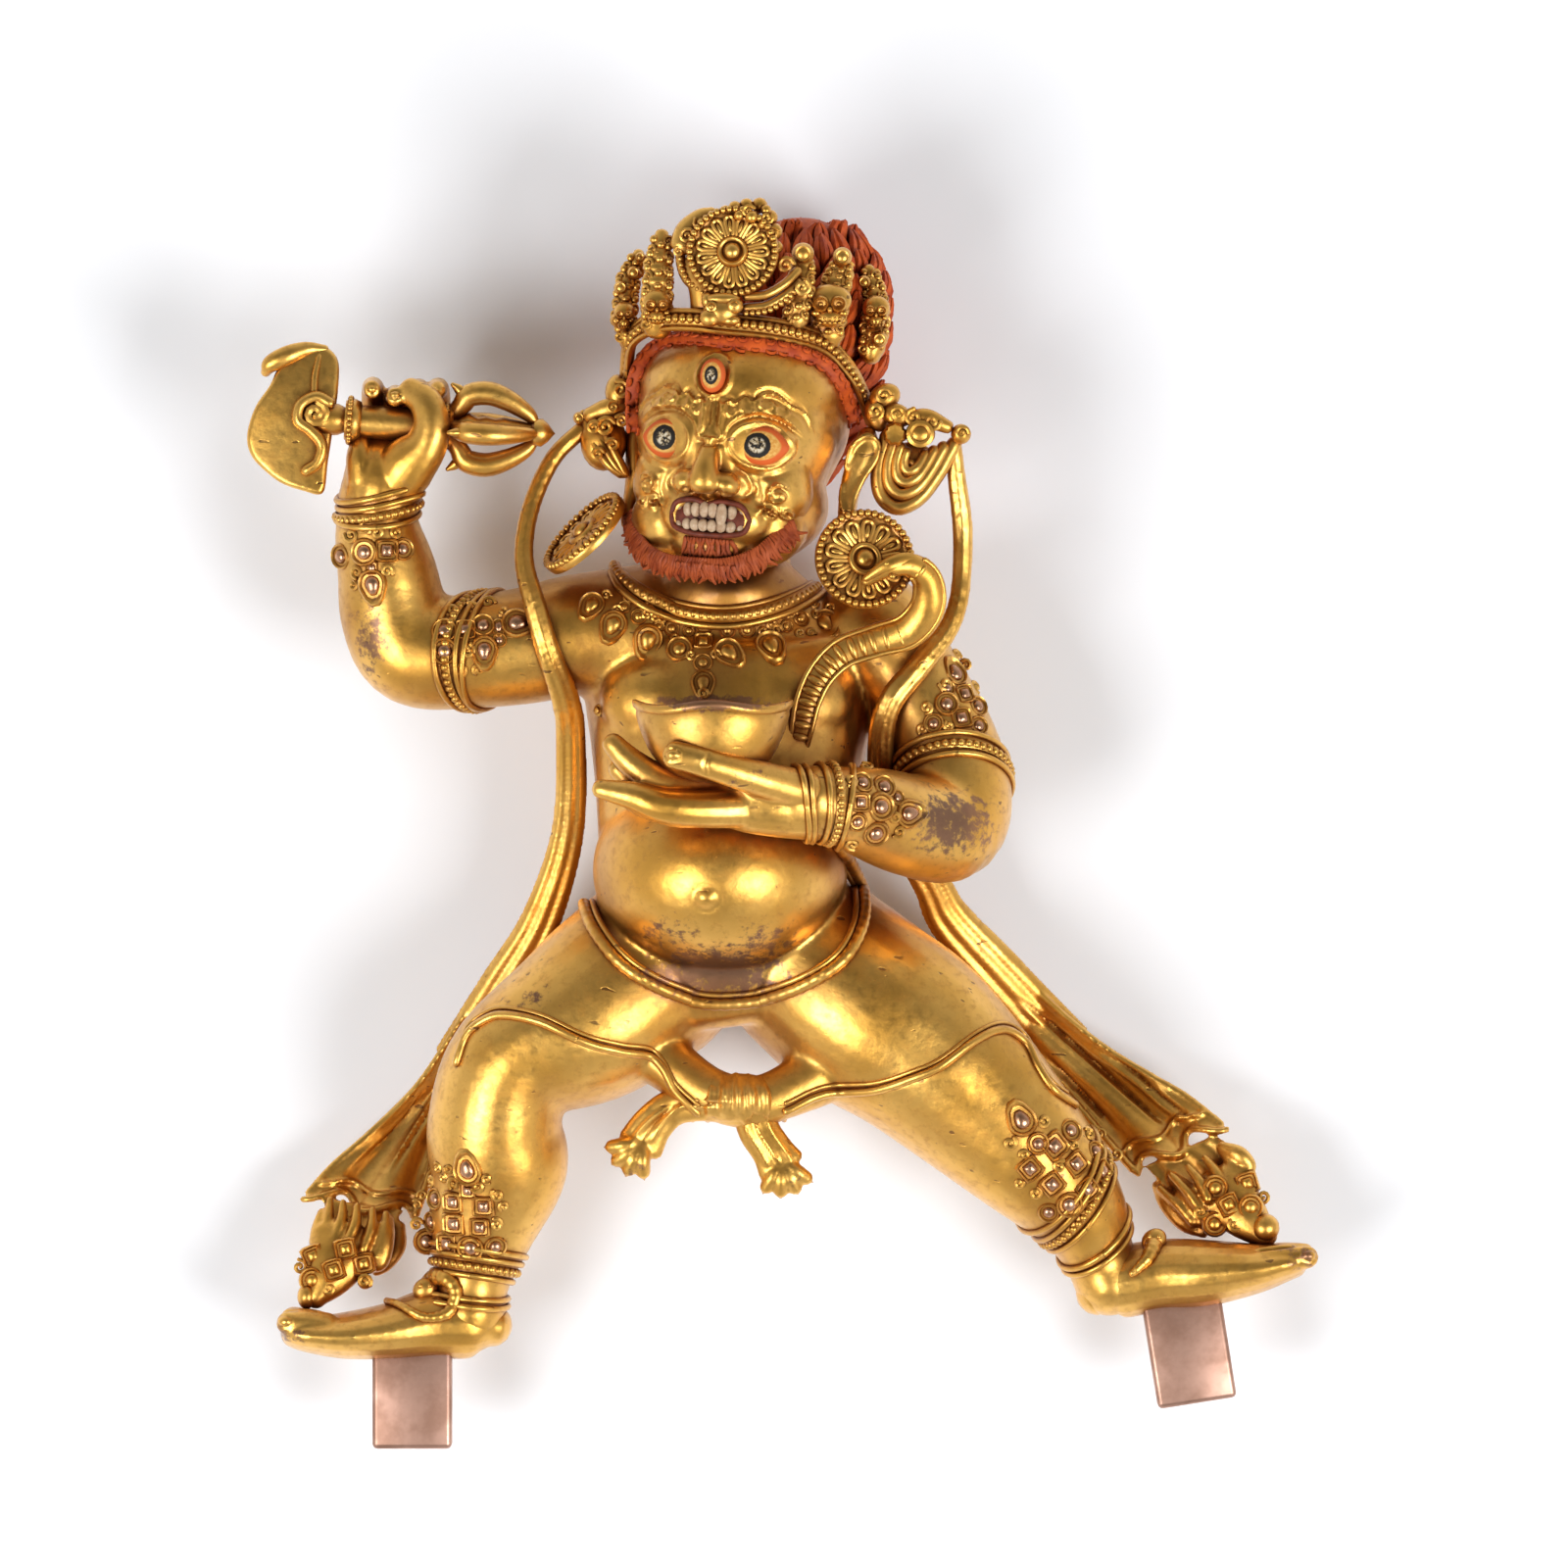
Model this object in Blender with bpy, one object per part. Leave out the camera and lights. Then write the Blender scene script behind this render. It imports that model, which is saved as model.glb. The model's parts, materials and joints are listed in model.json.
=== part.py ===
"""A gilt copper guardian figure, cast in one with its scarf, snakes, crown and skull
cup, and the vajra-handled chopper that slides through its raised fist.

The figure has lost its base, so it lies on its back: X runs to the viewer's right,
Y runs up the body from the foot tenons to the hair, and Z rises from the floor to
the belly, the face and the skull cup. The origin is under the middle of its box.
Run with: blender --background --python part.py
"""

import math

import bmesh
import bpy
from mathutils import Matrix, Vector

# Driving sizes, in metres
FIGURE_HEIGHT = 0.319
TENON_WIDTH = 0.0203
TENON_LENGTH = 0.0228
TENON_THICKNESS = 0.010
TENON_CORNER = 0.0008
CUP_HALF_WIDTH = 0.0190
CUP_HALF_DEPTH = 0.0158
CUP_DEPTH = 0.0200
CUP_WALL = 0.0022
CUP_HORN = 0.0022
CUP_CLEARANCE = 0.008
HANDLE_RADIUS = 0.0043
HANDLE_GRIP = 0.0196
KNOB_RADIUS = 0.0056
KNOB_LENGTH = 0.0040
BLADE_THICKNESS = 0.0024
FIT_GAP = 0.0004

# The figure's pose and carving are in shares of its height: one unit is a millimetre
# on a figure 319 mm high. A station is x, y, z, half width, half depth.
UNITS_HIGH = 319.0
UNIT = FIGURE_HEIGHT / UNITS_HIGH
SKIN_GRAIN = 0.95 * UNIT
SMOOTHING_STEPS = 2
FIGURE_TRIANGLES = 7500
CHOPPER_GRAIN = 0.5 * UNIT
CHOPPER_TRIANGLES = 1100
LOFT_STEPS = 4

TORSO = (
    (-14.5, 66, 52, 15, 15), (-14.5, 58, 48, 24, 17), (-14.5, 50, 44, 38, 21),
    (-14.0, 36, 42, 37.5, 25), (-14.5, 15, 43, 34.5, 29), (-16, -8, 45, 31, 32),
    (-16, -28, 43, 31, 33), (-14, -44, 37, 30, 28),
)
RAISED_ARM = (
    (-36, 49, 43, 18, 19), (-53.8, 48.6, 44, 15.5, 17), (-65, 46.1, 45, 15, 16),
    (-80, 44.4, 46, 14.6, 15.5), (-93.8, 45.1, 46, 14.8, 15), (-99.3, 53.6, 46.5, 14, 14.5),
    (-101.3, 64.4, 48, 12.8, 13.5), (-103.5, 74.4, 50, 11.2, 12), (-103.6, 81.9, 52, 9.6, 10),
    (-102, 87, 53, 8.8, 9),
)
CUP_ARM = (
    (22, 50, 42, 16, 18), (31.3, 38.1, 43, 13.8, 16), (38.8, 24.4, 45, 14.2, 15.5),
    (43, 10.6, 48, 15.0, 15.5), (42, 0.1, 54, 14.5, 15), (32.5, 0.1, 64, 13.2, 14),
    (23.8, 2.6, 73, 12.2, 12.5), (15, 5.1, 82, 10.2, 10.5), (7.5, 6.9, 88, 8.8, 8.6),
)
BENT_LEG = (
    (-35, -39, 35, 24, 26), (-51, -52, 40, 21.5, 23), (-69.5, -62.4, 46, 16.2, 19),
    (-74.0, -76.9, 44, 17.3, 18), (-73, -86.9, 41, 17.8, 17.5), (-77, -101.9, 38, 14.2, 14.5),
    (-80, -116.9, 37, 9.8, 10.5), (-80.5, -125, 37, 9.6, 11.5),
)
STRAIGHT_LEG = (
    (10, -39, 36, 21.5, 26), (20, -49.4, 38, 23.5, 25), (36, -58.6, 41, 22.6, 23),
    (62.5, -83.6, 46, 17.4, 18), (75, -98, 42, 12.8, 14), (80.3, -109.4, 38, 9.4, 10.5),
    (83.8, -117, 36.5, 9.4, 11.5),
)
BENT_FOOT = (
    (-74.6, -128.0, 36, 5.6, 8), (-80, -127.2, 36.5, 9.2, 11), (-90, -127.4, 37, 9.1, 11.5),
    (-101, -129.4, 38, 7.3, 13), (-112.5, -130.5, 38.5, 6, 14), (-121, -130.2, 39, 4.8, 13.4),
    (-125, -129.6, 39, 4.2, 12.4),
)
STRAIGHT_FOOT = (
    (79.8, -120.0, 36, 5.6, 8), (85, -117.4, 36.5, 9, 11), (96.3, -115.1, 37, 9.2, 11.5),
    (107.5, -114.6, 38, 8.7, 13), (120, -113.4, 38.5, 6.6, 14), (127.5, -112.0, 39, 5.0, 13.4),
    (130, -111.6, 39, 4.4, 12.6),
)


def clear_scene():
    for old in list(bpy.data.objects):
        bpy.data.objects.remove(old, do_unlink=True)


def gilt_material(name, colour, metallic, roughness):
    material = bpy.data.materials.new(name)
    material.use_nodes = True
    shader = material.node_tree.nodes["Principled BSDF"]
    shader.inputs["Base Color"].default_value = (*colour, 1.0)
    shader.inputs["Metallic"].default_value = metallic
    shader.inputs["Roughness"].default_value = roughness
    return material


# Shapes, each a small closed mesh

def smooth_curve(points, steps):
    """Points along a smooth curve that passes through every given point."""
    points = [tuple(point) for point in points]
    first = tuple(2 * a - b for a, b in zip(points[0], points[1]))
    last = tuple(2 * a - b for a, b in zip(points[-1], points[-2]))
    padded = [first] + points + [last]
    curve = []
    for index in range(1, len(padded) - 2):
        p0, p1, p2, p3 = padded[index - 1:index + 3]
        for step in range(steps):
            t = step / steps
            curve.append(tuple(
                0.5 * (2 * b + (c - a) * t + (2 * a - 5 * b + 4 * c - d) * t * t
                       + (3 * b - a - 3 * c + d) * t ** 3)
                for a, b, c, d in zip(p0, p1, p2, p3)))
    curve.append(points[-1])
    return curve


def station_matrix(centre, along, facing, half_width, half_depth):
    across = along.cross(facing).normalized()
    up = across.cross(along).normalized()
    matrix = Matrix.Identity(4)
    for row in range(3):
        matrix[row][0] = across[row] * half_width
        matrix[row][1] = up[row] * half_depth
        matrix[row][2] = along[row]
        matrix[row][3] = centre[row]
    return matrix


def loft_matrices(stations, steps, facing, rounding):
    """One matrix for each ring of a loft, with rings that close each end as a dome."""
    curve = smooth_curve(stations, steps)
    centres = [Vector(point[:3]) for point in curve]
    matrices = []
    for index, point in enumerate(curve):
        before = centres[max(index - 1, 0)]
        after = centres[min(index + 1, len(centres) - 1)]
        along = (after - before).normalized()
        matrices.append(station_matrix(centres[index], along, facing, point[3], point[4]))
    dome = [math.radians(angle) for angle in (80, 55, 28)]
    for end, sign in ((0, -1), (-1, 1)):
        along = (centres[1] - centres[0]) if end == 0 else (centres[-1] - centres[-2])
        along.normalize()
        _, _, _, wide, deep = curve[end]
        reach = min(wide, deep) * rounding
        rings = [station_matrix(centres[end] + along * sign * reach * math.sin(angle), along,
                                facing, wide * math.cos(angle), deep * math.cos(angle))
                 for angle in dome]
        if end == 0:
            matrices = rings + matrices
        else:
            matrices += rings[::-1]
    return matrices


def loft(stations, sides=10, steps=LOFT_STEPS, facing=(0, 0, 1), rounding=0.9):
    """A limb, ribbon or lock: one outline swept through its stations."""
    matrices = loft_matrices(stations, steps, Vector(facing), rounding)
    shape = bmesh.new()
    bmesh.ops.create_circle(shape, cap_ends=False, segments=sides, radius=1.0,
                            matrix=matrices[0])
    edges = shape.edges[:]
    for before, after in zip(matrices, matrices[1:]):
        grown = bmesh.ops.extrude_edge_only(shape, edges=edges)["geom"]
        verts = {item for item in grown if isinstance(item, bmesh.types.BMVert)}
        edges = [item for item in grown if isinstance(item, bmesh.types.BMEdge)
                 and item.verts[0] in verts and item.verts[1] in verts]
        bmesh.ops.transform(shape, matrix=after @ before.inverted(), verts=list(verts))
    open_edges = [edge for edge in shape.edges if edge.is_boundary]
    bmesh.ops.holes_fill(shape, edges=open_edges, sides=0)
    bmesh.ops.recalc_face_normals(shape, faces=shape.faces[:])
    return shape


def cord(points, radius, sides=8, **options):
    """A round strand of one radius through the points."""
    return loft([(*point, radius, radius) for point in points], sides, **options)


def ball(centre, radii, turn=0.0, detail=2):
    """An egg shape, turned in the picture plane."""
    shape = bmesh.new()
    place = (Matrix.Translation(Vector(centre)) @ Matrix.Rotation(turn, 4, "Z")
             @ Matrix.Diagonal((*radii, 1.0)))
    bmesh.ops.create_icosphere(shape, subdivisions=detail, radius=1.0, matrix=place)
    return shape


def disc(centre, normal, radius, thickness, sides=20):
    shape = bmesh.new()
    turn = Vector((0, 0, 1)).rotation_difference(Vector(normal).normalized())
    place = Matrix.Translation(Vector(centre)) @ turn.to_matrix().to_4x4()
    bmesh.ops.create_cone(shape, cap_ends=True, segments=sides, radius1=radius,
                          radius2=radius * 0.9, depth=thickness, matrix=place)
    return shape


def hoop(centre, along, half_width, half_depth, bulge, sides=18, facing=(0, 0, 1)):
    """A band round a limb at a right angle to it."""
    shape = bmesh.new()
    bmesh.ops.create_circle(shape, segments=6, radius=bulge,
                            matrix=Matrix.Translation((1, 0, 0)) @ Matrix.Rotation(
                                math.pi / 2, 4, "X"))
    # The section is drawn one unit out, then each spun point is pushed out to the limb.
    geometry = shape.verts[:] + shape.edges[:]
    bmesh.ops.spin(shape, geom=geometry, cent=(0, 0, 0), axis=(0, 0, 1), angle=math.tau,
                   steps=sides, use_merge=True, use_duplicate=False)
    for vert in shape.verts:
        flat = Vector((vert.co.x, vert.co.y, 0))
        outward = flat.normalized()
        reach = Vector((outward.x * half_width, outward.y * half_depth, 0))
        vert.co = reach + outward * (flat.length - 1) + Vector((0, 0, vert.co.z))
    place = station_matrix(Vector(centre), Vector(along).normalized(), Vector(facing), 1, 1)
    bmesh.ops.transform(shape, matrix=place, verts=shape.verts[:])
    bmesh.ops.recalc_face_normals(shape, faces=shape.faces[:])
    return shape


class Casting:
    """Shapes that the caster's mould holds as one, gathered in one mesh."""

    def __init__(self):
        self.shapes = bmesh.new()

    def take(self, *shapes):
        for shape in shapes:
            copy = bpy.data.meshes.new("shape")
            shape.to_mesh(copy)
            shape.free()
            self.shapes.from_mesh(copy)
            bpy.data.meshes.remove(copy)

    def mesh(self, name, scale=1.0):
        mesh = bpy.data.meshes.new(name)
        bmesh.ops.scale(self.shapes, vec=(scale, scale, scale), verts=self.shapes.verts[:])
        self.shapes.to_mesh(mesh)
        self.shapes.free()
        return mesh


def mixed(point_a, point_b, share):
    return tuple(a + (b - a) * share for a, b in zip(point_a, point_b))


def pleats(edge_a, edge_b, ridges, radii, lift):
    """Folds that fan out between two edges, every other one standing higher."""
    shapes = []
    for ridge in range(ridges):
        share = ridge / (ridges - 1)
        stations = []
        for row, (point_a, point_b) in enumerate(zip(edge_a, edge_b)):
            x, y, z = mixed(point_a, point_b, share)
            spread = row / (len(edge_a) - 1)
            radius = radii[0] + (radii[1] - radii[0]) * spread
            stations.append((x, y, z + lift * spread * (ridge % 2), radius, radius))
        shapes.append(loft(stations, sides=8, rounding=0.6))
    return shapes


# Limbs, hands and feet

def body(casting):
    casting.take(loft(TORSO, sides=20, rounding=0.3))
    for stations in (RAISED_ARM, CUP_ARM, BENT_LEG, STRAIGHT_LEG):
        casting.take(loft(stations, sides=20))
    belly = ball((-16.5, -10, 50), (32.2, 31.5, 34), detail=3)
    navel = ball((-19.8, -18.4, 82.0), (3.6, 3.6, 3.0))
    breasts = [ball((x, 34, 58), (15, 12, 12)) for x in (-30, 2)]
    buttocks = [ball((x, -38, 25), (wide, wide, 25)) for x, wide in ((-35, 24), (12, 23))]
    casting.take(belly, navel, *breasts, *buttocks)


def foot(casting, stations, toe_tips, toe_roots):
    """A foot with the big toe nearest the viewer and four smaller behind it."""
    casting.take(loft(stations, sides=16))
    for index in range(5):
        share = index / 4
        tip = Vector(mixed(toe_tips[0], toe_tips[1], share))
        root = Vector(mixed(toe_roots[0], toe_roots[1], share))
        thick = 3.4 if index == 0 else 2.6
        middle = (root + tip) / 2 + Vector((0, 0.8, 0))
        casting.take(cord((root, middle, tip), thick, rounding=1.0))


def feet(casting):
    foot(casting, BENT_FOOT, ((-134, -126.5, 47), (-131, -129.0, 29)),
         ((-122, -128.5, 47), (-121, -131.5, 29)))
    foot(casting, STRAIGHT_FOOT, ((134.2, -109.0, 47), (133.2, -113.4, 29)),
         ((126, -110.6, 47), (124, -113.0, 29)))


def cup_hand(casting):
    palm = ((6.3, 6.9, 88, 8.2, 7.6), (-2.5, 7.6, 91, 8.6, 7), (-11.3, 8.2, 91, 7.6, 6.2),
            (-17.5, 8.4, 90, 5.6, 5.6))
    casting.take(loft(palm, sides=14))
    fingers = (
        ((-15, 8.5, 90), (-29.3, 9.6, 92), (-36.5, 13.4, 93), (-43, 20.4, 92)),
        ((-11, 6.4, 93), (-22, 4.6, 96), (-32, 5.2, 97), (-40, 9.0, 96), (-46.0, 9.6, 95)),
        ((-14, 8, 86), (-28, 8.4, 83), (-38, 10.4, 82)),
        ((-12, 7, 88), (-26, 6, 88), (-37, 8.4, 88)),
    )
    for points in fingers:
        stations = [(*point, 3.7 - 0.35 * index, 3.5 - 0.3 * index)
                    for index, point in enumerate(points)]
        casting.take(loft(stations, sides=10))
    thumb = ((2, 11.6, 96, 4.6, 4.4), (-11.5, 14.1, 103, 3.7, 3.6), (-22, 16.5, 107, 3.2, 3),
             (-28, 18.0, 107.5, 2.8, 2.6))
    casting.take(loft(thumb, sides=10))


def raised_hand(casting):
    """The palm lies under the handle, the thumb crosses in front and the tips show above."""
    palm = ((-102, 86, 53, 8.4, 8.6), (-100.5, 92, 52, 8.8, 8), (-99, 98, 50, 9.4, 6.4),
            (-98, 104, 47, 8.6, 4.6))
    casting.take(loft(palm, sides=14))
    heel = ((-106, 88, 57, 4.4, 4), (-103, 94, 60, 4.8, 4.6), (-96, 98, 63, 4.2, 4.2))
    thumb = ((-94, 90, 57, 4.6, 5), (-90.5, 98, 62, 4.0, 3.6), (-92, 106, 64, 3.4, 3.0),
             (-94.5, 112, 61, 3.2, 3))
    casting.take(loft(heel, sides=10), loft(thumb, sides=12))
    for x, top in ((-105, 111.4), (-99.3, 110.2), (-94, 110.5), (-88.8, 110.2)):
        finger = ((x, 102, 46, 2.9, 3), (x, 108, 48, 2.8, 3), (x, top, 54, 2.6, 2.8),
                  (x, top - 1.0, 59.0, 2.2, 2.4))
        casting.take(loft(finger, sides=8, facing=(1, 0, 0)))


# Head, hair and crown

HEAD_CENTRE = (-9.5, 103, 57)
HEAD_RADII = (28.9, 28, 30)


def head(casting):
    casting.take(ball(HEAD_CENTRE, HEAD_RADII, detail=3))
    casting.take(ball((-12, 85, 59), (26.6, 19.5, 26.5), detail=3))
    casting.take(ball((-13, 98, 62), (26.5, 27, 27), detail=3))
    cheeks = ((-27, 83, 76, 8), (-3, 81, 76, 10))
    for x, y, z, radius in cheeks:
        casting.take(ball((x, y, z), (radius, radius * 0.9, radius)))
    nose = ((-20, 99, 85, 2.8, 3), (-20.3, 94, 88, 3.6, 4), (-20.5, 89, 90.5, 5.2, 4.4))
    casting.take(loft(nose, sides=10))
    casting.take(*(ball((x, 88.2, 87.5), (3.9, 3.0, 4)) for x in (-25.0, -15.4)))
    casting.take(ball((-29.6, 98.4, 79.6), (5.6, 5.2, 5)), ball((-5.6, 95.9, 80.4), (7.6, 5.6, 6)))
    brow_right = ((-17, 104.5, 87), (-12.5, 108, 87.5), (-6.8, 110.4, 85.5), (0, 108.4, 83),
                  (5.4, 103.8, 79.5))
    brow_left = ((-21.5, 104.5, 86.6), (-26, 109.5, 85), (-31, 111.4, 80.5), (-35, 108.6, 75.6))
    third_eye = ball((-18.5, 113.9, 83.6), (4.2, 5.2, 3.2))
    casting.take(cord(brow_right, 1.5), cord(brow_left, 1.4), third_eye)
    upper_lip = ((-29.5, 77, 81.5), (-26, 81, 86), (-20, 82.4, 88), (-14, 81, 87.4), (-8.5, 77.4, 84))
    lower_lip = ((-29.5, 77, 81.5), (-26, 74, 85), (-19, 73.2, 87), (-12.5, 74, 86), (-8.5, 77.4, 84))
    casting.take(cord(upper_lip, 1.6), cord(lower_lip, 1.7))
    ears = (
        ((20.5, 100.5, 62, 3.0, 4.5), (21.8, 94, 63, 4.2, 4.5), (20.6, 86, 64, 2.8, 3),
         (18.4, 78.6, 65, 2.2, 2.4), (17.4, 72, 66, 1.8, 2)),
        ((-39.4, 100, 51, 2.6, 4.5), (-40.4, 93, 52, 2.6, 4.5), (-39.6, 85, 54, 2.0, 3),
         (-40, 77, 56, 1.8, 2.2)),
    )
    for stations in ears:
        casting.take(loft(stations, sides=10))


def beard(casting):
    """Short locks along the jaw that hang towards the collar."""
    jaw = smooth_curve(((-38.4, 80, 62), (-34.5, 69, 72), (-27, 65.2, 80), (-17.5, 63.6, 85.5),
                        (-7.5, 63.6, 83), (1, 67, 78), (7, 73.6, 72)), 4)
    for x, y, z in jaw:
        tip = (x + (x + 14) * 0.05, y - 3.4, z - 4)
        root = (x * 0.97 - 0.4, y + 3.2, z + 1.2)
        casting.take(loft(((*root, 1.3, 1.5), (x, y, z + 0.6, 1.5, 1.7), (*tip, 0.9, 1.0)),
                          sides=7, steps=2))
    for x in (-22.6, -19.4, -16.2):
        casting.take(cord(((x, 71, 88.4), (x - 0.4, 67, 88.6), (x + 0.4, 62.6, 86)), 1.3))


# Height up the body, then the middle x and z, half width and half depth of the hair
HAIR_RINGS = (
    (80, -11, 44, 15, 17), (90, -10, 40, 21, 25), (102, -8, 36, 26.5, 31), (114, -5, 34.5, 27.5, 32),
    (126, 0.4, 34, 25.6, 31.4), (138, 2.4, 33.6, 23.4, 30), (147, 2.6, 33, 18.4, 25), (153, 2.6, 33, 11.5, 17),
)
# Each tier of locks: where it starts, how many locks, and how many degrees it goes round
LOCK_TIERS = ((76, 9, 205), (87, 10, 205), (98, 11, 205), (109, 12, 220), (120, 13, 360), (131, 12, 360),
              (140, 8, 360))
LOCK_RADIUS = 3.2


def hair_seat(height, around, out):
    """A place on the hair: around is measured from the floor side, out is how far it stands off."""
    rings = HAIR_RINGS
    below = max((ring for ring in rings if ring[0] <= height), default=rings[0], key=lambda ring: ring[0])
    above = min((ring for ring in rings if ring[0] > height), default=rings[-1], key=lambda ring: ring[0])
    span = above[0] - below[0]
    share = (height - below[0]) / span if span else 0.0
    _, x, z, wide, deep = mixed(below, above, share)
    return Vector((x + (wide + out) * math.sin(around), height,
                   max(z - (deep + out) * math.cos(around), LOCK_RADIUS)))


def hair(casting):
    """Flame hair: combed up from the nape in tiers of blunt locks, each tier over the next."""
    core = [(x, height, z, wide - 1.2, deep - 1.6) for height, x, z, wide, deep in HAIR_RINGS]
    casting.take(loft(core, sides=24, rounding=0.35))
    for tier, (height, count, sweep) in enumerate(LOCK_TIERS):
        for index in range(count):
            share = (index + 0.5 * (tier % 2)) / count - 0.5
            around = math.radians(sweep) * share
            root = hair_seat(height, around, -2.6)
            middle = hair_seat(height + 7, around, -0.6)
            bend = hair_seat(height + 12.5, around, 0.4)
            tip = bend + Vector((0, 3.4, 0))
            casting.take(loft(((*root, 1.8, 1.8), (*middle, LOCK_RADIUS, LOCK_RADIUS),
                               (*bend, 2.6, 2.4), (*tip, 1.5, 1.4)), sides=8, steps=2,
                              facing=(0.15, 0, 1)))


CROWN_BAND = (
    (-39.8, 105.6, 50), (-40.0, 117.0, 58), (-38.4, 124.6, 66), (-31.5, 128.2, 73.4),
    (-23, 128.4, 78.0), (-15, 127.4, 79.5), (-2, 126.0, 77.5), (9.4, 123.0, 71.5),
    (15.4, 117.6, 66), (19.4, 111.6, 61), (22.4, 103.5, 54),
)


def crown(casting):
    casting.take(cord(CROWN_BAND, 2.0), cord([(x, y - 2.2, z) for x, y, z in CROWN_BAND], 1.7))
    medallion = Vector((-13, 146.6, 80))
    tilt = Vector((-0.10, 0.12, 1))
    casting.take(disc(medallion, tilt, 12.2, 3.2), disc(medallion + tilt, tilt, 8.4, 4.4))
    casting.take(ball(medallion + tilt * 2.6, (2.2, 2.2, 2.2)))
    for index in range(16):
        around = math.tau * index / 16
        spot = medallion + Vector((math.cos(around) * 10.8, math.sin(around) * 10.8, 1.0))
        casting.take(ball(spot, (1.5, 1.5, 1.6), detail=1))
    casting.take(loft(((-15.5, 127, 77, 6, 3), (-14, 133, 78.5, 5, 3.4), (-13, 140, 79, 8, 2.4)),
                      sides=10))
    pile = ((-11.6, 156.6, 78), (-6.0, 157.6, 77), (-3.6, 154.2, 76), (-8, 154.4, 80),
            (-2.8, 151.0, 77))
    casting.take(*(ball(spot, (2.2, 2.0, 2.2), detail=1) for spot in pile))
    casting.take(loft(((-24, 147, 76, 4.0, 2.4), (-23, 153, 75, 3.2, 2.4), (-21, 156, 74, 1.6, 1.6)),
                      sides=8))
    swag = ((-9, 135, 80), (-3, 136.4, 80), (2.6, 139.4, 79), (5, 135.6, 78))
    casting.take(cord(swag, 1.8), cord([(x, y - 3.4, z - 1) for x, y, z in swag], 1.6))
    leaves = (
        ((-32, 128, 72, 4.6, 3), (-32, 137, 72, 4.4, 3.4), (-31.6, 146, 71, 3.6, 3), (-31, 150, 70, 2, 2)),
        ((-40, 125, 62, 3.6, 4), (-40, 134, 61, 3.8, 4), (-38.4, 142, 60, 3.2, 3.2), (-37, 145, 60, 1.6, 2)),
        ((22, 121, 58, 4.0, 4), (22.6, 130, 56, 4.6, 4), (22.4, 138, 54, 3.6, 3), (22, 141.6, 53, 1.6, 2)),
        ((11, 123, 70, 4.4, 3), (11, 131, 71, 6.0, 4), (13.6, 139, 68, 3.6, 3), (14.7, 144, 67, 3.0, 2.6)),
        ((3, 127, 75, 3.4, 3), (4.4, 136, 75, 3.4, 3), (4.8, 144.6, 73, 3.2, 2.8)),
    )
    for stations in leaves:
        casting.take(loft(stations, sides=10))
    skulls = ((11.3, 131.4, 75.5, 6.2, 5.4), (-31.8, 134, 74.6, 4.0, 4.6), (22.8, 131, 60.5, 4.2, 4.8),
              (-40.4, 132, 65, 3.6, 4.6))
    casting.take(*(ball((x, y, z), (wide, tall, 3.4)) for x, y, z, wide, tall in skulls))
    knobs = ((-42, 128.9, 64), (-41.5, 137.4, 63), (-38, 140.6, 64), (24.3, 123.9, 62),
             (4.8, 146, 74), (14.8, 144.9, 69))
    casting.take(*(ball(spot, (2.2, 2.2, 2.2), detail=1) for spot in knobs))


def ear_ornaments(casting):
    casting.take(ball((-46, 98, 52), (6.6, 8.2, 5)), ball((-42.4, 110.4, 55), (3.6, 5, 4)))
    casting.take(loft(((-50, 104, 51, 2.2, 2), (-46, 96, 54, 3.4, 3), (-42, 90.4, 55, 1.8, 1.8)), sides=8))
    casting.take(ball((-52.2, 103.9, 52), (2.1, 2.1, 2.1)))
    casting.take(loft(((24, 109, 62, 3.2, 3), (27.4, 106.6, 63, 3.6, 3.2), (29, 101.4, 63, 3.4, 3)), sides=10))
    casting.take(ball((34.6, 99.6, 64), (4.0, 3.4, 2.8)), ball((45.2, 99.6, 62), (2.7, 2.7, 2.7)))
    ribbon = ((26.5, 99, 62), (24.4, 91, 62), (25, 84.4, 62), (29, 81.4, 62), (34.5, 84, 62),
              (39.4, 90.4, 61), (43.4, 97.4, 60))
    casting.take(cord(ribbon, 2.3))
    casting.take(cord([(x * 0.86 + 4.4, y * 0.86 + 13.6, z + 0.6) for x, y, z in ribbon], 2.2))
    casting.take(ball((31, 91, 61), (5, 6, 2)))


def earring(casting, centre, normal, radius):
    centre = Vector(centre)
    normal = Vector(normal).normalized()
    casting.take(disc(centre, normal, radius, 3.0), disc(centre + normal, normal, radius * 0.72, 3.4))
    casting.take(ball(centre + normal * 3.0, (2.6, 2.6, 2.6)))


# Scarf, snakes, loincloth and jewels

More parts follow.
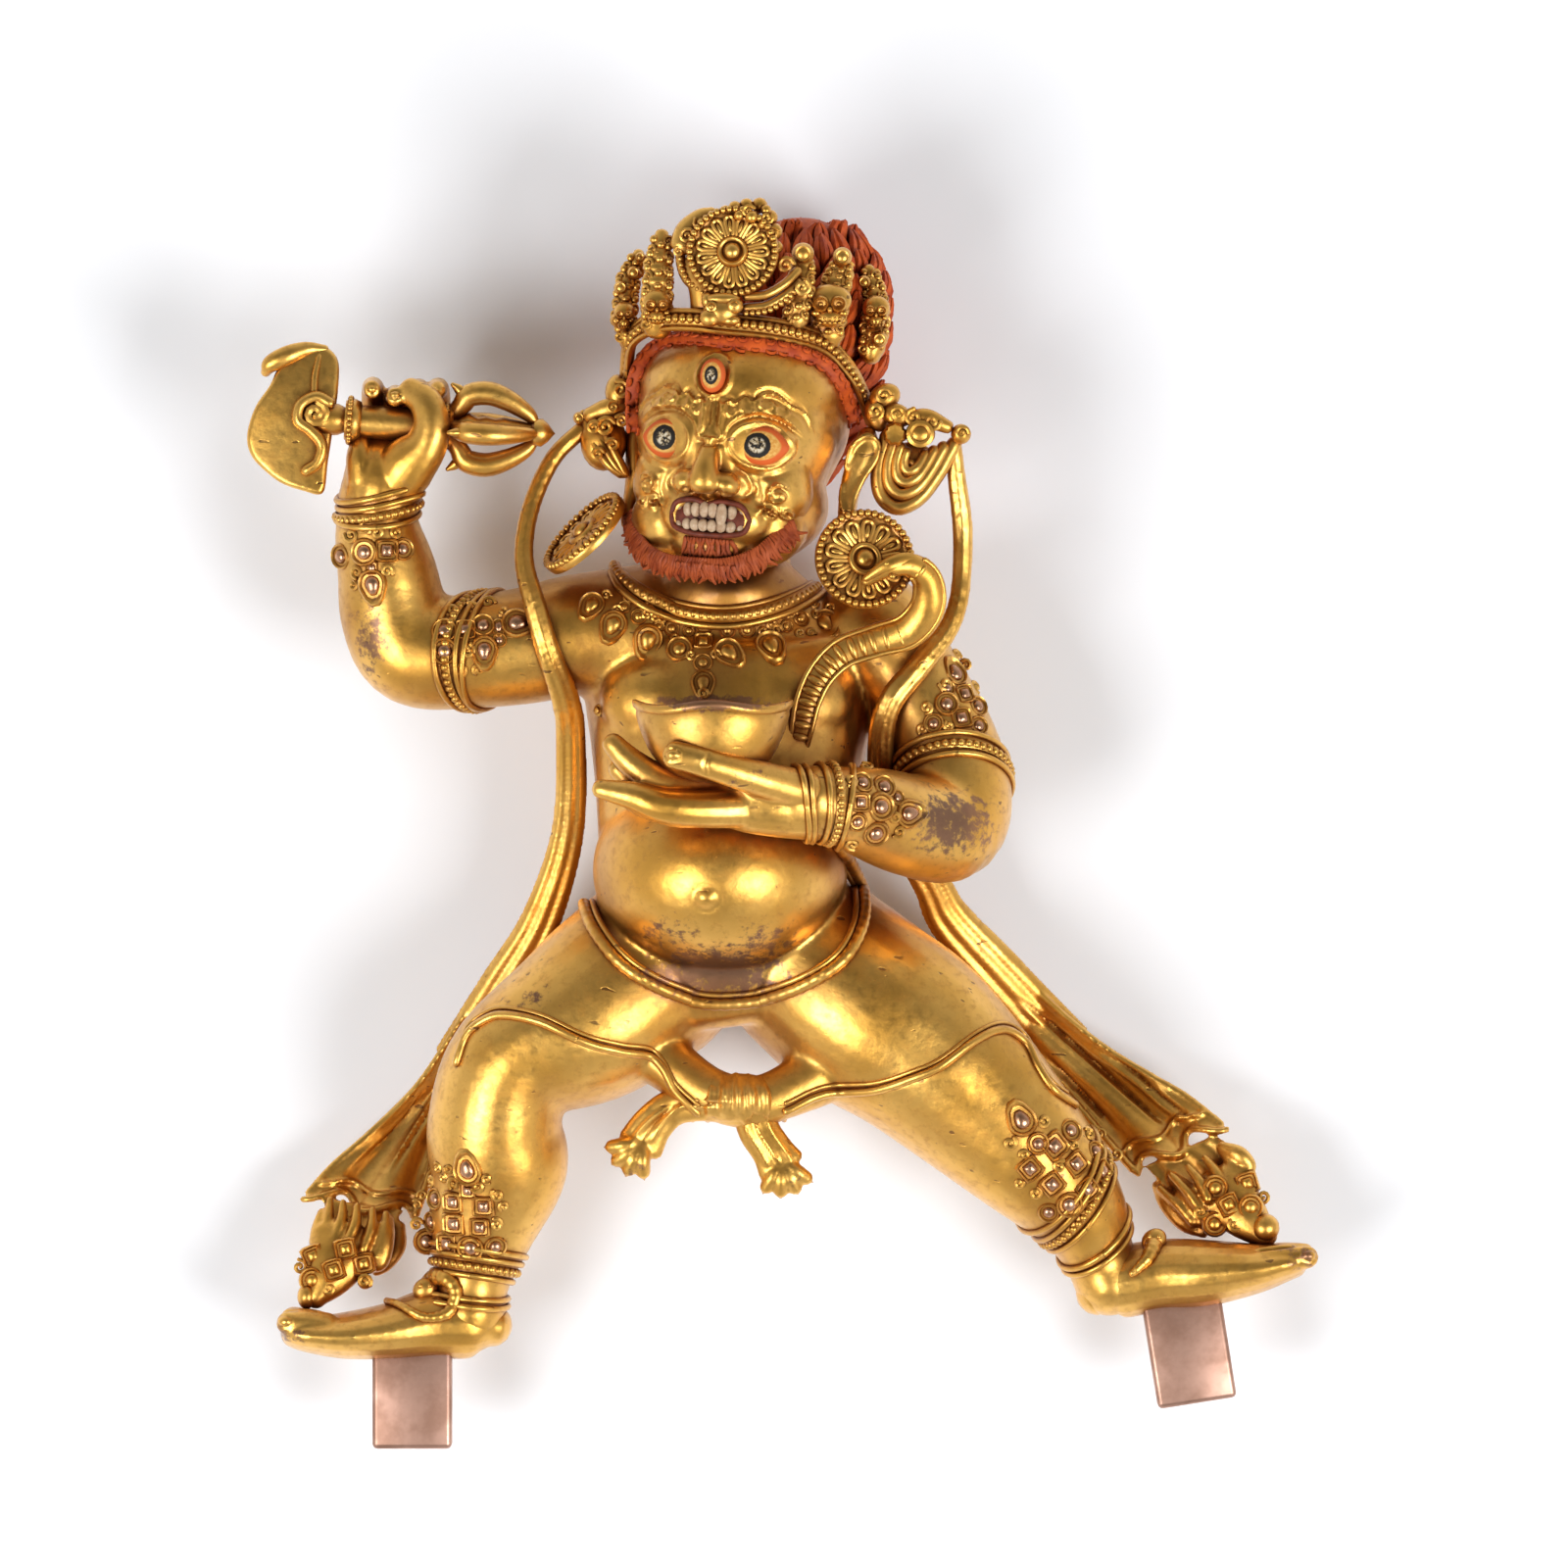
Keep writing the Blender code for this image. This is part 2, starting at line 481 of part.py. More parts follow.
LEFT_SCARF = (
    (-51, 101.5, 51, 2.2, 2.2), (-59.0, 93.4, 52, 2.3, 2.2), (-64.6, 80.6, 55, 2.4, 2.2),
    (-66.2, 68.1, 59, 2.6, 2.2), (-63.5, 56.6, 62, 3.0, 2.2), (-60, 44.4, 61.5, 3.2, 2.2),
    (-55.6, 31.9, 55, 3.8, 2.2), (-54.4, 21.4, 47, 4.0, 2.2), (-55.4, -1.9, 36, 4.4, 2.2),
    (-62.4, -24.4, 27, 5.4, 2.2), (-72.5, -41.9, 19, 6.6, 2.2), (-83, -60, 14, 8.0, 2.2),
)
RIGHT_SCARF = (
    (43, 93, 58, 2.2, 2.2), (45.4, 77, 55, 2.6, 2.2), (45.2, 63.1, 55, 2.5, 2.2),
    (43.4, 52, 57, 2.6, 2.2), (35, 41.4, 60.5, 3.2, 2.2), (26.6, 30.6, 60.5, 3.4, 2.2),
    (24.6, 18, 54, 3.6, 2.2), (27, 3, 43, 4.2, 2.2), (37.5, -14.4, 33, 5.0, 2.2),
    (42.4, -24, 28, 6.0, 2.2), (54.5, -37.4, 22, 7.0, 2.2), (72.0, -56.4, 16, 8.4, 2.2),
)


def scarves(casting):
    casting.take(loft(LEFT_SCARF, sides=12), loft(RIGHT_SCARF, sides=12))
    left_outer = ((-84, -50, 16), (-96, -72, 13), (-107, -82, 15), (-121, -93.6, 20))
    left_inner = ((-80, -70, 16), (-88, -78, 13), (-94, -88, 15), (-97.5, -98, 22))
    casting.take(*pleats(left_outer, left_inner, 6, (2.6, 2.8), 2.4))
    right_outer = ((68, -46, 18), (86, -60.0, 16), (97.5, -68, 18), (111.0, -76.4, 24))
    right_inner = ((64, -56, 18), (76, -70.4, 16), (85, -80, 20), (92, -88, 26))
    casting.take(*pleats(right_outer, right_inner, 6, (2.6, 3.0), 2.4))
    left_tassel = ((-104, -93, 20, 9, 4), (-110, -101, 24, 8, 4.4), (-113.5, -108, 29, 8.6, 5),
                   (-115.5, -117, 33, 8, 5), (-119.5, -123, 35, 3.4, 4))
    right_tassel = ((101, -82, 25, 8, 4), (108.5, -89, 29, 8, 4.4), (114, -96.5, 32, 8.6, 5),
                    (120, -103, 35, 6.4, 5), (124.6, -107, 37, 3.4, 4))
    casting.take(loft(left_tassel, sides=12), loft(right_tassel, sides=12))
    for x, y, z in ((-121, -110.4, 33), (-111.6, -108.2, 35), (-115, -113.6, 38), (-107.6, -116, 36),
                    (110, -92.8, 34), (118.4, -92, 34), (113.8, -96.8, 37), (110.4, -101.6, 36),
                    (123, -103, 39)):
        casting.take(ball((x, y, z), (2.9, 2.9, 2.9)))


def snakes(casting):
    throat = ((20.8, 61.6, 78, 1.6, 1.4), (26.4, 64.8, 80, 2.6, 2), (32.4, 66, 78, 3.2, 2.6),
              (36.4, 62, 74, 3.6, 3.2), (36, 55.6, 71, 4.0, 3.4), (31.4, 50.6, 69, 3.8, 3),
              (23, 47.6, 68, 3.0, 2.4), (14.4, 44.6, 69, 2.6, 2.2), (8.6, 38.6, 69.6, 2.3, 2),
              (4.4, 31, 70, 2.0, 1.8), (1.6, 22.6, 72, 1.7, 1.6))
    casting.take(loft(throat, sides=10))
    belt = ((14, -5, 58), (19, -16, 60), (19.4, -27, 66), (13.6, -37, 69), (3, -43, 71), (-10, -45.6, 72),
            (-23, -44.6, 71), (-35, -39.4, 68), (-44.6, -32.4, 62), (-49.4, -24, 54), (-50, -16, 46))
    casting.take(cord(belt, 2.3), cord([(x * 0.94 - 0.9, y * 0.94 - 0.6, z + 1) for x, y, z in belt], 1.5))
    ankles = (
        ((-92, -120, 47, 2, 2), (-86.4, -116, 50, 2.6, 2.4), (-84, -124, 50, 2.2, 2), (-90, -127.4, 48, 1.8, 1.8),
         (-103, -122.4, 46, 1.3, 1.3)),
        ((86.6, -96, 49, 2.4, 2.2), (91, -103, 50, 2.8, 2.4), (93, -110, 49, 2.2, 2), (88.6, -114.6, 48, 1.8, 1.8)),
    )
    for stations in ankles:
        casting.take(loft(stations, sides=8))


def loincloth(casting):
    left_hem = ((-83.6, -60, 46), (-78.6, -51.4, 56), (-71, -48.4, 63), (-61.8, -50.2, 66), (-50.6, -55.4, 66),
                (-40.6, -57.8, 64), (-31, -61, 60), (-26, -68.4, 52), (-21.6, -73.6, 48))
    right_hem = ((0.6, -72.6, 50), (10.3, -68.2, 56), (23, -67.6, 62), (32.6, -64.4, 65), (39.6, -61.8, 66),
                 (49, -54.6, 65), (55.6, -52.4, 61), (62.4, -57, 58), (65.6, -63.8, 58), (74, -71.6, 56))
    casting.take(cord(left_hem, 1.7), cord(right_hem, 1.7))
    left_swathe = ((-27, -50, 52, 4, 4), (-26, -60, 56, 3.4, 3.4), (-21, -67, 56, 3.4, 3.4), (-11, -69.5, 57, 3.6, 4))
    right_swathe = ((4, -52, 50, 4, 4), (2, -62, 54, 3.6, 3.4), (-4, -67.4, 56, 3.8, 3.8), (-11, -69.5, 57, 3.6, 4))
    casting.take(loft(left_swathe, sides=10), loft(right_swathe, sides=10))
    casting.take(ball((-10.5, -70, 57.5), (7.4, 5.2, 5.4)))
    tails = (
        ((-12, -70, 56, 4, 3), (-22, -69.6, 54, 3.6, 3), (-29, -74, 52, 3.2, 2.6), (-35.6, -80, 51, 4, 2.6)),
        ((-10, -70, 57, 3.6, 3), (-8, -77, 55, 4.2, 3), (-4.4, -83.4, 53, 4.0, 2.6), (-1.4, -88, 52, 4.6, 2.6)),
    )
    for stations in tails:
        casting.take(loft(stations, sides=10))
    claws = ((-41, -80.4), (-40.4, -85), (-36.6, -87.6), (-8.6, -92.6), (-3.4, -93), (2.4, -92.4), (7.4, -86.4))
    casting.take(*(ball((x, y, 52), (2.2, 2.4, 2.2)) for x, y in claws))


def limb_band(casting, stations, share, bulge, width=0.6, skew=(0, 0, 0)):
    """A hoop round a limb at a share of its length, set into the skin."""
    curve = smooth_curve(stations, 12)
    index = min(max(int(share * (len(curve) - 1)), 1), len(curve) - 2)
    along = Vector(curve[index + 1][:3]) - Vector(curve[index - 1][:3])
    along = along.normalized() + Vector(skew)
    x, y, z, wide, deep = curve[index]
    casting.take(hoop((x, y, z), along, wide + width, deep + width, bulge))


def jewels(casting):
    collar = ((-42, 63.4, 56), (-33.5, 58.1, 66), (-26, 55.1, 70), (-15.3, 54.4, 73), (-5.3, 55.6, 71.4),
              (3.5, 58.4, 68), (9.5, 61.6, 62))
    casting.take(cord(collar, 1.7), cord([(x, y - 2.4, z - 1) for x, y, z in collar], 1.3))
    pendants = ((-48.8, 56.6), (-43.3, 50.9), (-34.5, 46.9), (-26.8, 44.6), (-20.5, 46.4), (-14.3, 43.9),
                (-20.5, 36.6), (-3.5, 45.6), (10.3, 51.4))
    for x, y in pendants:
        front = 43 + 25 * math.sqrt(max(0.05, 1 - ((x + 14.5) / 39) ** 2))
        casting.take(ball((x, y, front), (2.6, 2.8, 2.2)))
    bands = ((RAISED_ARM, 0.275, 1.5), (RAISED_ARM, 0.325, 1.7), (RAISED_ARM, 0.88, 1.6), (RAISED_ARM, 0.93, 1.5),
             (CUP_ARM, 0.335, 1.6), (CUP_ARM, 0.37, 1.4), (CUP_ARM, 0.90, 1.7), (CUP_ARM, 0.945, 1.3),
             (BENT_LEG, 0.70, 1.6), (BENT_LEG, 0.76, 1.4), (BENT_LEG, 0.90, 1.5),
             (STRAIGHT_LEG, 0.63, 1.6), (STRAIGHT_LEG, 0.69, 1.4), (STRAIGHT_LEG, 0.83, 1.5))
    for stations, share, bulge in bands:
        limb_band(casting, stations, share, bulge)
    settings = (
        (-112.8, 68.6, 56), (-106.8, 69.6, 60), (-101.2, 70, 60), (-104.8, 61.6, 61),
        (-86, 49.6, 60), (-86, 44.4, 61), (-80.8, 49.9, 61), (-76.4, 51, 61), (-76.2, 44.9, 61.6), (-68.2, 51.6, 60),
        (43.8, 37.6, 55), (41, 29.9, 59), (50, 28.9, 54), (46.6, 33.4, 57),
        (19.8, 11, 82), (25.3, 9.9, 81), (24.5, 4.9, 86), (31.6, 2.9, 80), (23.3, -1.9, 85), (18.6, 1.0, 90),
        (-91.4, -107.4, 48), (-86, -107.4, 51), (-80, -109.2, 51), (-84.4, -95.5, 54), (-84.2, -101.6, 53),
        (-77.6, -103.4, 53), (-88.4, -95, 50), (-76.6, -97, 55), (-80.6, -88.4, 58),
        (60.6, -75.2, 63), (62.6, -87.2, 62), (68.8, -81.4, 62), (73, -77.6, 58), (68.2, -90.8, 58),
        (72.6, -97.6, 55), (77.2, -93.4, 55), (82, -88.6, 52),
    )
    casting.take(*(ball(spot, (2.3, 2.5, 2.3), detail=1) for spot in settings))


# The finished castings

def sculpt_figure():
    casting = Casting()
    for make in (body, feet, cup_hand, raised_hand, head, beard, hair, crown, ear_ornaments,
                 scarves, snakes, loincloth, jewels):
        make(casting)
    earring(casting, (-50.8, 74.4, 60), (-0.68, 0.68, 0.28), 13.0)
    earring(casting, (20.4, 67.6, 74), (0.15, 0.15, 0.95), 12.2)
    return casting.mesh("figure_shapes", UNIT)


def applied(thing, name):
    """The mesh that an object's modifiers make."""
    graph = bpy.context.evaluated_depsgraph_get()
    mesh = bpy.data.meshes.new_from_object(thing.evaluated_get(graph))
    mesh.name = name
    bpy.data.objects.remove(thing, do_unlink=True)
    return mesh


def keep_outer_skin(mesh):
    """Leaves only the largest body: small pockets shut inside the casting are filled."""
    shape = bmesh.new()
    shape.from_mesh(mesh)
    unseen = set(shape.faces)
    bodies = []
    while unseen:
        group = [unseen.pop()]
        for face in group:
            for edge in face.edges:
                for other in edge.link_faces:
                    if other in unseen:
                        unseen.discard(other)
                        group.append(other)
        bodies.append(group)
    bodies.sort(key=len, reverse=True)
    spare = [face for group in bodies[1:] for face in group]
    bmesh.ops.delete(shape, geom=spare, context="FACES")
    shape.to_mesh(mesh)
    shape.free()


def cast_skin(mesh, grain, triangles):
    """The gathered shapes melted into one skin, then thinned to a triangle budget."""
    thing = bpy.data.objects.new("skin", mesh)
    bpy.context.collection.objects.link(thing)
    melt = thing.modifiers.new("melt", "REMESH")
    melt.mode = "VOXEL"
    melt.voxel_size = grain
    soften = thing.modifiers.new("soften", "SMOOTH")
    soften.factor = 0.5
    soften.iterations = SMOOTHING_STEPS
    skin = applied(thing, "skin")
    keep_outer_skin(skin)
    skin.calc_loop_triangles()
    thinned = bpy.data.objects.new("thinned", skin)
    bpy.context.collection.objects.link(thinned)
    thin = thinned.modifiers.new("thin", "DECIMATE")
    thin.ratio = triangles / len(skin.loop_triangles)
    return applied(thinned, "cast")


def tenon_place(which):
    """Where a tenon leaves the sole, and its lean."""
    if which == "bent":
        return Vector((-95.1, -134.0, 37)) * UNIT, 0.0
    return Vector((101.8, -122.6, 37)) * UNIT, math.radians(9)


def tenon(which):
    """A bare copper peg, sunk a little into the sole, with its length measured from it."""
    sole, lean = tenon_place(which)
    root = 4.0 * UNIT
    shape = bmesh.new()
    bmesh.ops.create_cube(shape, size=1.0, matrix=Matrix.Diagonal(
        (TENON_WIDTH, TENON_LENGTH + root, TENON_THICKNESS, 1.0)))
    bmesh.ops.bevel(shape, geom=shape.edges[:], offset=TENON_CORNER, offset_type="OFFSET",
                    affect="EDGES", segments=1, profile=0.5, material=-1)
    place = (Matrix.Translation(sole) @ Matrix.Rotation(lean, 4, "Z")
             @ Matrix.Translation((0, (root - TENON_LENGTH) / 2 - 2.6 * UNIT, 0)))
    bmesh.ops.transform(shape, matrix=place, verts=shape.verts[:])
    return shape


CUP_RIM = Vector((-18.0, 30.4, 92.6))
CUP_RINGS = 6


def cup_stations(shrink, extra):
    """Ellipse rings from the rim down to the bottom of the bowl, as a quarter of an egg."""
    depth = CUP_DEPTH - shrink
    rings = []
    if extra:
        rings.append((-extra, CUP_HALF_WIDTH - shrink, CUP_HALF_DEPTH - shrink))
    for index in range(CUP_RINGS):
        angle = math.radians(82) * index / (CUP_RINGS - 1)
        share = math.cos(angle) ** 0.8
        rings.append((depth * math.sin(angle), (CUP_HALF_WIDTH - shrink) * share,
                      (CUP_HALF_DEPTH - shrink) * share))
    return rings


def cup_solid(shrink, extra=0.0):
    rim = CUP_RIM * UNIT
    shape = bmesh.new()
    matrices = []
    for drop, wide, deep in cup_stations(shrink, extra):
        centre = rim - Vector((0, drop, 0))
        matrices.append(station_matrix(centre, Vector((0, -1, 0)), Vector((0, 0, 1)), wide, deep))
    bmesh.ops.create_circle(shape, cap_ends=False, segments=24, radius=1.0, matrix=matrices[0])
    edges = shape.edges[:]
    for before, after in zip(matrices, matrices[1:]):
        grown = bmesh.ops.extrude_edge_only(shape, edges=edges)["geom"]
        verts = {item for item in grown if isinstance(item, bmesh.types.BMVert)}
        edges = [item for item in grown if isinstance(item, bmesh.types.BMEdge)
                 and item.verts[0] in verts and item.verts[1] in verts]
        bmesh.ops.transform(shape, matrix=after @ before.inverted(), verts=list(verts))
    bmesh.ops.holes_fill(shape, edges=[e for e in shape.edges if e.is_boundary], sides=0)
    bmesh.ops.recalc_face_normals(shape, faces=shape.faces[:])
    if not extra:
        for vert in shape.verts:
            side = (vert.co.x - rim.x) / CUP_HALF_WIDTH
            near_rim = max(0.0, 1 - (rim.y - vert.co.y) / (CUP_DEPTH * 0.4))
            vert.co.y += CUP_HORN * near_rim * (side ** 4 - 0.25)
    return shape


GRIP_MIDDLE = Vector((-98.0, 102.4, 56.6))
GRIP_LEAN = math.radians(-3.7)


def grip_matrix():
    return Matrix.Translation(GRIP_MIDDLE * UNIT) @ Matrix.Rotation(GRIP_LEAN, 4, "Z")


def turned(profile, sides=20):
    """A round piece along local X from pairs of place and radius, closed at both ends."""
    shape = bmesh.new()
    verts = [shape.verts.new((along, 0, radius)) for along, radius in profile]
    edges = [shape.edges.new(pair) for pair in zip(verts, verts[1:])]
    bmesh.ops.spin(shape, geom=verts + edges, cent=(0, 0, 0), axis=(1, 0, 0), angle=math.tau,
                   steps=sides, use_merge=True, use_duplicate=False)
    bmesh.ops.remove_doubles(shape, verts=shape.verts[:], dist=1e-6)
    bmesh.ops.recalc_face_normals(shape, faces=shape.faces[:])
    return shape


def shaft_profile(clearance):
    """The handle between its bead knob and its collar, or the bore that clears it."""
    half = HANDLE_GRIP / 2
    end = half + KNOB_LENGTH
    grip = half - clearance
    knob = KNOB_RADIUS + clearance
    handle = HANDLE_RADIUS + clearance
    return ((-end - clearance, 0.0), (-end - clearance, knob), (-grip, knob), (-grip, handle),
            (grip, handle), (grip, knob), (end + clearance, knob), (end + clearance, 0.0))


def blade_outline():
    corners = ((-113.6, 110.0), (-113.4, 117.8), (-116, 121.6), (-121, 123.2), (-125.6, 121.0),
               (-129.0, 116.4), (-131, 112.1), (-134.8, 106.4), (-137, 99.4), (-135.8, 94.4),
               (-132.5, 90.6), (-128, 87.2), (-122.3, 85.2), (-117.4, 84.6), (-116.2, 92), (-115.0, 100))
    return [Vector((x, y)) * UNIT for x, y in smooth_curve(corners + corners[:1], 2)[:-1]]


def shaft_mesh(clearance):
    """The knob, the handle in the fist and the collar in one turned piece, or their bore."""
    shape = turned(shaft_profile(clearance))
    bmesh.ops.transform(shape, matrix=grip_matrix(), verts=shape.verts[:])
    return shape_mesh("shaft", shape)


def sculpt_chopper():
    """The bent blade with its hook and scroll, and the five-pronged vajra end."""
    casting = Casting()
    blade = bmesh.new()
    middle = GRIP_MIDDLE.z * UNIT
    outline = [blade.verts.new((x, y, middle - BLADE_THICKNESS / 2)) for x, y in blade_outline()]
    sheet = blade.faces.new(outline)
    top = bmesh.ops.extrude_face_region(blade, geom=[sheet])["geom"]
    lifted = [item for item in top if isinstance(item, bmesh.types.BMVert)]
    bmesh.ops.translate(blade, vec=(0, 0, BLADE_THICKNESS), verts=lifted)
    bmesh.ops.recalc_face_normals(blade, faces=blade.faces[:])
    for vert in blade.verts:
        share = (vert.co.y / UNIT - 102) / 20
        vert.co.z -= 2.6 * UNIT * max(0.0, share) ** 2
    hook = [Vector(point) * UNIT for point in ((-131.0, 117.4, 56.0), (-126.4, 120.4, 55.6), (-119.0, 122.4, 54.6))]
    casting.take(blade, cord(hook, 1.5 * UNIT))
    scroll = [Vector(point) * UNIT for point in (
        (-117.4, 106, 59), (-121, 108, 59), (-123.4, 104, 59), (-120.4, 100, 59),
        (-117.6, 95, 59), (-121, 90.4, 58.6))]
    casting.take(cord(scroll, 1.9 * UNIT))
    local = Casting()
    end = HANDLE_GRIP / 2 + KNOB_LENGTH
    neck = ((-end - 8.6 * UNIT, 0), (-end - 8.0 * UNIT, 3.6 * UNIT), (-end - 3.2 * UNIT, 4.4 * UNIT),
            (-end + 0.5 * UNIT, 3.6 * UNIT), (-end + 0.5 * UNIT, 0))
    core = ((-end - 0.5 * UNIT, 0), (-end - 0.5 * UNIT, 2.8 * UNIT), (end + 8 * UNIT, 3.0 * UNIT),
            (end + 20.6 * UNIT, 2.2 * UNIT), (end + 21.6 * UNIT, 3.0 * UNIT), (end + 23.6 * UNIT, 2.6 * UNIT),
            (end + 26.4 * UNIT, 0))
    local.take(turned(neck, 14), turned(core, 14))
    for quarter in range(4):
        prong = [Vector(point) * UNIT for point in (
            (-1.0, 2.6, 0), (3.6, 5.2, 0), (6.0, 9.2, 0), (11.0, 9.2, 0), (16, 6.6, 0), (20.0, 2.0, 0))]
        shape = cord([Vector((end, 0, 0)) + point for point in prong], 1.5 * UNIT, sides=8, steps=2)
        bmesh.ops.rotate(shape, cent=(0, 0, 0), matrix=Matrix.Rotation(quarter * math.pi / 2, 3, "X"),
                         verts=shape.verts[:])
        local.take(shape)
    handle = local.mesh("handle_shapes")
    handle.transform(grip_matrix())
    casting.shapes.from_mesh(handle)
    bpy.data.meshes.remove(handle)
    return casting.mesh("chopper_shapes")


def node(name, mesh, material):
    thing = bpy.data.objects.new(name, mesh)
    bpy.context.collection.objects.link(thing)
    mesh.materials.clear()
    mesh.materials.append(material)
    mesh.shade_smooth()
    mesh.set_sharp_from_angle(angle=math.radians(40))
    return thing


def shape_mesh(name, shape):
    mesh = bpy.data.meshes.new(name)
    shape.to_mesh(mesh)
    shape.free()
    return mesh


def cutter(name, mesh, target, operation):
    tool = bpy.data.objects.new(name, mesh)
    bpy.context.collection.objects.link(tool)
    tool.hide_render = True
    tool.display_type = "WIRE"
    step = target.modifiers.new(name, "BOOLEAN")
    step.operation = operation
    step.solver = "EXACT"
    step.object = tool
    return tool


def settle(nodes):
    """Moves everything so that the box is centred over the origin and rests on the floor."""
    graph = bpy.context.evaluated_depsgraph_get()
    corners = [thing.evaluated_get(graph).matrix_world @ Vector(corner)
               for thing in nodes for corner in thing.evaluated_get(graph).bound_box]
    low = [min(corner[axis] for corner in corners) for axis in range(3)]
    high = [max(corner[axis] for corner in corners) for axis in range(3)]
    shift = Vector(((low[0] + high[0]) / -2, (low[1] + high[1]) / -2, -low[2]))
    for thing in bpy.data.objects:
        thing.location = thing.location + shift


def main():
    clear_scene()
    gilt = gilt_material("fire gilt", (0.80, 0.55, 0.18), 1.0, 0.32)
    worn_gilt = gilt_material("gilt of the chopper", (0.74, 0.50, 0.18), 1.0, 0.38)
    figure = node("figure", cast_skin(sculpt_figure(), SKIN_GRAIN, FIGURE_TRIANGLES), gilt)
    for which in ("bent", "straight"):
        tenon_mesh = shape_mesh(which + "_foot_tenon", tenon(which))
        cutter(which + "_foot_tenon", tenon_mesh, figure, "UNION")
    cutter("cup_wall", shape_mesh("cup_wall", cup_solid(0.0)), figure, "UNION")
    hollow = cup_solid(CUP_WALL, extra=CUP_CLEARANCE)
    cutter("cup_hollow", shape_mesh("cup_hollow", hollow), figure, "DIFFERENCE")
    cutter("handle_bore", shaft_mesh(FIT_GAP), figure, "DIFFERENCE")
    chopper = node("chopper", shaft_mesh(0.0), worn_gilt)
    ends = cast_skin(sculpt_chopper(), CHOPPER_GRAIN, CHOPPER_TRIANGLES)
    cutter("blade_and_vajra", ends, chopper, "UNION")
    settle((figure, chopper))


main()
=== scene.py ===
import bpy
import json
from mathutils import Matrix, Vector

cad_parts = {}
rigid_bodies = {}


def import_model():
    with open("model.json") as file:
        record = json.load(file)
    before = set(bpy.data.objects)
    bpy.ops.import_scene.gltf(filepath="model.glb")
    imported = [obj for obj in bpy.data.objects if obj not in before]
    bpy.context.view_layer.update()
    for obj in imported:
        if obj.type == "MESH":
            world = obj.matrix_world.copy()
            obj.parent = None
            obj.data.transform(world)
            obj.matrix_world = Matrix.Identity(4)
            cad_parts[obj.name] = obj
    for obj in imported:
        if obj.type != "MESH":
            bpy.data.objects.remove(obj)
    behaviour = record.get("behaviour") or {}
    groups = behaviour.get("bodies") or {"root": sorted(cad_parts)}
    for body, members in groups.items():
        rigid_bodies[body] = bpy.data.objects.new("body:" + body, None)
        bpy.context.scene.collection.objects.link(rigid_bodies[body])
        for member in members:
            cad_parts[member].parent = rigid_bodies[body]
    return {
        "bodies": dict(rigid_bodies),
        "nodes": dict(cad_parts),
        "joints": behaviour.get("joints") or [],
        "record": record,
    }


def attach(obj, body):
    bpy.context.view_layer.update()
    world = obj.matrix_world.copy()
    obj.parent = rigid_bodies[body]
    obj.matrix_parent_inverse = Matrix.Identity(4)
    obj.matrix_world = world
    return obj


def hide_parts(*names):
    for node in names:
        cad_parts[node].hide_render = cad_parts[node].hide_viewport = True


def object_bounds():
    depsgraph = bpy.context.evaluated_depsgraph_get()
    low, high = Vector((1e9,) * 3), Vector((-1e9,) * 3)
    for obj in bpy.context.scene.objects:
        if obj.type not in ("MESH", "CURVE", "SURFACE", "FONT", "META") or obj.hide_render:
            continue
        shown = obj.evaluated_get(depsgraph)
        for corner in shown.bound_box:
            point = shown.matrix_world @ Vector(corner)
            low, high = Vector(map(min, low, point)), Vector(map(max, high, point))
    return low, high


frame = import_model()
cad_low, cad_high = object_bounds()

"""Looks of a gilt copper guardian figure that lies on its back on a pale floor.

X runs to the viewer's right, Y up the body from the tenons to the hair, and Z from
the floor to the face. Figure units are millimetres on a figure 318.85 mm long.
"""

import json
import math

import bmesh
import bpy
import numpy as np
from mathutils import Matrix, Vector
from mathutils.bvhtree import BVHTree

UNITS_LONG = 318.85
UNIT = (cad_high.y - cad_low.y) / UNITS_LONG
LOFT_STEPS = 6

TORSO = (
    (-14.5, 66, 50, 15, 15), (-14.5, 58, 46, 25, 17), (-14.5, 50, 43, 38, 21), (-14, 36, 42, 37.5, 27),
    (-14.5, 15, 42, 34.5, 31), (-16, -8, 41, 31.5, 30), (-16, -28, 38, 31, 27), (-14, -42, 34, 30, 24),
)
RAISED_ARM = (
    (-36, 49, 43, 18, 19), (-53.8, 48.6, 44, 15.5, 17), (-65, 46.1, 45, 15, 16),
    (-80, 44.4, 46, 14.6, 15.5), (-93.8, 45.1, 46, 14.8, 15), (-99.3, 53.6, 46.5, 14, 14.5),
    (-101.3, 64.4, 48, 12.8, 13.5), (-103.5, 74.4, 50, 11.2, 12), (-103.6, 81.9, 52, 9.6, 10),
    (-102, 87, 53, 8.8, 9),
)
CUP_ARM = (
    (22, 50, 42, 16, 18), (31.3, 38.1, 43, 13.8, 16), (38.8, 24.4, 45, 14.2, 15.5),
    (43, 10.6, 48, 15, 15.5), (42, 0.1, 54, 14.5, 15), (32.5, 0.1, 64, 13.2, 14),
    (23.8, 2.6, 73, 12.2, 12.5), (15, 5.1, 82, 10.2, 10.5), (7.5, 6.9, 88, 8.8, 8.6),
)
BENT_LEG = (
    (-33, -36, 37, 24, 25), (-50, -49, 42, 22.5, 24), (-69.5, -61.4, 46, 17, 19.5),
    (-74, -76.9, 44, 17.3, 18), (-73, -86.9, 41, 17.8, 17.5), (-77, -101.9, 38, 14.2, 14.5),
    (-80, -116.9, 37, 9.8, 10.5), (-80.5, -125, 37, 9.6, 11.5),
)
STRAIGHT_LEG = (
    (6, -35, 37, 24, 26), (20, -46.4, 41, 25, 26), (36, -57.6, 43, 23.6, 24), (62.5, -83.6, 46, 17.4, 18),
    (75, -98, 42, 12.8, 14), (80.3, -109.4, 38, 9.4, 10.5), (83.8, -117, 36.5, 9.4, 11.5),
)
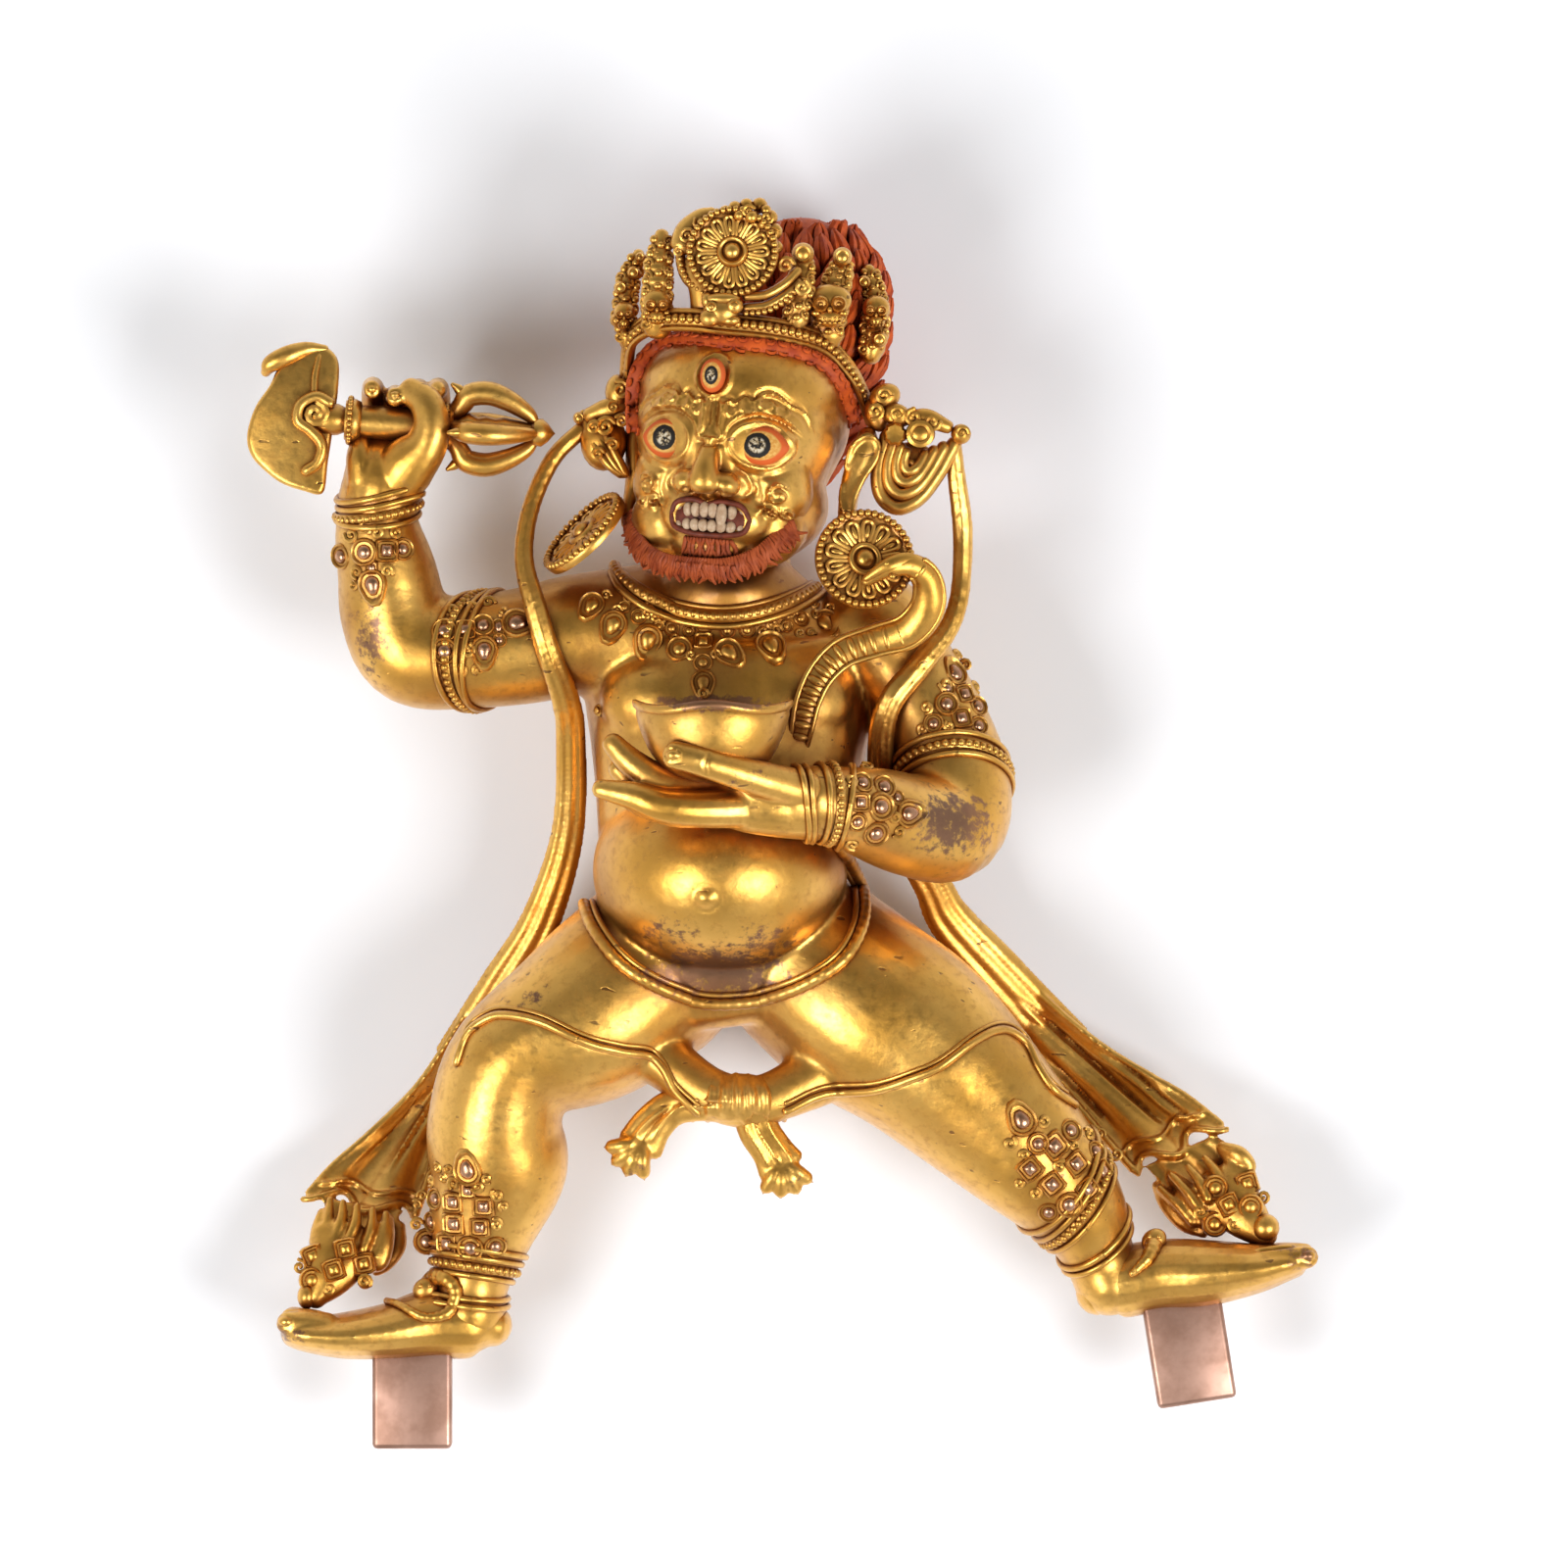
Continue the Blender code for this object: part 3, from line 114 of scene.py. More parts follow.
BENT_FOOT = (
    (-74.6, -128, 36, 5.6, 8), (-80, -127.2, 36.5, 9.2, 11), (-90, -127.4, 37, 9.1, 11.5),
    (-101, -129.4, 38, 7.3, 13), (-112.5, -130.5, 38.5, 6, 14), (-121, -130.2, 39, 4.8, 13.4),
    (-125, -129.6, 39, 4.2, 12.4),
)
STRAIGHT_FOOT = (
    (79.8, -120, 36, 5.6, 8), (85, -117.4, 36.5, 9, 11), (96.3, -115.1, 37, 9.2, 11.5),
    (107.5, -114.6, 38, 8.7, 13), (120, -113.4, 38.5, 6.6, 14), (127.5, -112, 39, 5, 13.4),
    (130, -111.6, 39, 4.4, 12.6),
)


# Shapes, each a small closed mesh

UP = Vector((0, 0, 1))

DOME_ANGLES = (80, 55, 28)

def at(x, y, z):
    return Matrix.Translation((x, y, z))


def tilted(normal):
    """The turn that brings the upright onto a normal."""
    return UP.rotation_difference(normal).to_matrix().to_4x4()


def smooth_curve(points, steps):
    """Points along a smooth curve that passes through every given point."""
    points = [tuple(point) for point in points]
    first = tuple(2 * a - b for a, b in zip(points[0], points[1]))
    last = tuple(2 * a - b for a, b in zip(points[-1], points[-2]))
    padded = [first] + points + [last]
    curve = []
    for index in range(1, len(padded) - 2):
        p0, p1, p2, p3 = padded[index - 1:index + 3]
        for step in range(steps):
            t = step / steps
            curve.append(tuple(
                0.5 * (2 * b + (c - a) * t + (2 * a - 5 * b + 4 * c - d) * t * t
                       + (3 * b - a - 3 * c + d) * t ** 3)
                for a, b, c, d in zip(p0, p1, p2, p3)))
    curve.append(points[-1])
    return curve


def station_matrix(centre, along, facing, half_width, half_depth):
    across = along.cross(facing).normalized()
    up = across.cross(along).normalized()
    matrix = Matrix.Identity(4)
    for row in range(3):
        matrix[row][0] = across[row] * half_width
        matrix[row][1] = up[row] * half_depth
        matrix[row][2] = along[row]
        matrix[row][3] = centre[row]
    return matrix


def loft_matrices(stations, steps, facing, rounding):
    """One matrix for each ring of a loft, with rings that close each end as a dome."""
    curve = smooth_curve(stations, steps)
    centres = [Vector(point[:3]) for point in curve]
    matrices = []
    for index, point in enumerate(curve):
        before = centres[max(index - 1, 0)]
        after = centres[min(index + 1, len(centres) - 1)]
        along = (after - before).normalized()
        matrices.append(station_matrix(centres[index], along, facing, point[3], point[4]))
    dome = [math.radians(angle) for angle in DOME_ANGLES]
    for end, sign in ((0, -1), (-1, 1)):
        along = (centres[1] - centres[0]) if end == 0 else (centres[-1] - centres[-2])
        along.normalize()
        _, _, _, wide, deep = curve[end]
        reach = min(wide, deep) * rounding
        rings = [station_matrix(centres[end] + along * sign * reach * math.sin(angle), along,
                                facing, wide * math.cos(angle), deep * math.cos(angle))
                 for angle in dome]
        if end == 0:
            matrices = rings + matrices
        else:
            matrices += rings[::-1]
    return matrices


def swept(matrices, sides):
    """One outline drawn through the matrices in turn and closed at both ends."""
    shape = bmesh.new()
    bmesh.ops.create_circle(shape, cap_ends=False, segments=sides, radius=1.0, matrix=matrices[0])
    edges = shape.edges[:]
    for before, after in zip(matrices, matrices[1:]):
        grown = bmesh.ops.extrude_edge_only(shape, edges=edges)["geom"]
        verts = {item for item in grown if isinstance(item, bmesh.types.BMVert)}
        edges = [item for item in grown if isinstance(item, bmesh.types.BMEdge)
                 and item.verts[0] in verts and item.verts[1] in verts]
        bmesh.ops.transform(shape, matrix=after @ before.inverted(), verts=list(verts))
    bmesh.ops.holes_fill(shape, edges=[edge for edge in shape.edges if edge.is_boundary], sides=0)
    bmesh.ops.recalc_face_normals(shape, faces=shape.faces[:])
    return shape


def loft(stations, sides=10, steps=LOFT_STEPS, facing=UP, rounding=0.9):
    """A limb, ribbon or lock: one outline swept through its stations."""
    return swept(loft_matrices(stations, steps, Vector(facing), rounding), sides)


def strip(line, wide, deep, sides=8, facing=UP):
    """A band of one width along a line that is smooth already."""
    return loft([(*spot, wide, deep) for spot in line], sides, steps=1, facing=facing)


def cord(points, radius, sides=8, **options):
    """A round strand of one radius through the points."""
    return loft([(*point, radius, radius) for point in points], sides, **options)


def ball(centre, radii, turn=0.0, detail=3):
    """An egg shape, turned in the picture plane."""
    shape = bmesh.new()
    place = (Matrix.Translation(Vector(centre)) @ Matrix.Rotation(turn, 4, "Z")
             @ Matrix.Diagonal((*radii, 1.0)))
    bmesh.ops.create_icosphere(shape, subdivisions=detail, radius=1.0, matrix=place)
    return shape


def balls(*rows):
    """Egg shapes from rows of centre, radii and perhaps a turn."""
    return [ball(row[:3], row[3:6], *row[6:]) for row in rows]


def moved(shape, matrix):
    bmesh.ops.transform(shape, matrix=matrix, verts=shape.verts[:])
    return shape


def shape_mesh(name, shape):
    mesh = bpy.data.meshes.new(name)
    shape.to_mesh(mesh)
    shape.free()
    return mesh


class Casting:
    """Shapes that the caster's mould holds as one, gathered in one mesh."""

    def __init__(self):
        self.shapes = bmesh.new()

    def join(self, mesh):
        self.shapes.from_mesh(mesh)
        bpy.data.meshes.remove(mesh)

    def take(self, *shapes):
        for shape in shapes:
            self.join(shape_mesh("shape", shape))

    def mesh(self, name):
        return shape_mesh(name, self.shapes)


def mixed(point_a, point_b, share):
    return tuple(a + (b - a) * share for a, b in zip(point_a, point_b))


# Limbs, hands and feet

def body(casting):
    """Trunk and limbs, with the belly hanging over the thighs and the cloth drawn between them."""
    casting.take(loft(TORSO, sides=32, rounding=0.3))
    for stations in (RAISED_ARM, CUP_ARM, BENT_LEG, STRAIGHT_LEG):
        casting.take(loft(stations, sides=28))
    casting.take(ball((-16.3, -11.4, 49), (32.6, 27.4, 35.4), detail=4))
    casting.take(*balls((-30, 32, 56, 17, 13, 12.4), (1, 32, 56, 17, 13, 12.4),
                        (-35, -38, 25, 24, 24, 24.8), (12, -38, 25, 23, 23, 24.8)))
    swathe = (
        (-52, -44, 38, 11, 12), (-40, -53, 45, 9, 10), (-29, -61, 51, 7, 7.4), (-19, -68, 54.6, 6.6, 6.4),
        (-9, -70.6, 55, 6.8, 6), (0, -68, 54, 6.8, 6.4), (11, -62, 50.4, 8.4, 8), (24, -56.4, 44, 11, 11),
    )
    casting.take(loft(swathe, sides=24))


def foot(casting, stations, toe_tips, toe_roots):
    """A foot with the big toe nearest the viewer and four smaller behind it."""
    casting.take(loft(stations, sides=20))
    for index in range(5):
        tip, root = (Vector(mixed(*ends, index / 4)) for ends in (toe_tips, toe_roots))
        thick = 3.7 if index == 0 else 2.5
        if index:
            tip.y += 1.6
            root.y += 1.2
        middle = (root + tip) / 2 + Vector((0, 0.5, 0))
        toe = (
            (*root, thick * 1.2, thick * 1.2), (*middle, thick, thick * 1.05),
            (*tip, thick * 0.82, thick * 0.86),
        )
        casting.take(loft(toe, sides=14, rounding=1.0))


def feet(casting):
    foot(casting, BENT_FOOT, ((-126.6, -127.0, 48), (-126.0, -127.0, 29)),
         ((-117, -128.6, 46), (-116, -129.6, 29)))
    foot(casting, STRAIGHT_FOOT, ((133.4, -110.2, 48), (132.4, -110.6, 29)),
         ((122, -112.0, 46), (121, -112.0, 29)))


def cup_hand(casting):
    """The open hand below the cup: a broad palm, the thumb in front and curled fingers behind."""
    palm = (
        (15, 5.4, 81, 9.8, 9.4), (8, 5.6, 86, 9.4, 8.4), (-1, 6, 90, 9, 7.4), (-10, 6.6, 91, 8.2, 6.6),
        (-18, 7.2, 90, 6, 5.6),
    )
    casting.take(loft(palm, sides=20))
    fingers = (
        (((-15, 9, 90), (-25, 9.6, 92), (-31.8, 11.6, 93), (-38.4, 16, 93.4), (-43.4, 21, 93)),
         (4.8, 4.6, 4.3, 3.7, 2.8)), (((-8, 4.8, 92), (-20, 4.4, 96), (-30, 5, 98), (-38, 7.6, 98),
          (-46.4, 9.4, 96.6)), (5.4, 5, 4.5, 3.7, 2.5)), (((-14, 8, 86), (-28, 8.8, 84), (-38, 12, 83.6),
          (-42, 14.6, 84)), (4.8, 4.6, 3.9, 2.8)), (((-12, 5.4, 88), (-26, 4.2, 89), (-36, 6.4, 90),
          (-41, 9, 90)), (5, 4.8, 4, 2.8)),
    )
    for points, radii in fingers:
        limb = [(*point, radius, radius * 0.92) for point, radius in zip(points, radii)]
        casting.take(loft(limb, sides=14))
    thumb = (
        (6, 8.6, 92, 5.4, 5), (-5, 11.6, 98.4, 4.7, 4.4), (-14.5, 14.4, 103, 4.2, 3.8),
        (-22, 16.6, 105.2, 3.8, 3.2), (-28, 18, 105.8, 3.6, 2.8),
    )
    casting.take(loft(thumb, sides=16))
    casting.take(ball((2, 6.4, 90), (9.0, 8.6, 7.0)))


def raised_hand(casting):
    """The fist round the handle: palm behind, the thumb's broad root in front, tips over the top."""
    wrist = (
        (-103.4, 82, 52, 10.6, 10.6), (-102.4, 88, 53.4, 10, 9.6), (-101.4, 93, 51, 10, 8.2),
        (-101, 99, 47.4, 10, 5.6), (-100.4, 105, 45.4, 9, 4.4),
    )
    casting.take(loft(wrist, sides=20))
    root = (
        (-99.6, 86.4, 56, 6.8, 6.4), (-95.8, 91.6, 59, 7.4, 6.2), (-91.2, 96.6, 61.4, 5.6, 5.2),
        (-89.6, 102.4, 62.8, 4.7, 4.2), (-91.2, 107.6, 62.4, 4.3, 3.6), (-95.4, 110.8, 60.4, 3.5, 3),
    )
    casting.take(loft(root, sides=20))
    raised = ((-107, 88, 57, 4.6, 5), (-108, 94, 56.6, 3.6, 4.6), (-107.6, 98, 54, 2.6, 3.6))
    casting.take(loft(raised, sides=12))
    for x, top, front in (
        (-104.8, 111.6, 60), (-99, 109.6, 61.6), (-93.2, 111.2, 60), (-88.2, 111.4, 58.6),
    ):
        finger = (
            (x, 101, 45.4, 3, 3.2), (x, 107.6, 46.8, 2.9, 3.2), (x, top, 52, 2.8, 2.9),
            (x, top - 0.6, front, 2.5, 2.3),
        )
        casting.take(loft(finger, sides=12, facing=(1, 0, 0)))
        casting.take(ball((x, top - 0.4, front + 1.2), (1.7, 1.5, 1.0), detail=2))


# Height up the body, then the middle x and z, half width and half depth of the hair
HAIR_RINGS = (
    (80, -9, 42, 13, 15), (90, -8, 38, 19, 23), (102, -4, 36, 23, 29), (114, -1, 34.5, 24.5, 31),
    (126, 2.6, 34, 23, 31), (136, 4, 34, 22, 29.6), (145, 4.4, 33.6, 18.6, 26), (152, 4.6, 33, 12.6, 19),
)
# Each tier of locks: where it starts, how many locks, and how many degrees it goes round
HAIR_TOP = 153.5

LOCK_TIERS = (
    (76, 12, 205), (83, 13, 205), (90, 14, 205), (97, 15, 205), (104, 17, 215), (111, 20, 300),
    (118, 27, 360), (125, 28, 360), (131, 26, 360), (137, 24, 360), (142, 19, 360), (146, 12, 360),
)
LOCK_RADIUS = 3.2


def hair_seat(height, around, out):
    """A place on the hair: around is measured from the floor side, out is how far it stands off."""
    rings = HAIR_RINGS
    below = max((ring for ring in rings if ring[0] <= height), default=rings[0], key=lambda ring: ring[0])
    above = min((ring for ring in rings if ring[0] > height), default=rings[-1], key=lambda ring: ring[0])
    span = above[0] - below[0]
    share = (height - below[0]) / span if span else 0.0
    _, x, z, wide, deep = mixed(below, above, share)
    return Vector((x + (wide + out) * math.sin(around), height,
                   max(z - (deep + out) * math.cos(around), LOCK_RADIUS)))


CROWN_BAND = (
    (-39.8, 105.6, 50), (-40, 117, 58), (-38.4, 124.6, 66), (-31.5, 128.2, 73.4), (-23, 128.4, 78),
    (-15, 127.4, 79.5), (-2, 126, 77.5), (9.4, 123, 71.5), (15.4, 117.6, 66), (19.4, 111.6, 61),
    (22.4, 103.5, 54),
)


LEFT_SCARF = (
    (-51, 101.5, 51, 2.2, 2.2), (-59, 93.4, 52, 2.3, 2.2), (-64.6, 80.6, 55, 2.4, 2.2),
    (-66.2, 68.1, 59, 2.6, 2.2), (-63.5, 56.6, 62, 3, 2.2), (-60, 44.4, 61.5, 3.2, 2.2),
    (-55.6, 31.9, 55, 3.8, 2.2), (-54.4, 21.4, 47, 4, 2.2), (-55.4, -1.9, 36, 4.4, 2.2),
    (-62.4, -24.4, 27, 5.4, 2.2), (-72.5, -41.9, 19, 6.4, 2.2), (-84, -61, 9.5, 7, 2),
)
RIGHT_SCARF = (
    (43.4, 98, 59.6, 1.8, 1.8), (43.8, 90, 58, 2.4, 2.2), (45.4, 77, 55.6, 2.7, 2.2),
    (45.4, 66, 55, 2.6, 2.2), (44.4, 57, 56, 2.6, 2.2), (41.4, 49.4, 57.6, 2.8, 2.2),
    (35, 41.4, 60, 3.3, 2.2), (26.6, 30.6, 60.5, 3.4, 2.2), (24.6, 18, 54, 3.6, 2.2), (27, 3, 43, 4.2, 2.2),
    (37.5, -14.4, 33, 5, 2.2), (42.4, -24, 28, 6, 2.2), (54.5, -37.4, 22, 6.8, 2.2),
    (73, -57.4, 11.5, 7.4, 2),
)


# Skins: shapes melted into one, and the chisel that cuts them

def placed(name, mesh):
    thing = bpy.data.objects.new(name, mesh)
    bpy.context.collection.objects.link(thing)
    return thing


def applied(thing, name):
    """The mesh that an object's modifiers make."""
    graph = bpy.context.evaluated_depsgraph_get()
    mesh = bpy.data.meshes.new_from_object(thing.evaluated_get(graph))
    mesh.name = name
    bpy.data.objects.remove(thing, do_unlink=True)
    return mesh


def melted(casting, grain, smoothing, name):
    thing = placed(name, casting.mesh(name))
    melt = thing.modifiers.new("melt", "REMESH")
    melt.mode = "VOXEL"
    melt.voxel_size = grain
    soften = thing.modifiers.new("soften", "SMOOTH")
    soften.factor = 0.5
    soften.iterations = smoothing
    return applied(thing, name)


def thinned(mesh, triangles, name):
    mesh.calc_loop_triangles()
    thing = placed(name, mesh)
    thin = thing.modifiers.new("thin", "DECIMATE")
    thin.ratio = min(1.0, triangles / len(mesh.loop_triangles))
    return applied(thing, name)


def tree_of(*meshes):
    shape = bmesh.new()
    for mesh in meshes:
        shape.from_mesh(mesh)
    tree = BVHTree.FromBMesh(shape)
    shape.free()
    return tree


def laid(tree, points, steps=6, lift=0.0, frame=Matrix.Identity(4), high=150):
    """A smooth line of a frame's plane, laid on a skin from that high above it."""
    down = (frame.to_3x3() @ -UP).normalized()
    line = []
    for x, y in smooth_curve(points, steps):
        hit, normal, _, _ = tree.ray_cast(frame @ Vector((x, y, high)), down)
        if hit is not None:
            line.append(hit + normal * lift)
    return line


def points_of(mesh):
    spots = np.empty(len(mesh.vertices) * 3, np.float32)
    mesh.vertices.foreach_get("co", spots)
    return spots.reshape(-1, 3)


def seen_from(frame, spots):
    """Points given in a frame of their own."""
    turn = np.array(frame.inverted())
    return spots @ turn[:3, :3].T + turn[:3, 3]


class Relief:
    """A skin whose points are pushed along their own normals by strokes of a chisel.

    Strokes are drawn in the frame's own plane and laid on the skin along its depth.
    """

    def __init__(self, mesh, frame=Matrix.Identity(4)):
        self.mesh = mesh
        self.frame = frame
        self.read()

    def read(self):
        self.spots = points_of(self.mesh)
        normals = np.empty(self.spots.size, np.float32)
        self.mesh.vertex_normals.foreach_get("vector", normals)
        self.normals = normals.reshape(-1, 3)
        self.tree = tree_of(self.mesh)
        self.push = np.zeros(len(self.spots), np.float32)

    def drape(self, points, steps=6):
        return laid(self.tree, points, steps, frame=self.frame)

    def near(self, line, reach):
        """The skin points within reach of a line, with their distance, side and share along it."""
        path = np.array([tuple(spot) for spot in line])
        inside = (self.spots > path.min(0) - reach) & (self.spots < path.max(0) + reach)
        picked = np.flatnonzero(inside.all(1))
        spots, normals = self.spots[picked], self.normals[picked]
        best = np.full(len(picked), 1e9)
        side, share = np.zeros(len(picked)), np.zeros(len(picked))
        for index, (start, stop) in enumerate(zip(path, path[1:])):
            span = stop - start
            along = np.clip((spots - start) @ span / max(span @ span, 1e-9), 0, 1)
            gap = spots - (start + along[:, None] * span)
            far = np.linalg.norm(gap, axis=1)
            closer = far < best
            best[closer] = far[closer]
            side[closer] = np.sign((np.cross(span, gap) * normals).sum(1))[closer]
            share[closer] = ((index + along) / (len(path) - 1))[closer]
        keep = best < reach
        return picked[keep], best[keep], side[keep], share[keep]

    def stroke(self, points, width, height, taper=0.15, steps=6):
        """A ridge, or a groove where the height is below nought."""
        line = self.drape(points, steps)
        if len(line) < 2:
            return
        picked, far, _, share = self.near(line, width * 2.4)
        ends = np.clip(np.minimum(share, 1 - share) / taper, 0, 1) if taper else 1.0
        self.push[picked] += height * np.exp(-(far / width) ** 2) * ends

    def ledge(self, points, width, height, fade, taper=0.1):
        """An edge of cloth: the skin on the line's left stands higher and sinks back with distance."""
        picked, far, side, share = self.near(self.drape(points), fade * 2)
        ends = np.clip(np.minimum(share, 1 - share) / taper, 0, 1)
        step = 0.5 + 0.5 * np.tanh(side * far / width)
        self.push[picked] += height * step * np.exp(-(far / fade) ** 2) * ends

    def press(self):
        self.spots = self.spots + self.normals * self.push[:, None]
        self.mesh.vertices.foreach_set("co", self.spots.astype(np.float32).ravel())
        self.mesh.update()
        self.read()


# Ornament shapes

def evenly(line, pitch):
    """Places at one pitch along a line."""
    path = np.array([tuple(spot) for spot in line])
    runs = np.concatenate(([0.0], np.cumsum(np.linalg.norm(np.diff(path, axis=0), axis=1))))
    count = max(int(round(runs[-1] / pitch)), 1) + 1
    marks = np.linspace(0, runs[-1], count)
    return [Vector([np.interp(mark, runs, path[:, axis]) for axis in range(3)]) for mark in marks]


def bead_row(casting, line, radius, facing=(0, 0, 1), squash=0.86):
    """Beads pressed together on a string."""
    spots = evenly(line, radius * 1.62)
    for index, spot in enumerate(spots):
        along = spots[min(index + 1, len(spots) - 1)] - spots[max(index - 1, 0)]
        place = station_matrix(spot, along.normalized(), Vector(facing), radius, radius)
        shape = bmesh.new()
        bmesh.ops.create_uvsphere(shape, u_segments=8, v_segments=5, radius=1.0,
                                  matrix=place @ Matrix.Diagonal((1, 1, radius * squash, 1)))
        casting.take(shape)


def lathe(profile, place, sides=18, warp=None):
    """A turned piece about its own Z from pairs of radius and height, closed at the middle."""
    shape = bmesh.new()
    verts = [shape.verts.new((radius, 0, height)) for radius, height in profile]
    edges = [shape.edges.new(pair) for pair in zip(verts, verts[1:])]
    bmesh.ops.spin(shape, geom=verts + edges, cent=(0, 0, 0), axis=(0, 0, 1), angle=math.tau,
                   steps=sides, use_merge=True, use_duplicate=False)
    bmesh.ops.remove_doubles(shape, verts=shape.verts[:], dist=1e-4)
    if warp:
        for vert in shape.verts:
            swell = warp(math.atan2(vert.co.x, vert.co.y))
            vert.co.x *= swell
            vert.co.y *= swell
    bmesh.ops.recalc_face_normals(shape, faces=shape.faces[:])
    return moved(shape, place)


def drop_warp(turn):
    return 1 + 0.6 * max(0.0, math.cos(turn)) ** 5


def square_warp(turn):
    return 0.84 / max(abs(math.cos(turn)), abs(math.sin(turn)))


WARPS = {"round": None, "drop": drop_warp, "square": square_warp}
SETTING = (
    (0, -0.7), (1.12, -0.7), (1.16, -0.1), (1.08, 0.2), (0.98, 0.3), (0.88, 0.22), (0.8, 0.06), (0.7, 0.05),
    (0, 0.05),
)
STONE = ((0, -0.4), (0.58, -0.4), (0.6, 0.08), (0.5, 0.28), (0.3, 0.4), (0, 0.45))


def scaled(profile, size):
    return [(radius * size, height * size) for radius, height in profile]


def spiral(radius, turns, hand=1, start=0.0):
    """Points of a curl in its own plane, from the outside in."""
    count = int(10 * turns)
    points = []
    for index in range(count + 1):
        share = index / count
        around = start + hand * math.tau * turns * share
        reach = radius * (1 - 0.82 * share)
        points.append((reach * math.cos(around), reach * math.sin(around)))
    return points


class Ground:
    """The finished skins below the jewels, and the places on them."""

    def __init__(self, *meshes):
        self.tree = tree_of(*meshes)

    def seat(self, x, y, turn=0.0):
        hit, normal, _, _ = self.tree.ray_cast(Vector((x, y, 200)), -UP)
        if hit is None:
            hit, normal = Vector((x, y, 40)), UP
        up = UP.lerp(normal, 0.7).normalized()
        return Matrix.Translation(hit) @ tilted(up) @ Matrix.Rotation(turn, 4, "Z")

    def lay(self, points, lift=0.0):
        """A smooth line of the picture laid on the metal."""
        return laid(self.tree, points, lift=lift, high=200)


def jewel(gold, stones, place, size, kind="round"):
    """A gem setting: a gilt rim and a cabochon in it."""
    gold.take(lathe(scaled(SETTING, size), place, warp=WARPS[kind]))
    stones.take(lathe(scaled(STONE, size), place, sides=14, warp=WARPS[kind]))


def curl(casting, place, radius, turns=1.25, hand=1, start=0.0, thick=0.5):
    line = [place @ Vector((x, y, 0.2)) for x, y in spiral(radius, turns, hand, start)]
    casting.take(cord(line, thick, sides=6, steps=1, facing=place.to_3x3() @ UP))


def curls_at(casting, *rows):
    """Curls from rows of place, radius, turns, hand, start and thickness."""
    for x, y, z, *form in rows:
        curl(casting, at(x, y, z), *form)


def ribbed(stations, pitch, depth, sides=12):
    """A limb with rings cut round it at one pitch."""
    curve = smooth_curve(stations, 12)
    runs = [0.0]
    for before, after in zip(curve, curve[1:]):
        runs.append(runs[-1] + math.dist(before[:3], after[:3]))
    count = int(runs[-1] / pitch * 4)
    table = np.array(curve)
    rings = []
    for step in range(count + 1):
        spot = [float(np.interp(runs[-1] * step / count, runs, table[:, axis])) for axis in range(5)]
        cut = 1 - depth * (1, 0.35, 0, 0.35)[step % 4]
        rings.append((*spot[:3], spot[3] * cut, spot[4] * cut))
    return loft(rings, sides=sides, steps=1)


# Head: shapes and strokes in its own frame, turned to the viewer's left and leaning

HEAD = (Matrix.Translation((-11.6, 95, 57)) @ Matrix.Rotation(math.radians(-5), 4, "Z")
        @ Matrix.Rotation(math.radians(-14), 4, "Y"))
EYE = (12.4, 1.6, 22.4)
MOUTH = (0.6, -17.4)


def head_shapes():
    casting, local = Casting(), Casting()
    local.take(*(ball(centre, radii, detail=4) for centre, radii in (
        ((0, 7, -3), (27, 29, 30)), ((0, 3, 3), (26.6, 27, 27.4)), ((0, 15, 1.5), (26, 17.5, 26.5)),
        ((0, -10, 1), (25.4, 19.5, 26)))))
    local.take(*balls((0, -23, 17, 11.5, 7.6, 9.4), (MOUTH[0], -16.6, 19.6, 15, 9, 9),
                      (-12, -18.5, 9.5, 12, 11.5, 13.5), (9.6, -15.8, 8.6, 12.6, 13.4, 14)))
    for side in (-1, 1):
        local.take(*balls((side * 13, -7.4, 13, 12, 11.4, 11.6),
                          (side * EYE[0], EYE[1], EYE[2] - 2.2, 8.8, 7.6, 6),
                          (side * 5.6, -9, 30.2, 4, 3.2, 4.2)))
        brow = ((2.6, 7.6, 27.6), (7, 10.4, 26.6), (13, 10.8, 23.8), (18.6, 8.2, 19.4), (21.6, 3.6, 14.6))
        local.take(cord([(side * x, y, z) for x, y, z in brow], 2.2))
    nose = (
        (0, 9, 24.6, 3, 2.6), (0, 4, 27, 2.3, 3), (0, -1, 29.8, 2.6, 3.4), (0, -5.4, 32.4, 3.6, 4),
        (0, -8.8, 32.8, 4.7, 4.2),
    )
    local.take(loft(nose, sides=16, rounding=0.8))
    shapes = local.mesh("face_shapes")
    shapes.transform(HEAD)
    casting.join(shapes)
    ears = (
        ((21.4, 99.2, 60, 2.6, 3.4), (21.4, 95, 61, 4.2, 3.4), (20.8, 90, 61.6, 3.8, 3.2),
         (19, 85, 62, 2.8, 2.8), (17, 80, 62.4, 2.5, 2.4), (15.4, 74.4, 62.4, 2.2, 2)),
        ((-39, 100, 49, 2.6, 4.5), (-40.2, 93, 50, 2.8, 4.5), (-39.6, 85, 52, 2.2, 3),
         (-40, 77, 54, 1.8, 2.2)),
    )
    casting.take(*(loft(stations, sides=12) for stations in ears))
    casting.take(ball((-23.4, 110.5, 52), (15.6, 15.2, 19), detail=4))
    helix = (
        (17.6, 91, 63.6), (17.8, 96.2, 64.2), (21.2, 99.4, 64), (24.6, 97, 63.6), (24.8, 92, 64),
        (22.4, 87, 64.4), (19.6, 82.6, 64.6), (17.4, 78.4, 64.6), (15.8, 81.4, 64.2), (17.2, 86.4, 64),
    )
    casting.take(cord(helix, 0.85))
    neck = ((-14, 78, 40, 15, 14), (-14.5, 64, 38, 17, 14), (-14.5, 54, 40, 22, 15))
    casting.take(loft(neck, sides=24))
    return casting


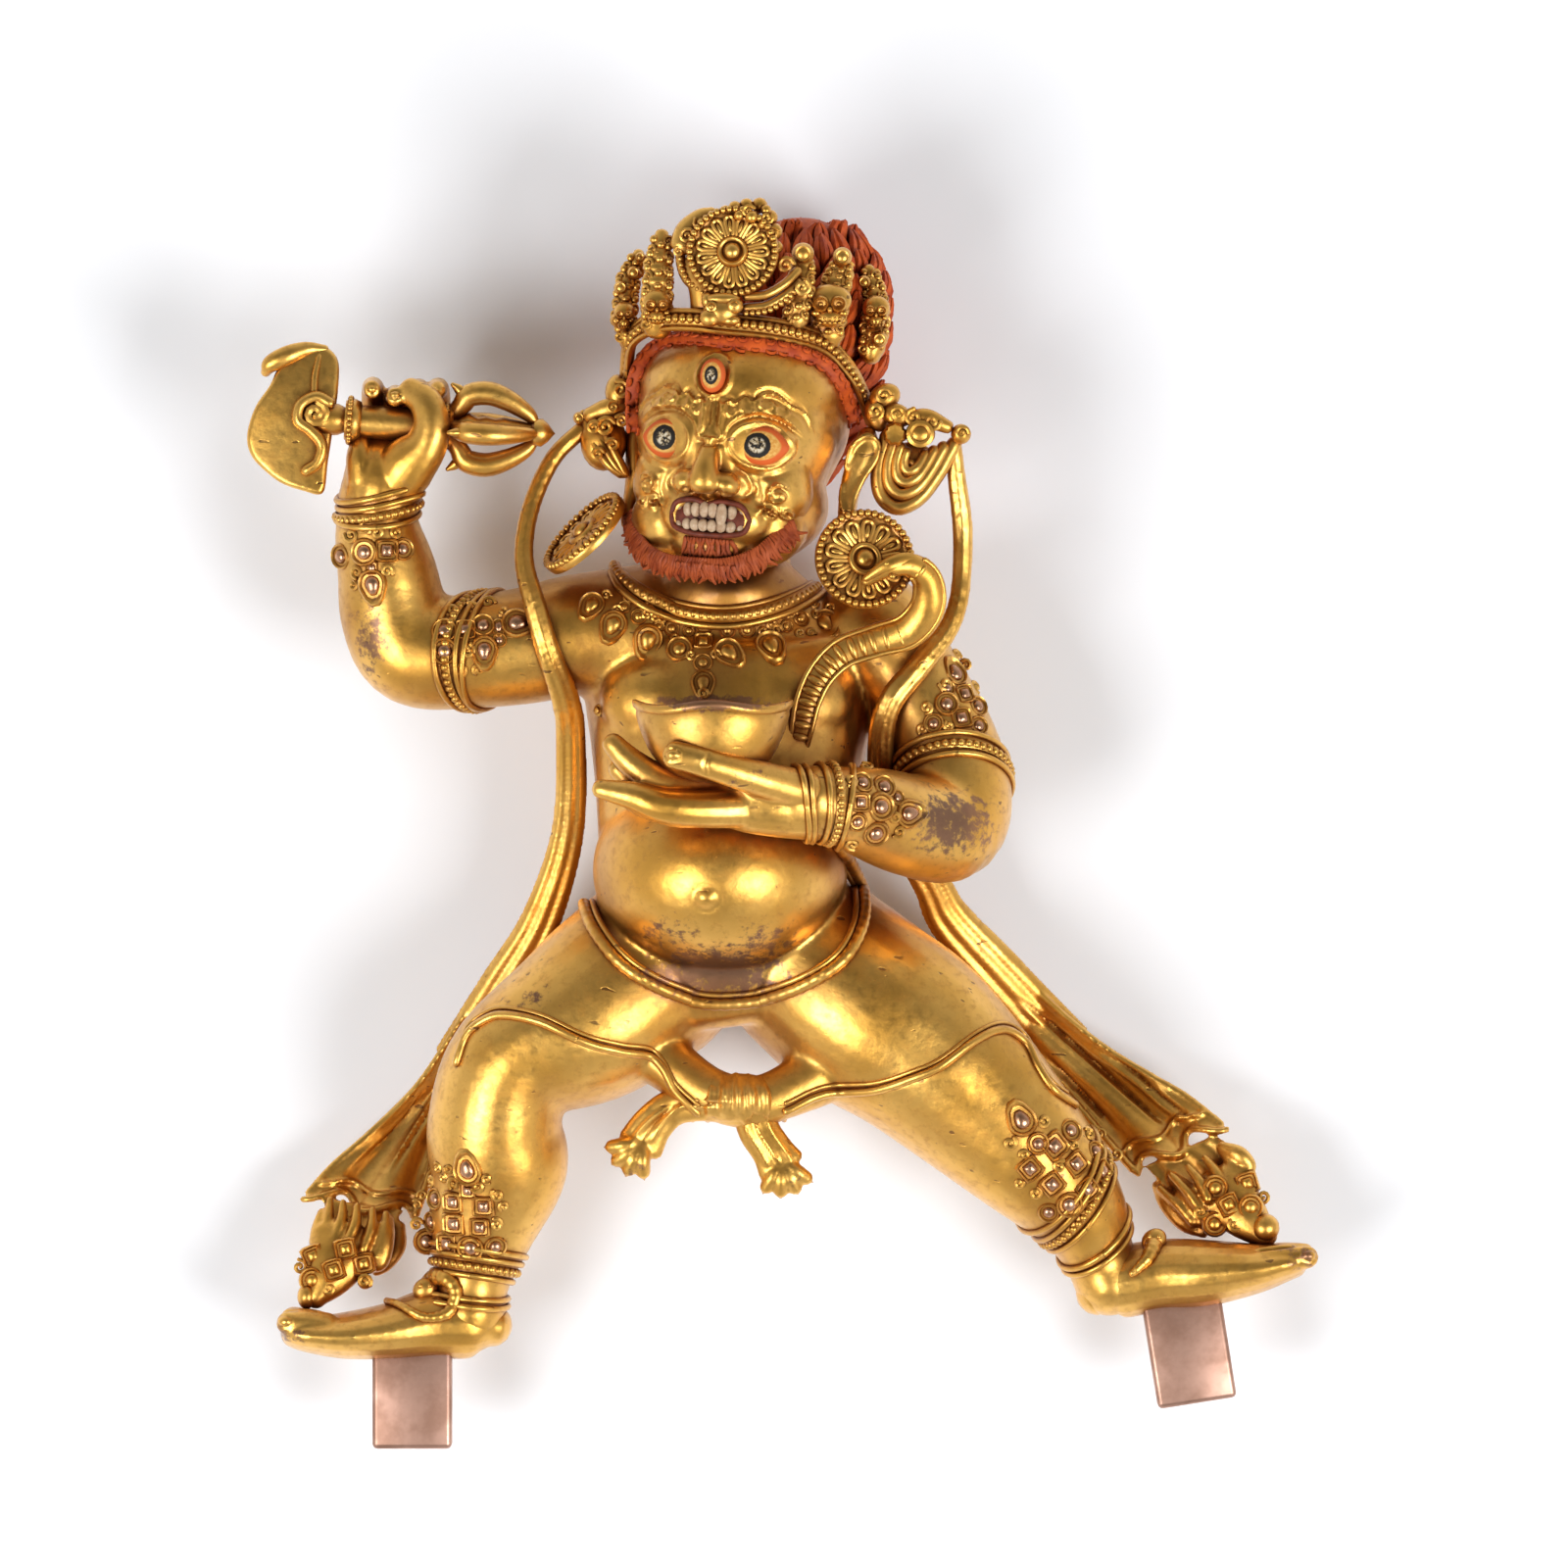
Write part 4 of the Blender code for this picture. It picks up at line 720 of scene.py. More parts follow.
def pinched(x, pinch):
    """How high an eye still is at a share of its width; pinch draws one corner to a point."""
    return 1 - abs(pinch) * max(0.0, x * math.copysign(1, pinch)) ** 3 if pinch else 1


def around(centre, radii, count=16, pinch=0.0):
    """A closed line round an eye, a nail or the navel."""
    points = []
    for index in range(count + 1):
        turn = math.tau * index / count
        x, y = math.cos(turn), math.sin(turn)
        points.append((centre[0] + radii[0] * x, centre[1] + radii[1] * y * pinched(x, pinch)))
    return points


# Strokes on both halves of the face: points, width, height and taper
FACE_STROKES = (
    (((1.5, 13), (2.3, 9), (2.4, 5), (3.6, 2.2)), 0.7, 0.85, 0.15),
    (((0.525, 13), (0.805, 9.5), (0.84, 4.5)), 0.5, -0.6, 0.15),
    (((6.2, -4.2), (9.6, -6.6), (10.8, -10), (8, -12.4)), 0.8, -0.9, 0.15),
    (((9.4, -4.6), (12.6, -8), (13.8, -13), (13.8, -18.6)), 1.1, -0.5, 0.15),
    (((2.2, -11.6), (4.2, -11.3), (5.4, -10.8)), 0.8, -1.3, 0.3),
    (((12.2, -15.8), (14, -12.6), (16, -10.4)), 0.45, 0.7, 0.15),
)


# Each with a groove beside it: points, width, height, taper, then shift, width and depth of the groove
FACE_FOLDS = (
    (((3.4, 1.1), (4.8, 6.8), (10.4, 10), (16.8, 9), (22, 4.8)), 0.55, 0.65, 0.15, -1.1, 0.6, -0.5),
    (((1.8, 9.4), (3.4, 12), (5.4, 11.4), (7.4, 13.2), (9.6, 12.2), (11.4, 14.4), (14.4, 14.6),
      (17.6, 12.2), (21, 10.4), (23.4, 5.4)), 0.45, 0.7, 0.08, 1, 0.55, -0.45),
)


HOOK = ((-1.9, 1.8), (-1.7, -0.4), (0.1, -1.3), (1.3, -0.1), (0.5, 0.8))

CHEEK_CURLS = ((17, -10.4, 2.9, 0.4, 1), (15, -15.2, 2, 3.4, -1), (18.8, -14.8, 1.6, 2.2, 1))

def carve_face(relief):
    local = seen_from(HEAD, relief.spots)
    mouth = np.abs((local[:, 0] - MOUTH[0]) / 9.6) ** 3 + np.abs((local[:, 1] - MOUTH[1]) / 3.8) ** 3
    front = local[:, 2] > 15
    relief.push[front] -= 2.6 * np.exp(-np.maximum(mouth[front] - 0.55, 0) * 3.0)
    for side in (-1, 1):
        wide, pinch = (7.0, 0.35) if side > 0 else (6.2, 0.3)
        rim = around((side * EYE[0], EYE[1]), (wide + 0.6, 5.7), count=24, pinch=side * pinch)
        relief.stroke(rim, 0.55, 0.5, taper=0)
        under = ((4.4, -1.8), (9, -5.6), (15.8, -5.8), (21.2, -2.6))
        relief.stroke([(side * x, y) for x, y in under], 0.7, -0.35)
        for points, width, height, taper in FACE_STROKES:
            relief.stroke([(side * x, y) for x, y in points], width, height, taper)
        for points, width, height, taper, shift, groove, depth in FACE_FOLDS:
            relief.stroke([(side * x, y) for x, y in points], width, height, taper)
            relief.stroke([(side * x, y + shift) for x, y in points], groove, depth, taper)
        for x, y, size in ((4.6, 9.8, 0.9), (8.8, 10.8, 1), (12.8, 12.2, 1), (16.6, 10.6, 0.9)):
            line = [(side * (x + dx * size), y + dy * size) for dx, dy in HOOK]
            relief.stroke(line, 0.42, 0.6, taper=0.05)
        for x, y, radius, start, spin in CHEEK_CURLS:
            relief.stroke([(side * (x + dx), y + dy) for dx, dy in spiral(radius, 1.4, spin, start)],
                          0.45, 0.85, taper=0.05, steps=2)
    for height, middle, depth in ((1.4, 0.7, -0.6), (2.8, 2, 0.6)):
        relief.stroke([(-3.4, height), (0, middle), (3.4, height)], 0.55, depth)
    relief.stroke(around((-1.2, 18.3), (4.4, 5.3)), 0.6, 0.8, taper=0)
    relief.stroke([(-6, -24), (0, -24.9), (7, -24)], 1.2, -0.6)
    relief.stroke([(-0.2, -11.8), (0.2, -13.2)], 0.8, -0.6)
    relief.press()


def slimmed(mesh):
    """Draws the cheeks in a little below the eyes."""
    turn = HEAD.inverted()
    for vert in mesh.vertices:
        spot = turn @ vert.co
        spot.x *= 1 - 0.08 * math.exp(-((spot.y + 5) / 8) ** 2)
        vert.co = HEAD @ spot
    return mesh


def lip_line(upper):
    rise = ((-10.2, 0.2), (-8.9, 3.1), (-4.4, 4.2), (-0.6, 3.2), (3.2, 4.1), (8, 3.3), (10.4, 0))
    drop = ((-10.2, 0.2), (-9.2, -2.9), (-4.6, -4.3), (0, -4.5), (4.6, -4.3), (8.9, -3.2), (10.4, 0))
    return [(MOUTH[0] + x, MOUTH[1] + y) for x, y in (rise if upper else drop)]


def lips_and_teeth(relief):
    lips, teeth, gum = Casting(), Casting(), Casting()
    facing = HEAD.to_3x3() @ UP
    for upper in (True, False):
        line = relief.drape(lip_line(upper), steps=5)
        stations = []
        for index, spot in enumerate(line):
            share = math.sin(math.pi * index / (len(line) - 1)) ** 0.5
            stations.append((*(spot - facing * 0.1), 0.5 + 0.35 * share, 0.55 + 0.55 * share))
        lips.take(loft(stations, sides=10, steps=1, facing=facing))
        for index in range(8):
            x = (index - 3.5) * 2.24
            fang = upper and index == 5
            arch = (0.25 if upper else -0.1) * (x / 9) ** 2
            y = MOUTH[1] + (1.75 if upper else -2.2) - (1.0 if fang else 0) - arch
            tall = 2.9 if fang else (1.9 if upper else 1.45)
            depth = 27.6 - 0.05 * x * x + (0.5 if fang else 0)
            teeth.take(moved(ball((MOUTH[0] + x, y, depth), (1.42, tall * 1.12, 1.3)), HEAD))
    gum.take(moved(ball((*MOUTH, 23.6), (11.4, 5.4, 3.4)), HEAD))
    return lips, teeth, gum


def beard_strands(casting, relief):
    """Red strands along the jaw and a wavy tuft below the mouth."""
    facing = HEAD.to_3x3() @ UP
    jaw = (
        (-23, -17.4, 11), (-21.6, -22.4, 14.5), (-17.8, -27, 18.4), (-11.2, -29.8, 22.4), (-2.6, -30.4, 24),
        (6.2, -29.8, 23.6), (13.2, -26.4, 20.6), (17.8, -20.8, 16.6), (19.4, -17.6, 14.6),
    )
    for index, (x, y, z) in enumerate(smooth_curve(jaw, 11)):
        out = Vector((x * 0.66, y + 7, 0)).normalized()
        aside = Vector((-out.y, out.x, 0)) * (0.5 * math.sin(index * 1.3) + 0.4 * math.sin(index * 0.37))
        length = 1.0 + 0.16 * math.sin(index * 2.3)
        stations = []
        for reach, bend, lift, wide, deep in (
            (-2.2, 0, 2, 0.5, 0.6), (-0.4, 1, 1.9, 0.78, 1.1), (1.8 * length, -0.6, 0.8, 0.72, 1),
            (3.3 * length, 1.4, -0.9, 0.3, 0.4),
        ):
            spot = Vector((x, y, z + lift)) + out * reach + aside * bend
            stations.append((*(HEAD @ spot), wide, deep))
        casting.take(loft(stations, sides=6, steps=2, facing=facing))
    for index in range(15):
        x = MOUTH[0] - 6.8 + 0.97 * index
        bend = 0.75 * math.sin(index * 1.9)
        drawn = relief.drape([(x * 0.86, -23), (x * 0.92 + bend, -25.2), (x - bend, -27.6)], steps=3)
        ends = (HEAD @ Vector((x * 1.04 + bend * 0.4, -29.8, 26.8 - abs(x) * 0.1)),
                HEAD @ Vector((x * 1.1 + bend * 1.5, -32.2 + 0.8 * math.sin(index * 2.7),
                               25.4 - abs(x) * 0.2)))
        stations = [(*spot, 0.62, 0.9) for spot in drawn] + [(*ends[0], 0.62, 0.8), (*ends[1], 0.35, 0.4)]
        casting.take(loft(stations, sides=6, steps=2, facing=facing))


HAIRLINE = (
    (-37.2, 101), (-37.6, 107), (-37, 113.6), (-33.6, 119.8), (-28.4, 122.6), (-22, 122.8), (-14.2, 121.6),
    (-6, 120.9), (1.4, 119.8), (8.8, 117), (13.4, 112), (16, 105.4), (17.4, 98.6),
)


def hairline(casting, relief):
    """A red band of small curls below the crown."""
    base = laid(relief.tree, HAIRLINE)
    casting.take(strip(base, 3.0, 1.1, sides=10))
    for pitch, radius, shift in ((3.7, 1.75, -0.9), (3.1, 1.3, 1.4)):
        for index, spot in enumerate(evenly(base, pitch)):
            normal = relief.tree.find_nearest(spot)[1]
            outward = (spot - Vector((-11, 98, spot.z))).normalized()
            place = Matrix.Translation(spot + normal * 0.8 + outward * shift) @ tilted(normal)
            curl(casting, place, radius, 1.4, 1 if index % 2 else -1, start=index * 1.1, thick=0.42)


def hair_locks(casting):
    """Flame hair in tiers of striated locks, each with a tip that stands off."""
    core = [(x, height, z, wide - 3.4, deep - 3.8) for height, x, z, wide, deep in HAIR_RINGS]
    casting.take(loft(core, sides=32, rounding=0.35))
    for tier, (height, count, sweep) in enumerate(LOCK_TIERS):
        for index in range(count):
            share = (index + 0.5 * (tier % 2)) / count - 0.5
            turn = math.radians(sweep) * share
            sway = 0.07 * math.sin(index * 2.4 + tier)
            rise = height + 1.2 * math.sin(index * 3.7 + tier * 1.9)
            for strand in (-1, 0, 1):
                spread = strand * math.radians(sweep) / count * 0.27
                full = 0.0 if strand else 0.9
                stations = []
                for level, fan, bend, out, wide, deep in (
                    (rise, 1, 0, -3.4, 0.9, 1.2), (rise + 3.4, 1.15, 0, -1.2 + full, 1.2, 1.6),
                    (rise + 6.8, 0.9, 1, 0.7 + full, 1.1, 1.4),
                    (min(rise + 9.6, HAIR_TOP), 0.3, 1.6, 1.6 + full * 0.6, 0.4, 0.45),
                ):
                    stations.append((*hair_seat(level, turn + spread * fan + sway * bend, out), wide, deep))
                casting.take(loft(stations, sides=6, steps=2, facing=(0.15, 0, 1)))
    top_height, top_x, top_z, top_wide, top_deep = HAIR_RINGS[-1]
    for share, count in ((0.82, 13), (0.56, 9), (0.32, 6), (0.08, 2)):
        for index in range(count):
            turn = math.tau * (index + share) / count
            out = Vector((math.sin(turn), 0, -math.cos(turn)))
            for strand in (-1, 0, 1):
                aside = Vector((math.cos(turn), 0, math.sin(turn))) * 1.9 * strand
                x = top_x + top_wide * share * out.x
                z = top_z + top_deep * share * out.z
                crest = top_height + 3.6 - 2.2 * share - 0.8 * abs(strand)
                root = Vector((x, top_height - 5, z)) + aside - out
                bend = Vector((x, crest - 2, z)) + aside + out * 0.8
                tip = Vector((x, crest, z)) + aside * 0.4 + out * 0.4
                stations = ((*root, 1, 1), (*bend, 1.4, 1.5), (*tip, 0.4, 0.4))
                casting.take(loft(stations, sides=6, steps=3, facing=out))


# Crown and ear ornaments

LEAVES = (
    (((-32, 126, 71.6, 4.4, 3.4), (-32.2, 133, 72, 4.4, 3.8), (-31.8, 141, 71, 4, 3.2),
      (-31, 150, 70, 2.2, 2)), 0), (((-39.6, 123, 62, 2.8, 4), (-40.4, 130, 61.4, 3.2, 3.6),
      (-39.6, 138, 60, 3.2, 3), (-37, 145.4, 60, 1.6, 1.8)), 0.2), (((22, 120, 58, 3.4, 4),
      (23.2, 127, 57, 4, 4), (22.8, 135, 55, 3.6, 3), (21.6, 141.6, 53, 1.6, 1.8)), 0.2),
    (((11, 123, 69, 4.2, 3), (11.6, 131, 70, 5.2, 3.6), (13.4, 138, 68.4, 4.2, 3),
      (14.7, 142.6, 67, 2.6, 2.4)), 0), (((2.6, 127, 73.6, 3.4, 3), (4, 134, 74.4, 3.8, 3),
      (4.8, 142.6, 73, 3.2, 2.6)), 0),
)


def leaf(gold, stations, twist):
    """A crown leaf: a tapering core with curls and buds up both edges."""
    gold.take(ribbed(stations, 3.4, 0.16, sides=14))
    for index, (x, y, z, wide, deep) in enumerate(smooth_curve(stations, 5)[1:-1]):
        side = 1 if index % 2 else -1
        place = at(x + side * wide * 0.62, y, z + deep * 0.62) @ Matrix.Rotation(side * 0.5 + twist, 4, "Y")
        curl(gold, place, 1.5, 1.25, side, index, 0.45)
        gold.take(ball((x - side * wide * 0.7, y + 0.6, z + deep * 0.55), (1.15, 1.2, 1.1), detail=2))
        if index % 2:
            gold.take(ball((x, y - 0.8, z + deep * 0.96), (1.2, 0.9, 0.8), detail=2))


def crown_piece(gold):
    band = [Vector(spot) for spot in smooth_curve(CROWN_BAND, 8)]
    for rise, drop, wide, deep in ((-2.3, 0.6, 0.95, 1.5), (-0.4, 0.8, 1.9, 1.6), (1.9, 0.8, 0.9, 1.4)):
        gold.take(strip([spot + Vector((0, rise, -drop)) for spot in band], wide, deep, sides=10))
    bead_row(gold, [spot + Vector((0, 0, 0.9)) for spot in band], 1.25)
    medallion(gold, Vector((-13, 145.4, 79)), Vector((-0.10, 0.12, 1)), 11.4, 15)
    for line in (
        ((-22, 145.8, 76.6), (-22.6, 140.4, 76.4), (-19.6, 135.8, 77.4)), ((-25.8, 148.4, 75.4),
         (-26.2, 143.4, 75.4), (-24.6, 138.6, 76), (-20.6, 135.2, 77)),
    ):
        path = [Vector(spot) for spot in smooth_curve(line, 8)]
        bead_row(gold, path, 1.0)
        gold.take(cord([spot - Vector((0, 0, 0.8)) for spot in path], 1.3, steps=1))
    back = ((-18, 127, 74, 6, 3), (-19, 134, 75, 5, 3), (-18, 141, 75, 7.6, 2.4), (-15, 150, 74, 7, 2.4))
    gold.take(loft(back, sides=14))
    # The small face that bites the band below the disc
    gold.take(*balls(
        (-16, 130.2, 80.4, 4.6, 3.6, 3), (-18.8, 128.6, 81.6, 2.6, 2.4, 2.2),
        (-12.6, 131.6, 81.6, 2.3, 2.2, 2),
        (-15.4, 133.4, 81.4, 4.4, 1.6, 1.8), (-13.4, 128, 81, 2.4, 1.5, 1.8),
        (-19.4, 133, 80.6, 1.6, 2, 1.6)))
    eye_ring = ((0, -0.4), (1.3, -0.4), (1.35, 0.2), (0.9, 0.4), (0.7, 0.1), (0, 0.5))
    for x, y in ((-12.6, 131.8), (-18.4, 131.4)):
        gold.take(lathe(eye_ring, at(x, y, 83.2), sides=14))
    pile = (
        (-12.4, 156.6, 77, 1.8), (-9.5, 157.2, 76.4, 1.9), (-6.2, 157.2, 76, 2.1), (-3.6, 154.2, 75, 2.1),
        (-8.2, 154.2, 79.6, 1.7), (-2.6, 150.6, 76, 2.3), (-5.2, 152.4, 78.8, 1.6), (-11.4, 154.6, 79, 1.4),
        (-2, 146.6, 76, 1.8), (-4.6, 156, 78, 1.4), (-14.8, 156, 77, 1.3),
    )
    for x, y, z, radius in pile:
        gold.take(ball((x, y, z), (radius,) * 3, detail=2))
    bud = (
        (-25.6, 147, 74.6, 3.4, 2.4), (-24, 150.6, 74.4, 3.6, 2.4), (-21, 154, 74, 2.6, 2),
        (-18.4, 155.4, 73.6, 1.6, 1.6),
    )
    gold.take(loft(bud, sides=12))
    # Two beaded swags to the right of the disc, with curling ends
    for shift, size in ((0, 1.2), (-2.9, 1.3)):
        swag = [(x, y + shift, z - abs(shift) * 0.2) for x, y, z in
                ((-9.6, 134, 79.6), (-4.4, 134.6, 80), (0.4, 137.4, 79.2), (3.4, 140.6, 77.6))]
        gold.take(cord(swag, size))
    bead_row(gold, [Vector((x, y - 1.3, z + 0.9)) for x, y, z in smooth_curve(swag, 8)], 0.95)
    curls_at(
        gold, (-9, 155.6, 79.4, 1.7, 1.3, 1, 0.5, 0.5), (-4.4, 154, 79.4, 1.7, 1.3, -1, 0.5, 0.5),
        (-2.8, 150, 79.4, 1.7, 1.3, 1, 0.5, 0.5), (-24.6, 149.4, 77, 2.1, 1.3, 1, 0.6, 0.5),
        (-21, 152.8, 76.4, 1.9, 1.3, 1, 2.6, 0.5), (-26.6, 145.6, 76, 1.4, 1.3, 1, 1.2, 0.5),
        (4.6, 136.4, 79.4, 2.1, 1.4, -1, 1.0, 0.65), (0.4, 142, 77.4, 2.2, 1.4, 1, 0.2, 0.6))
    for stations, twist in LEAVES:
        leaf(gold, stations, twist)
    for x, y, z, wide, tall in (
        (11.6, 131.8, 74, 5.6, 5.4), (-32.2, 131.6, 73.6, 4, 4.6), (23.4, 130.6, 60.5, 3.6, 4.2),
        (-40.6, 129.6, 64, 2.8, 3.6),
    ):
        skull(gold, Vector((x, y, z)), wide, tall)
    for x, y, z, radius in (
        (-42.4, 128.6, 64, 1.9), (-41.5, 136.8, 63, 1.8), (-38.2, 140.6, 63, 1.7), (24.3, 123.6, 62, 2.1),
        (4.8, 145, 74, 2.9), (14.8, 144.4, 69.2, 2.5), (20.4, 138.4, 57.6, 1.7), (-36.6, 144.6, 62, 1.3),
    ):
        knob(gold, (x, y, z), radius)


def knob(gold, spot, radius):
    """A round bud with a ring on its face."""
    gold.take(ball(spot, (radius,) * 3))
    ring = ((0, -0.3), (0.72, -0.3), (0.8, 0.12), (0.66, 0.3), (0.5, 0.26), (0.42, 0.1), (0, 0.34))
    place = Matrix.Translation(Vector(spot) + Vector((0, 0, radius * 0.62)))
    gold.take(lathe(scaled(ring, radius), place, sides=16))


def skull(gold, centre, wide, tall):
    """A small skull with ringed eyes, cheekbones, a nose and a row of teeth."""
    def part(x, y, z, half_wide, half_tall, deep, fine=3):
        spot = centre + Vector((x * wide, y * tall, z))
        return ball(spot, (wide * half_wide, tall * half_tall, deep), detail=fine)

    gold.take(part(0, 0.25, 0, 1, 0.78, 3.2), part(0, -0.52, 0.8, 0.66, 0.50, 2.6))
    ring = ((0, -0.5), (0.36, -0.5), (0.38, 0.1), (0.3, 0.18), (0.22, 0.02), (0.12, -0.02), (0, 0.16))
    for side in (-1, 1):
        socket = Matrix.Translation(centre + Vector((side * wide * 0.40, 0.08 * tall, 2.9)))
        gold.take(lathe(scaled(ring, wide), socket, sides=16))
        gold.take(part(side * 0.62, -0.34, 1.9, 0.24, 0.17, 1.2, 2))
    gold.take(part(0, -0.20, 3.3, 0.13, 0.16, 0.9, 2))
    for row in (-0.60, -0.80):
        for place in (-2, -1, 0, 1, 2):
            gold.take(part(place * 0.22, row, 3.0 - 0.12 * place ** 2, 0.115, 0.10, 0.6, 1))


def medallion(gold, centre, normal, radius, petals):
    """A flower disc: beaded rim, raised rings, framed petals and a boss."""
    place = Matrix.Translation(centre) @ tilted(normal.normalized())
    plate = (
        (0, -1.6), (1, -1.6), (1.03, -0.2), (1, 0.45), (0.9, 0.5), (0.86, 0), (0.82, -0.15), (0.36, 0.25),
        (0.33, 1.3), (0.29, 1.6), (0.24, 1.4), (0.21, 0.7), (0, 0.6),
    )
    gold.take(lathe([(share * radius, height) for share, height in plate], place, sides=48))
    rim = around((0, 0), (radius * 0.95, radius * 0.95), count=60)
    bead_row(gold, [place @ Vector((x, y, 0.9)) for x, y in rim], radius * 0.088)
    frame_line = (
        (0.37, -0.62), (0.55, -0.78), (0.7, -0.74), (0.79, -0.36), (0.79, 0.36), (0.7, 0.74), (0.55, 0.78),
        (0.37, 0.62),
    )
    for index in range(petals):
        turn = place @ Matrix.Rotation(math.tau * index / petals, 4, "Z")
        loop = []
        for reach, side in frame_line:
            angle = math.pi / petals * side * 0.92
            spot = Vector((math.cos(angle) * reach * radius, math.sin(angle) * reach * radius, 0.35))
            loop.append(turn @ spot)
        gold.take(cord(loop, 0.045 * radius, sides=6, steps=2, facing=place.to_3x3() @ UP))
        pad = ball((radius * 0.57, 0, 0.1), (radius * 0.17, radius * 0.055 * 15 / petals, 0.75), detail=2)
        gold.take(moved(pad, turn))
    gold.take(moved(ball((0, 0, 1.2), (radius * 0.185, radius * 0.185, 1.7)), place))


def ear_piece(gold):
    """Scrolling ribbons, a shell and knobs beside each ear."""
    gold.take(*balls(
        (-46, 98, 52, 6, 7.6, 4.4), (-42.4, 110.4, 55, 3.2, 4.6, 3.6), (25.6, 109, 61.4, 4.2, 3.4, 3, 0.5),
        (28.6, 104.4, 62.6, 4, 3, 2.8, -0.4), (23.6, 104.6, 60.6, 3, 4.6, 2.4, 0.3),
        (34.6, 99.6, 63.6, 3.9, 3.3, 2.6),
        (45, 99.6, 61.6, 2.6, 2.6, 2.6), (32.6, 90.6, 60.4, 6.6, 7.2, 1.6)))
    for index, shift in enumerate((0.0, 2.0, 4.0)):
        ribbon = (
            (-51 + shift, 105 - shift * 0.4, 52 + index), (-48.6 + shift, 98, 54.6 + index * 0.6),
            (-45 + shift * 0.8, 92.4, 56), (-41.6 + shift * 0.3, 89.6, 55.6),
        )
        gold.take(cord(ribbon, 1.25))
    curls_at(
        gold, (-45.4, 101.6, 57, 2.6, 1.5, 1, 0.4, 0.7), (-41.6, 111, 58.4, 2.4, 1.5, -1, 2.0, 0.7),
        (-43.4, 106.6, 57.4, 1.8, 1.3, 1, 1.0, 0.6), (45.2, 99.8, 63.8, 1.9, 1.3, 1, 0.0, 0.5),
        (31.4, 90.4, 62.6, 2.6, 1.4, -1, 2.4, 0.7))
    for x, y, hand in ((-48.4, 101.4, 1), (-43.6, 97, -1), (-47.4, 94.6, 1), (-41.4, 103, -1)):
        curl(gold, at(x, y, 57.2), 1.7, 1.3, hand, y, 0.6)
    for x, y, hand in (
        (25.4, 109.2, 1), (29, 104.6, -1), (23.2, 105.4, 1), (33, 103.8, 1), (37.6, 102.6, -1),
    ):
        curl(gold, at(x, y, 64.6), 2.2, 1.4, hand, x, 0.65)
    gold.take(loft(((-49.6, 104.6, 54, 2, 1.8), (-44.6, 106.4, 56, 2.6, 2), (-40.8, 107, 56, 1.6, 1.6))))
    gold.take(loft(((30.6, 103.4, 62, 1.6, 1.6), (36, 103.6, 63, 2.6, 2), (41.6, 101.4, 62.4, 1.8, 1.6))))
    knob(gold, (-52.2, 103.9, 52.6), 1.6)
    gold.take(lathe(((0, -1), (2.9, -1), (3.0, 0.2), (2.2, 1.0), (0.0, 0.7)), at(28.2, 99.6, 64.4),
                    sides=24, warp=lambda turn: 1 + 0.09 * math.cos(9 * turn)))
    gold.take(lathe(((2.0, 0.0), (3.4, 0.0), (3.5, 0.8), (2.7, 1.2), (2.0, 0.8), (2.0, 0.0)),
                    at(34.6, 99.6, 65.2), sides=20))
    middle = (33.0, 93.6)
    for shrink, lift, thick in ((1, 0, 2), (0.74, 0.8, 1.8), (0.5, 1.4, 1.6), (0.28, 1.8, 1.4)):
        ring = [(*mixed(middle, (x, y), shrink), z + lift) for x, y, z in
                ((26.3, 99, 61.4), (24.1, 91, 61.4), (24.7, 84.2, 61.4), (28.8, 80.9, 61.4),
                 (34.4, 83.4, 61.4),
                 (39.4, 90, 60.6), (43.4, 97.2, 60))]
        gold.take(cord(ring, thick))


# Scarf, snakes and cloth

def sheet(edge_a, edge_b, folds, height, ruffle=0.0, thick=1.6, phase=0.0):
    """Hanging cloth between two edges: long folds that deepen towards a ruffled hem."""
    curves = [np.array(smooth_curve(edge, 8)) for edge in (edge_a, edge_b)]

    def spot(across, down):
        ends = [Vector([float(np.interp(down * (len(curve) - 1), range(len(curve)), curve[:, axis]))
                        for axis in range(3)]) for curve in curves]
        wave = math.sin(math.tau * folds * across + phase)
        place = ends[0].lerp(ends[1], across)
        fall = (Vector(curves[0][-1]) - Vector(curves[0][-9])).normalized()
        place += fall * ruffle * down ** 6 * math.sin(math.tau * folds * across + phase + 1.1)
        place.z += height * (0.25 + 0.75 * down ** 1.5) * math.copysign(abs(wave) ** 0.8, wave)
        return place

    shape = bmesh.new()
    bmesh.ops.create_grid(shape, x_segments=72, y_segments=40, size=1.0)
    for vert in shape.verts:
        vert.co = spot((vert.co.x + 1) / 2, (vert.co.y + 1) / 2)
    bmesh.ops.solidify(shape, geom=shape.faces[:], thickness=thick)
    bmesh.ops.recalc_face_normals(shape, faces=shape.faces[:])
    hems = [cord([spot(step / 48, down) + Vector((0, 0, 0.8)) for step in range(49)], radius, steps=1)
            for down, radius in ((1.0, 0.95), (0.90, 0.55))]
    return [shape] + hems


def ribbon_folds(casting, stations, folds):
    """A scarf that hangs as several soft rolls side by side."""
    casting.take(loft([(x, y, z, wide, deep * 0.72) for x, y, z, wide, deep in stations], sides=14))
    spots = [Vector(station[:3]) for station in stations]
    for fold in range(folds):
        share = (fold + 0.5) / folds * 2 - 1
        line = []
        for index, station in enumerate(stations):
            along = spots[min(index + 1, len(spots) - 1)] - spots[max(index - 1, 0)]
            across = along.normalized().cross(UP).normalized()
            wide, deep = station[3], station[4]
            spot = spots[index] + across * wide * share * 0.8 + Vector((0, 0, 0.5 + 0.4 * (fold % 2)))
            line.append((*spot, wide / folds * 0.95, deep * 0.62))
        casting.take(loft(line, sides=8))


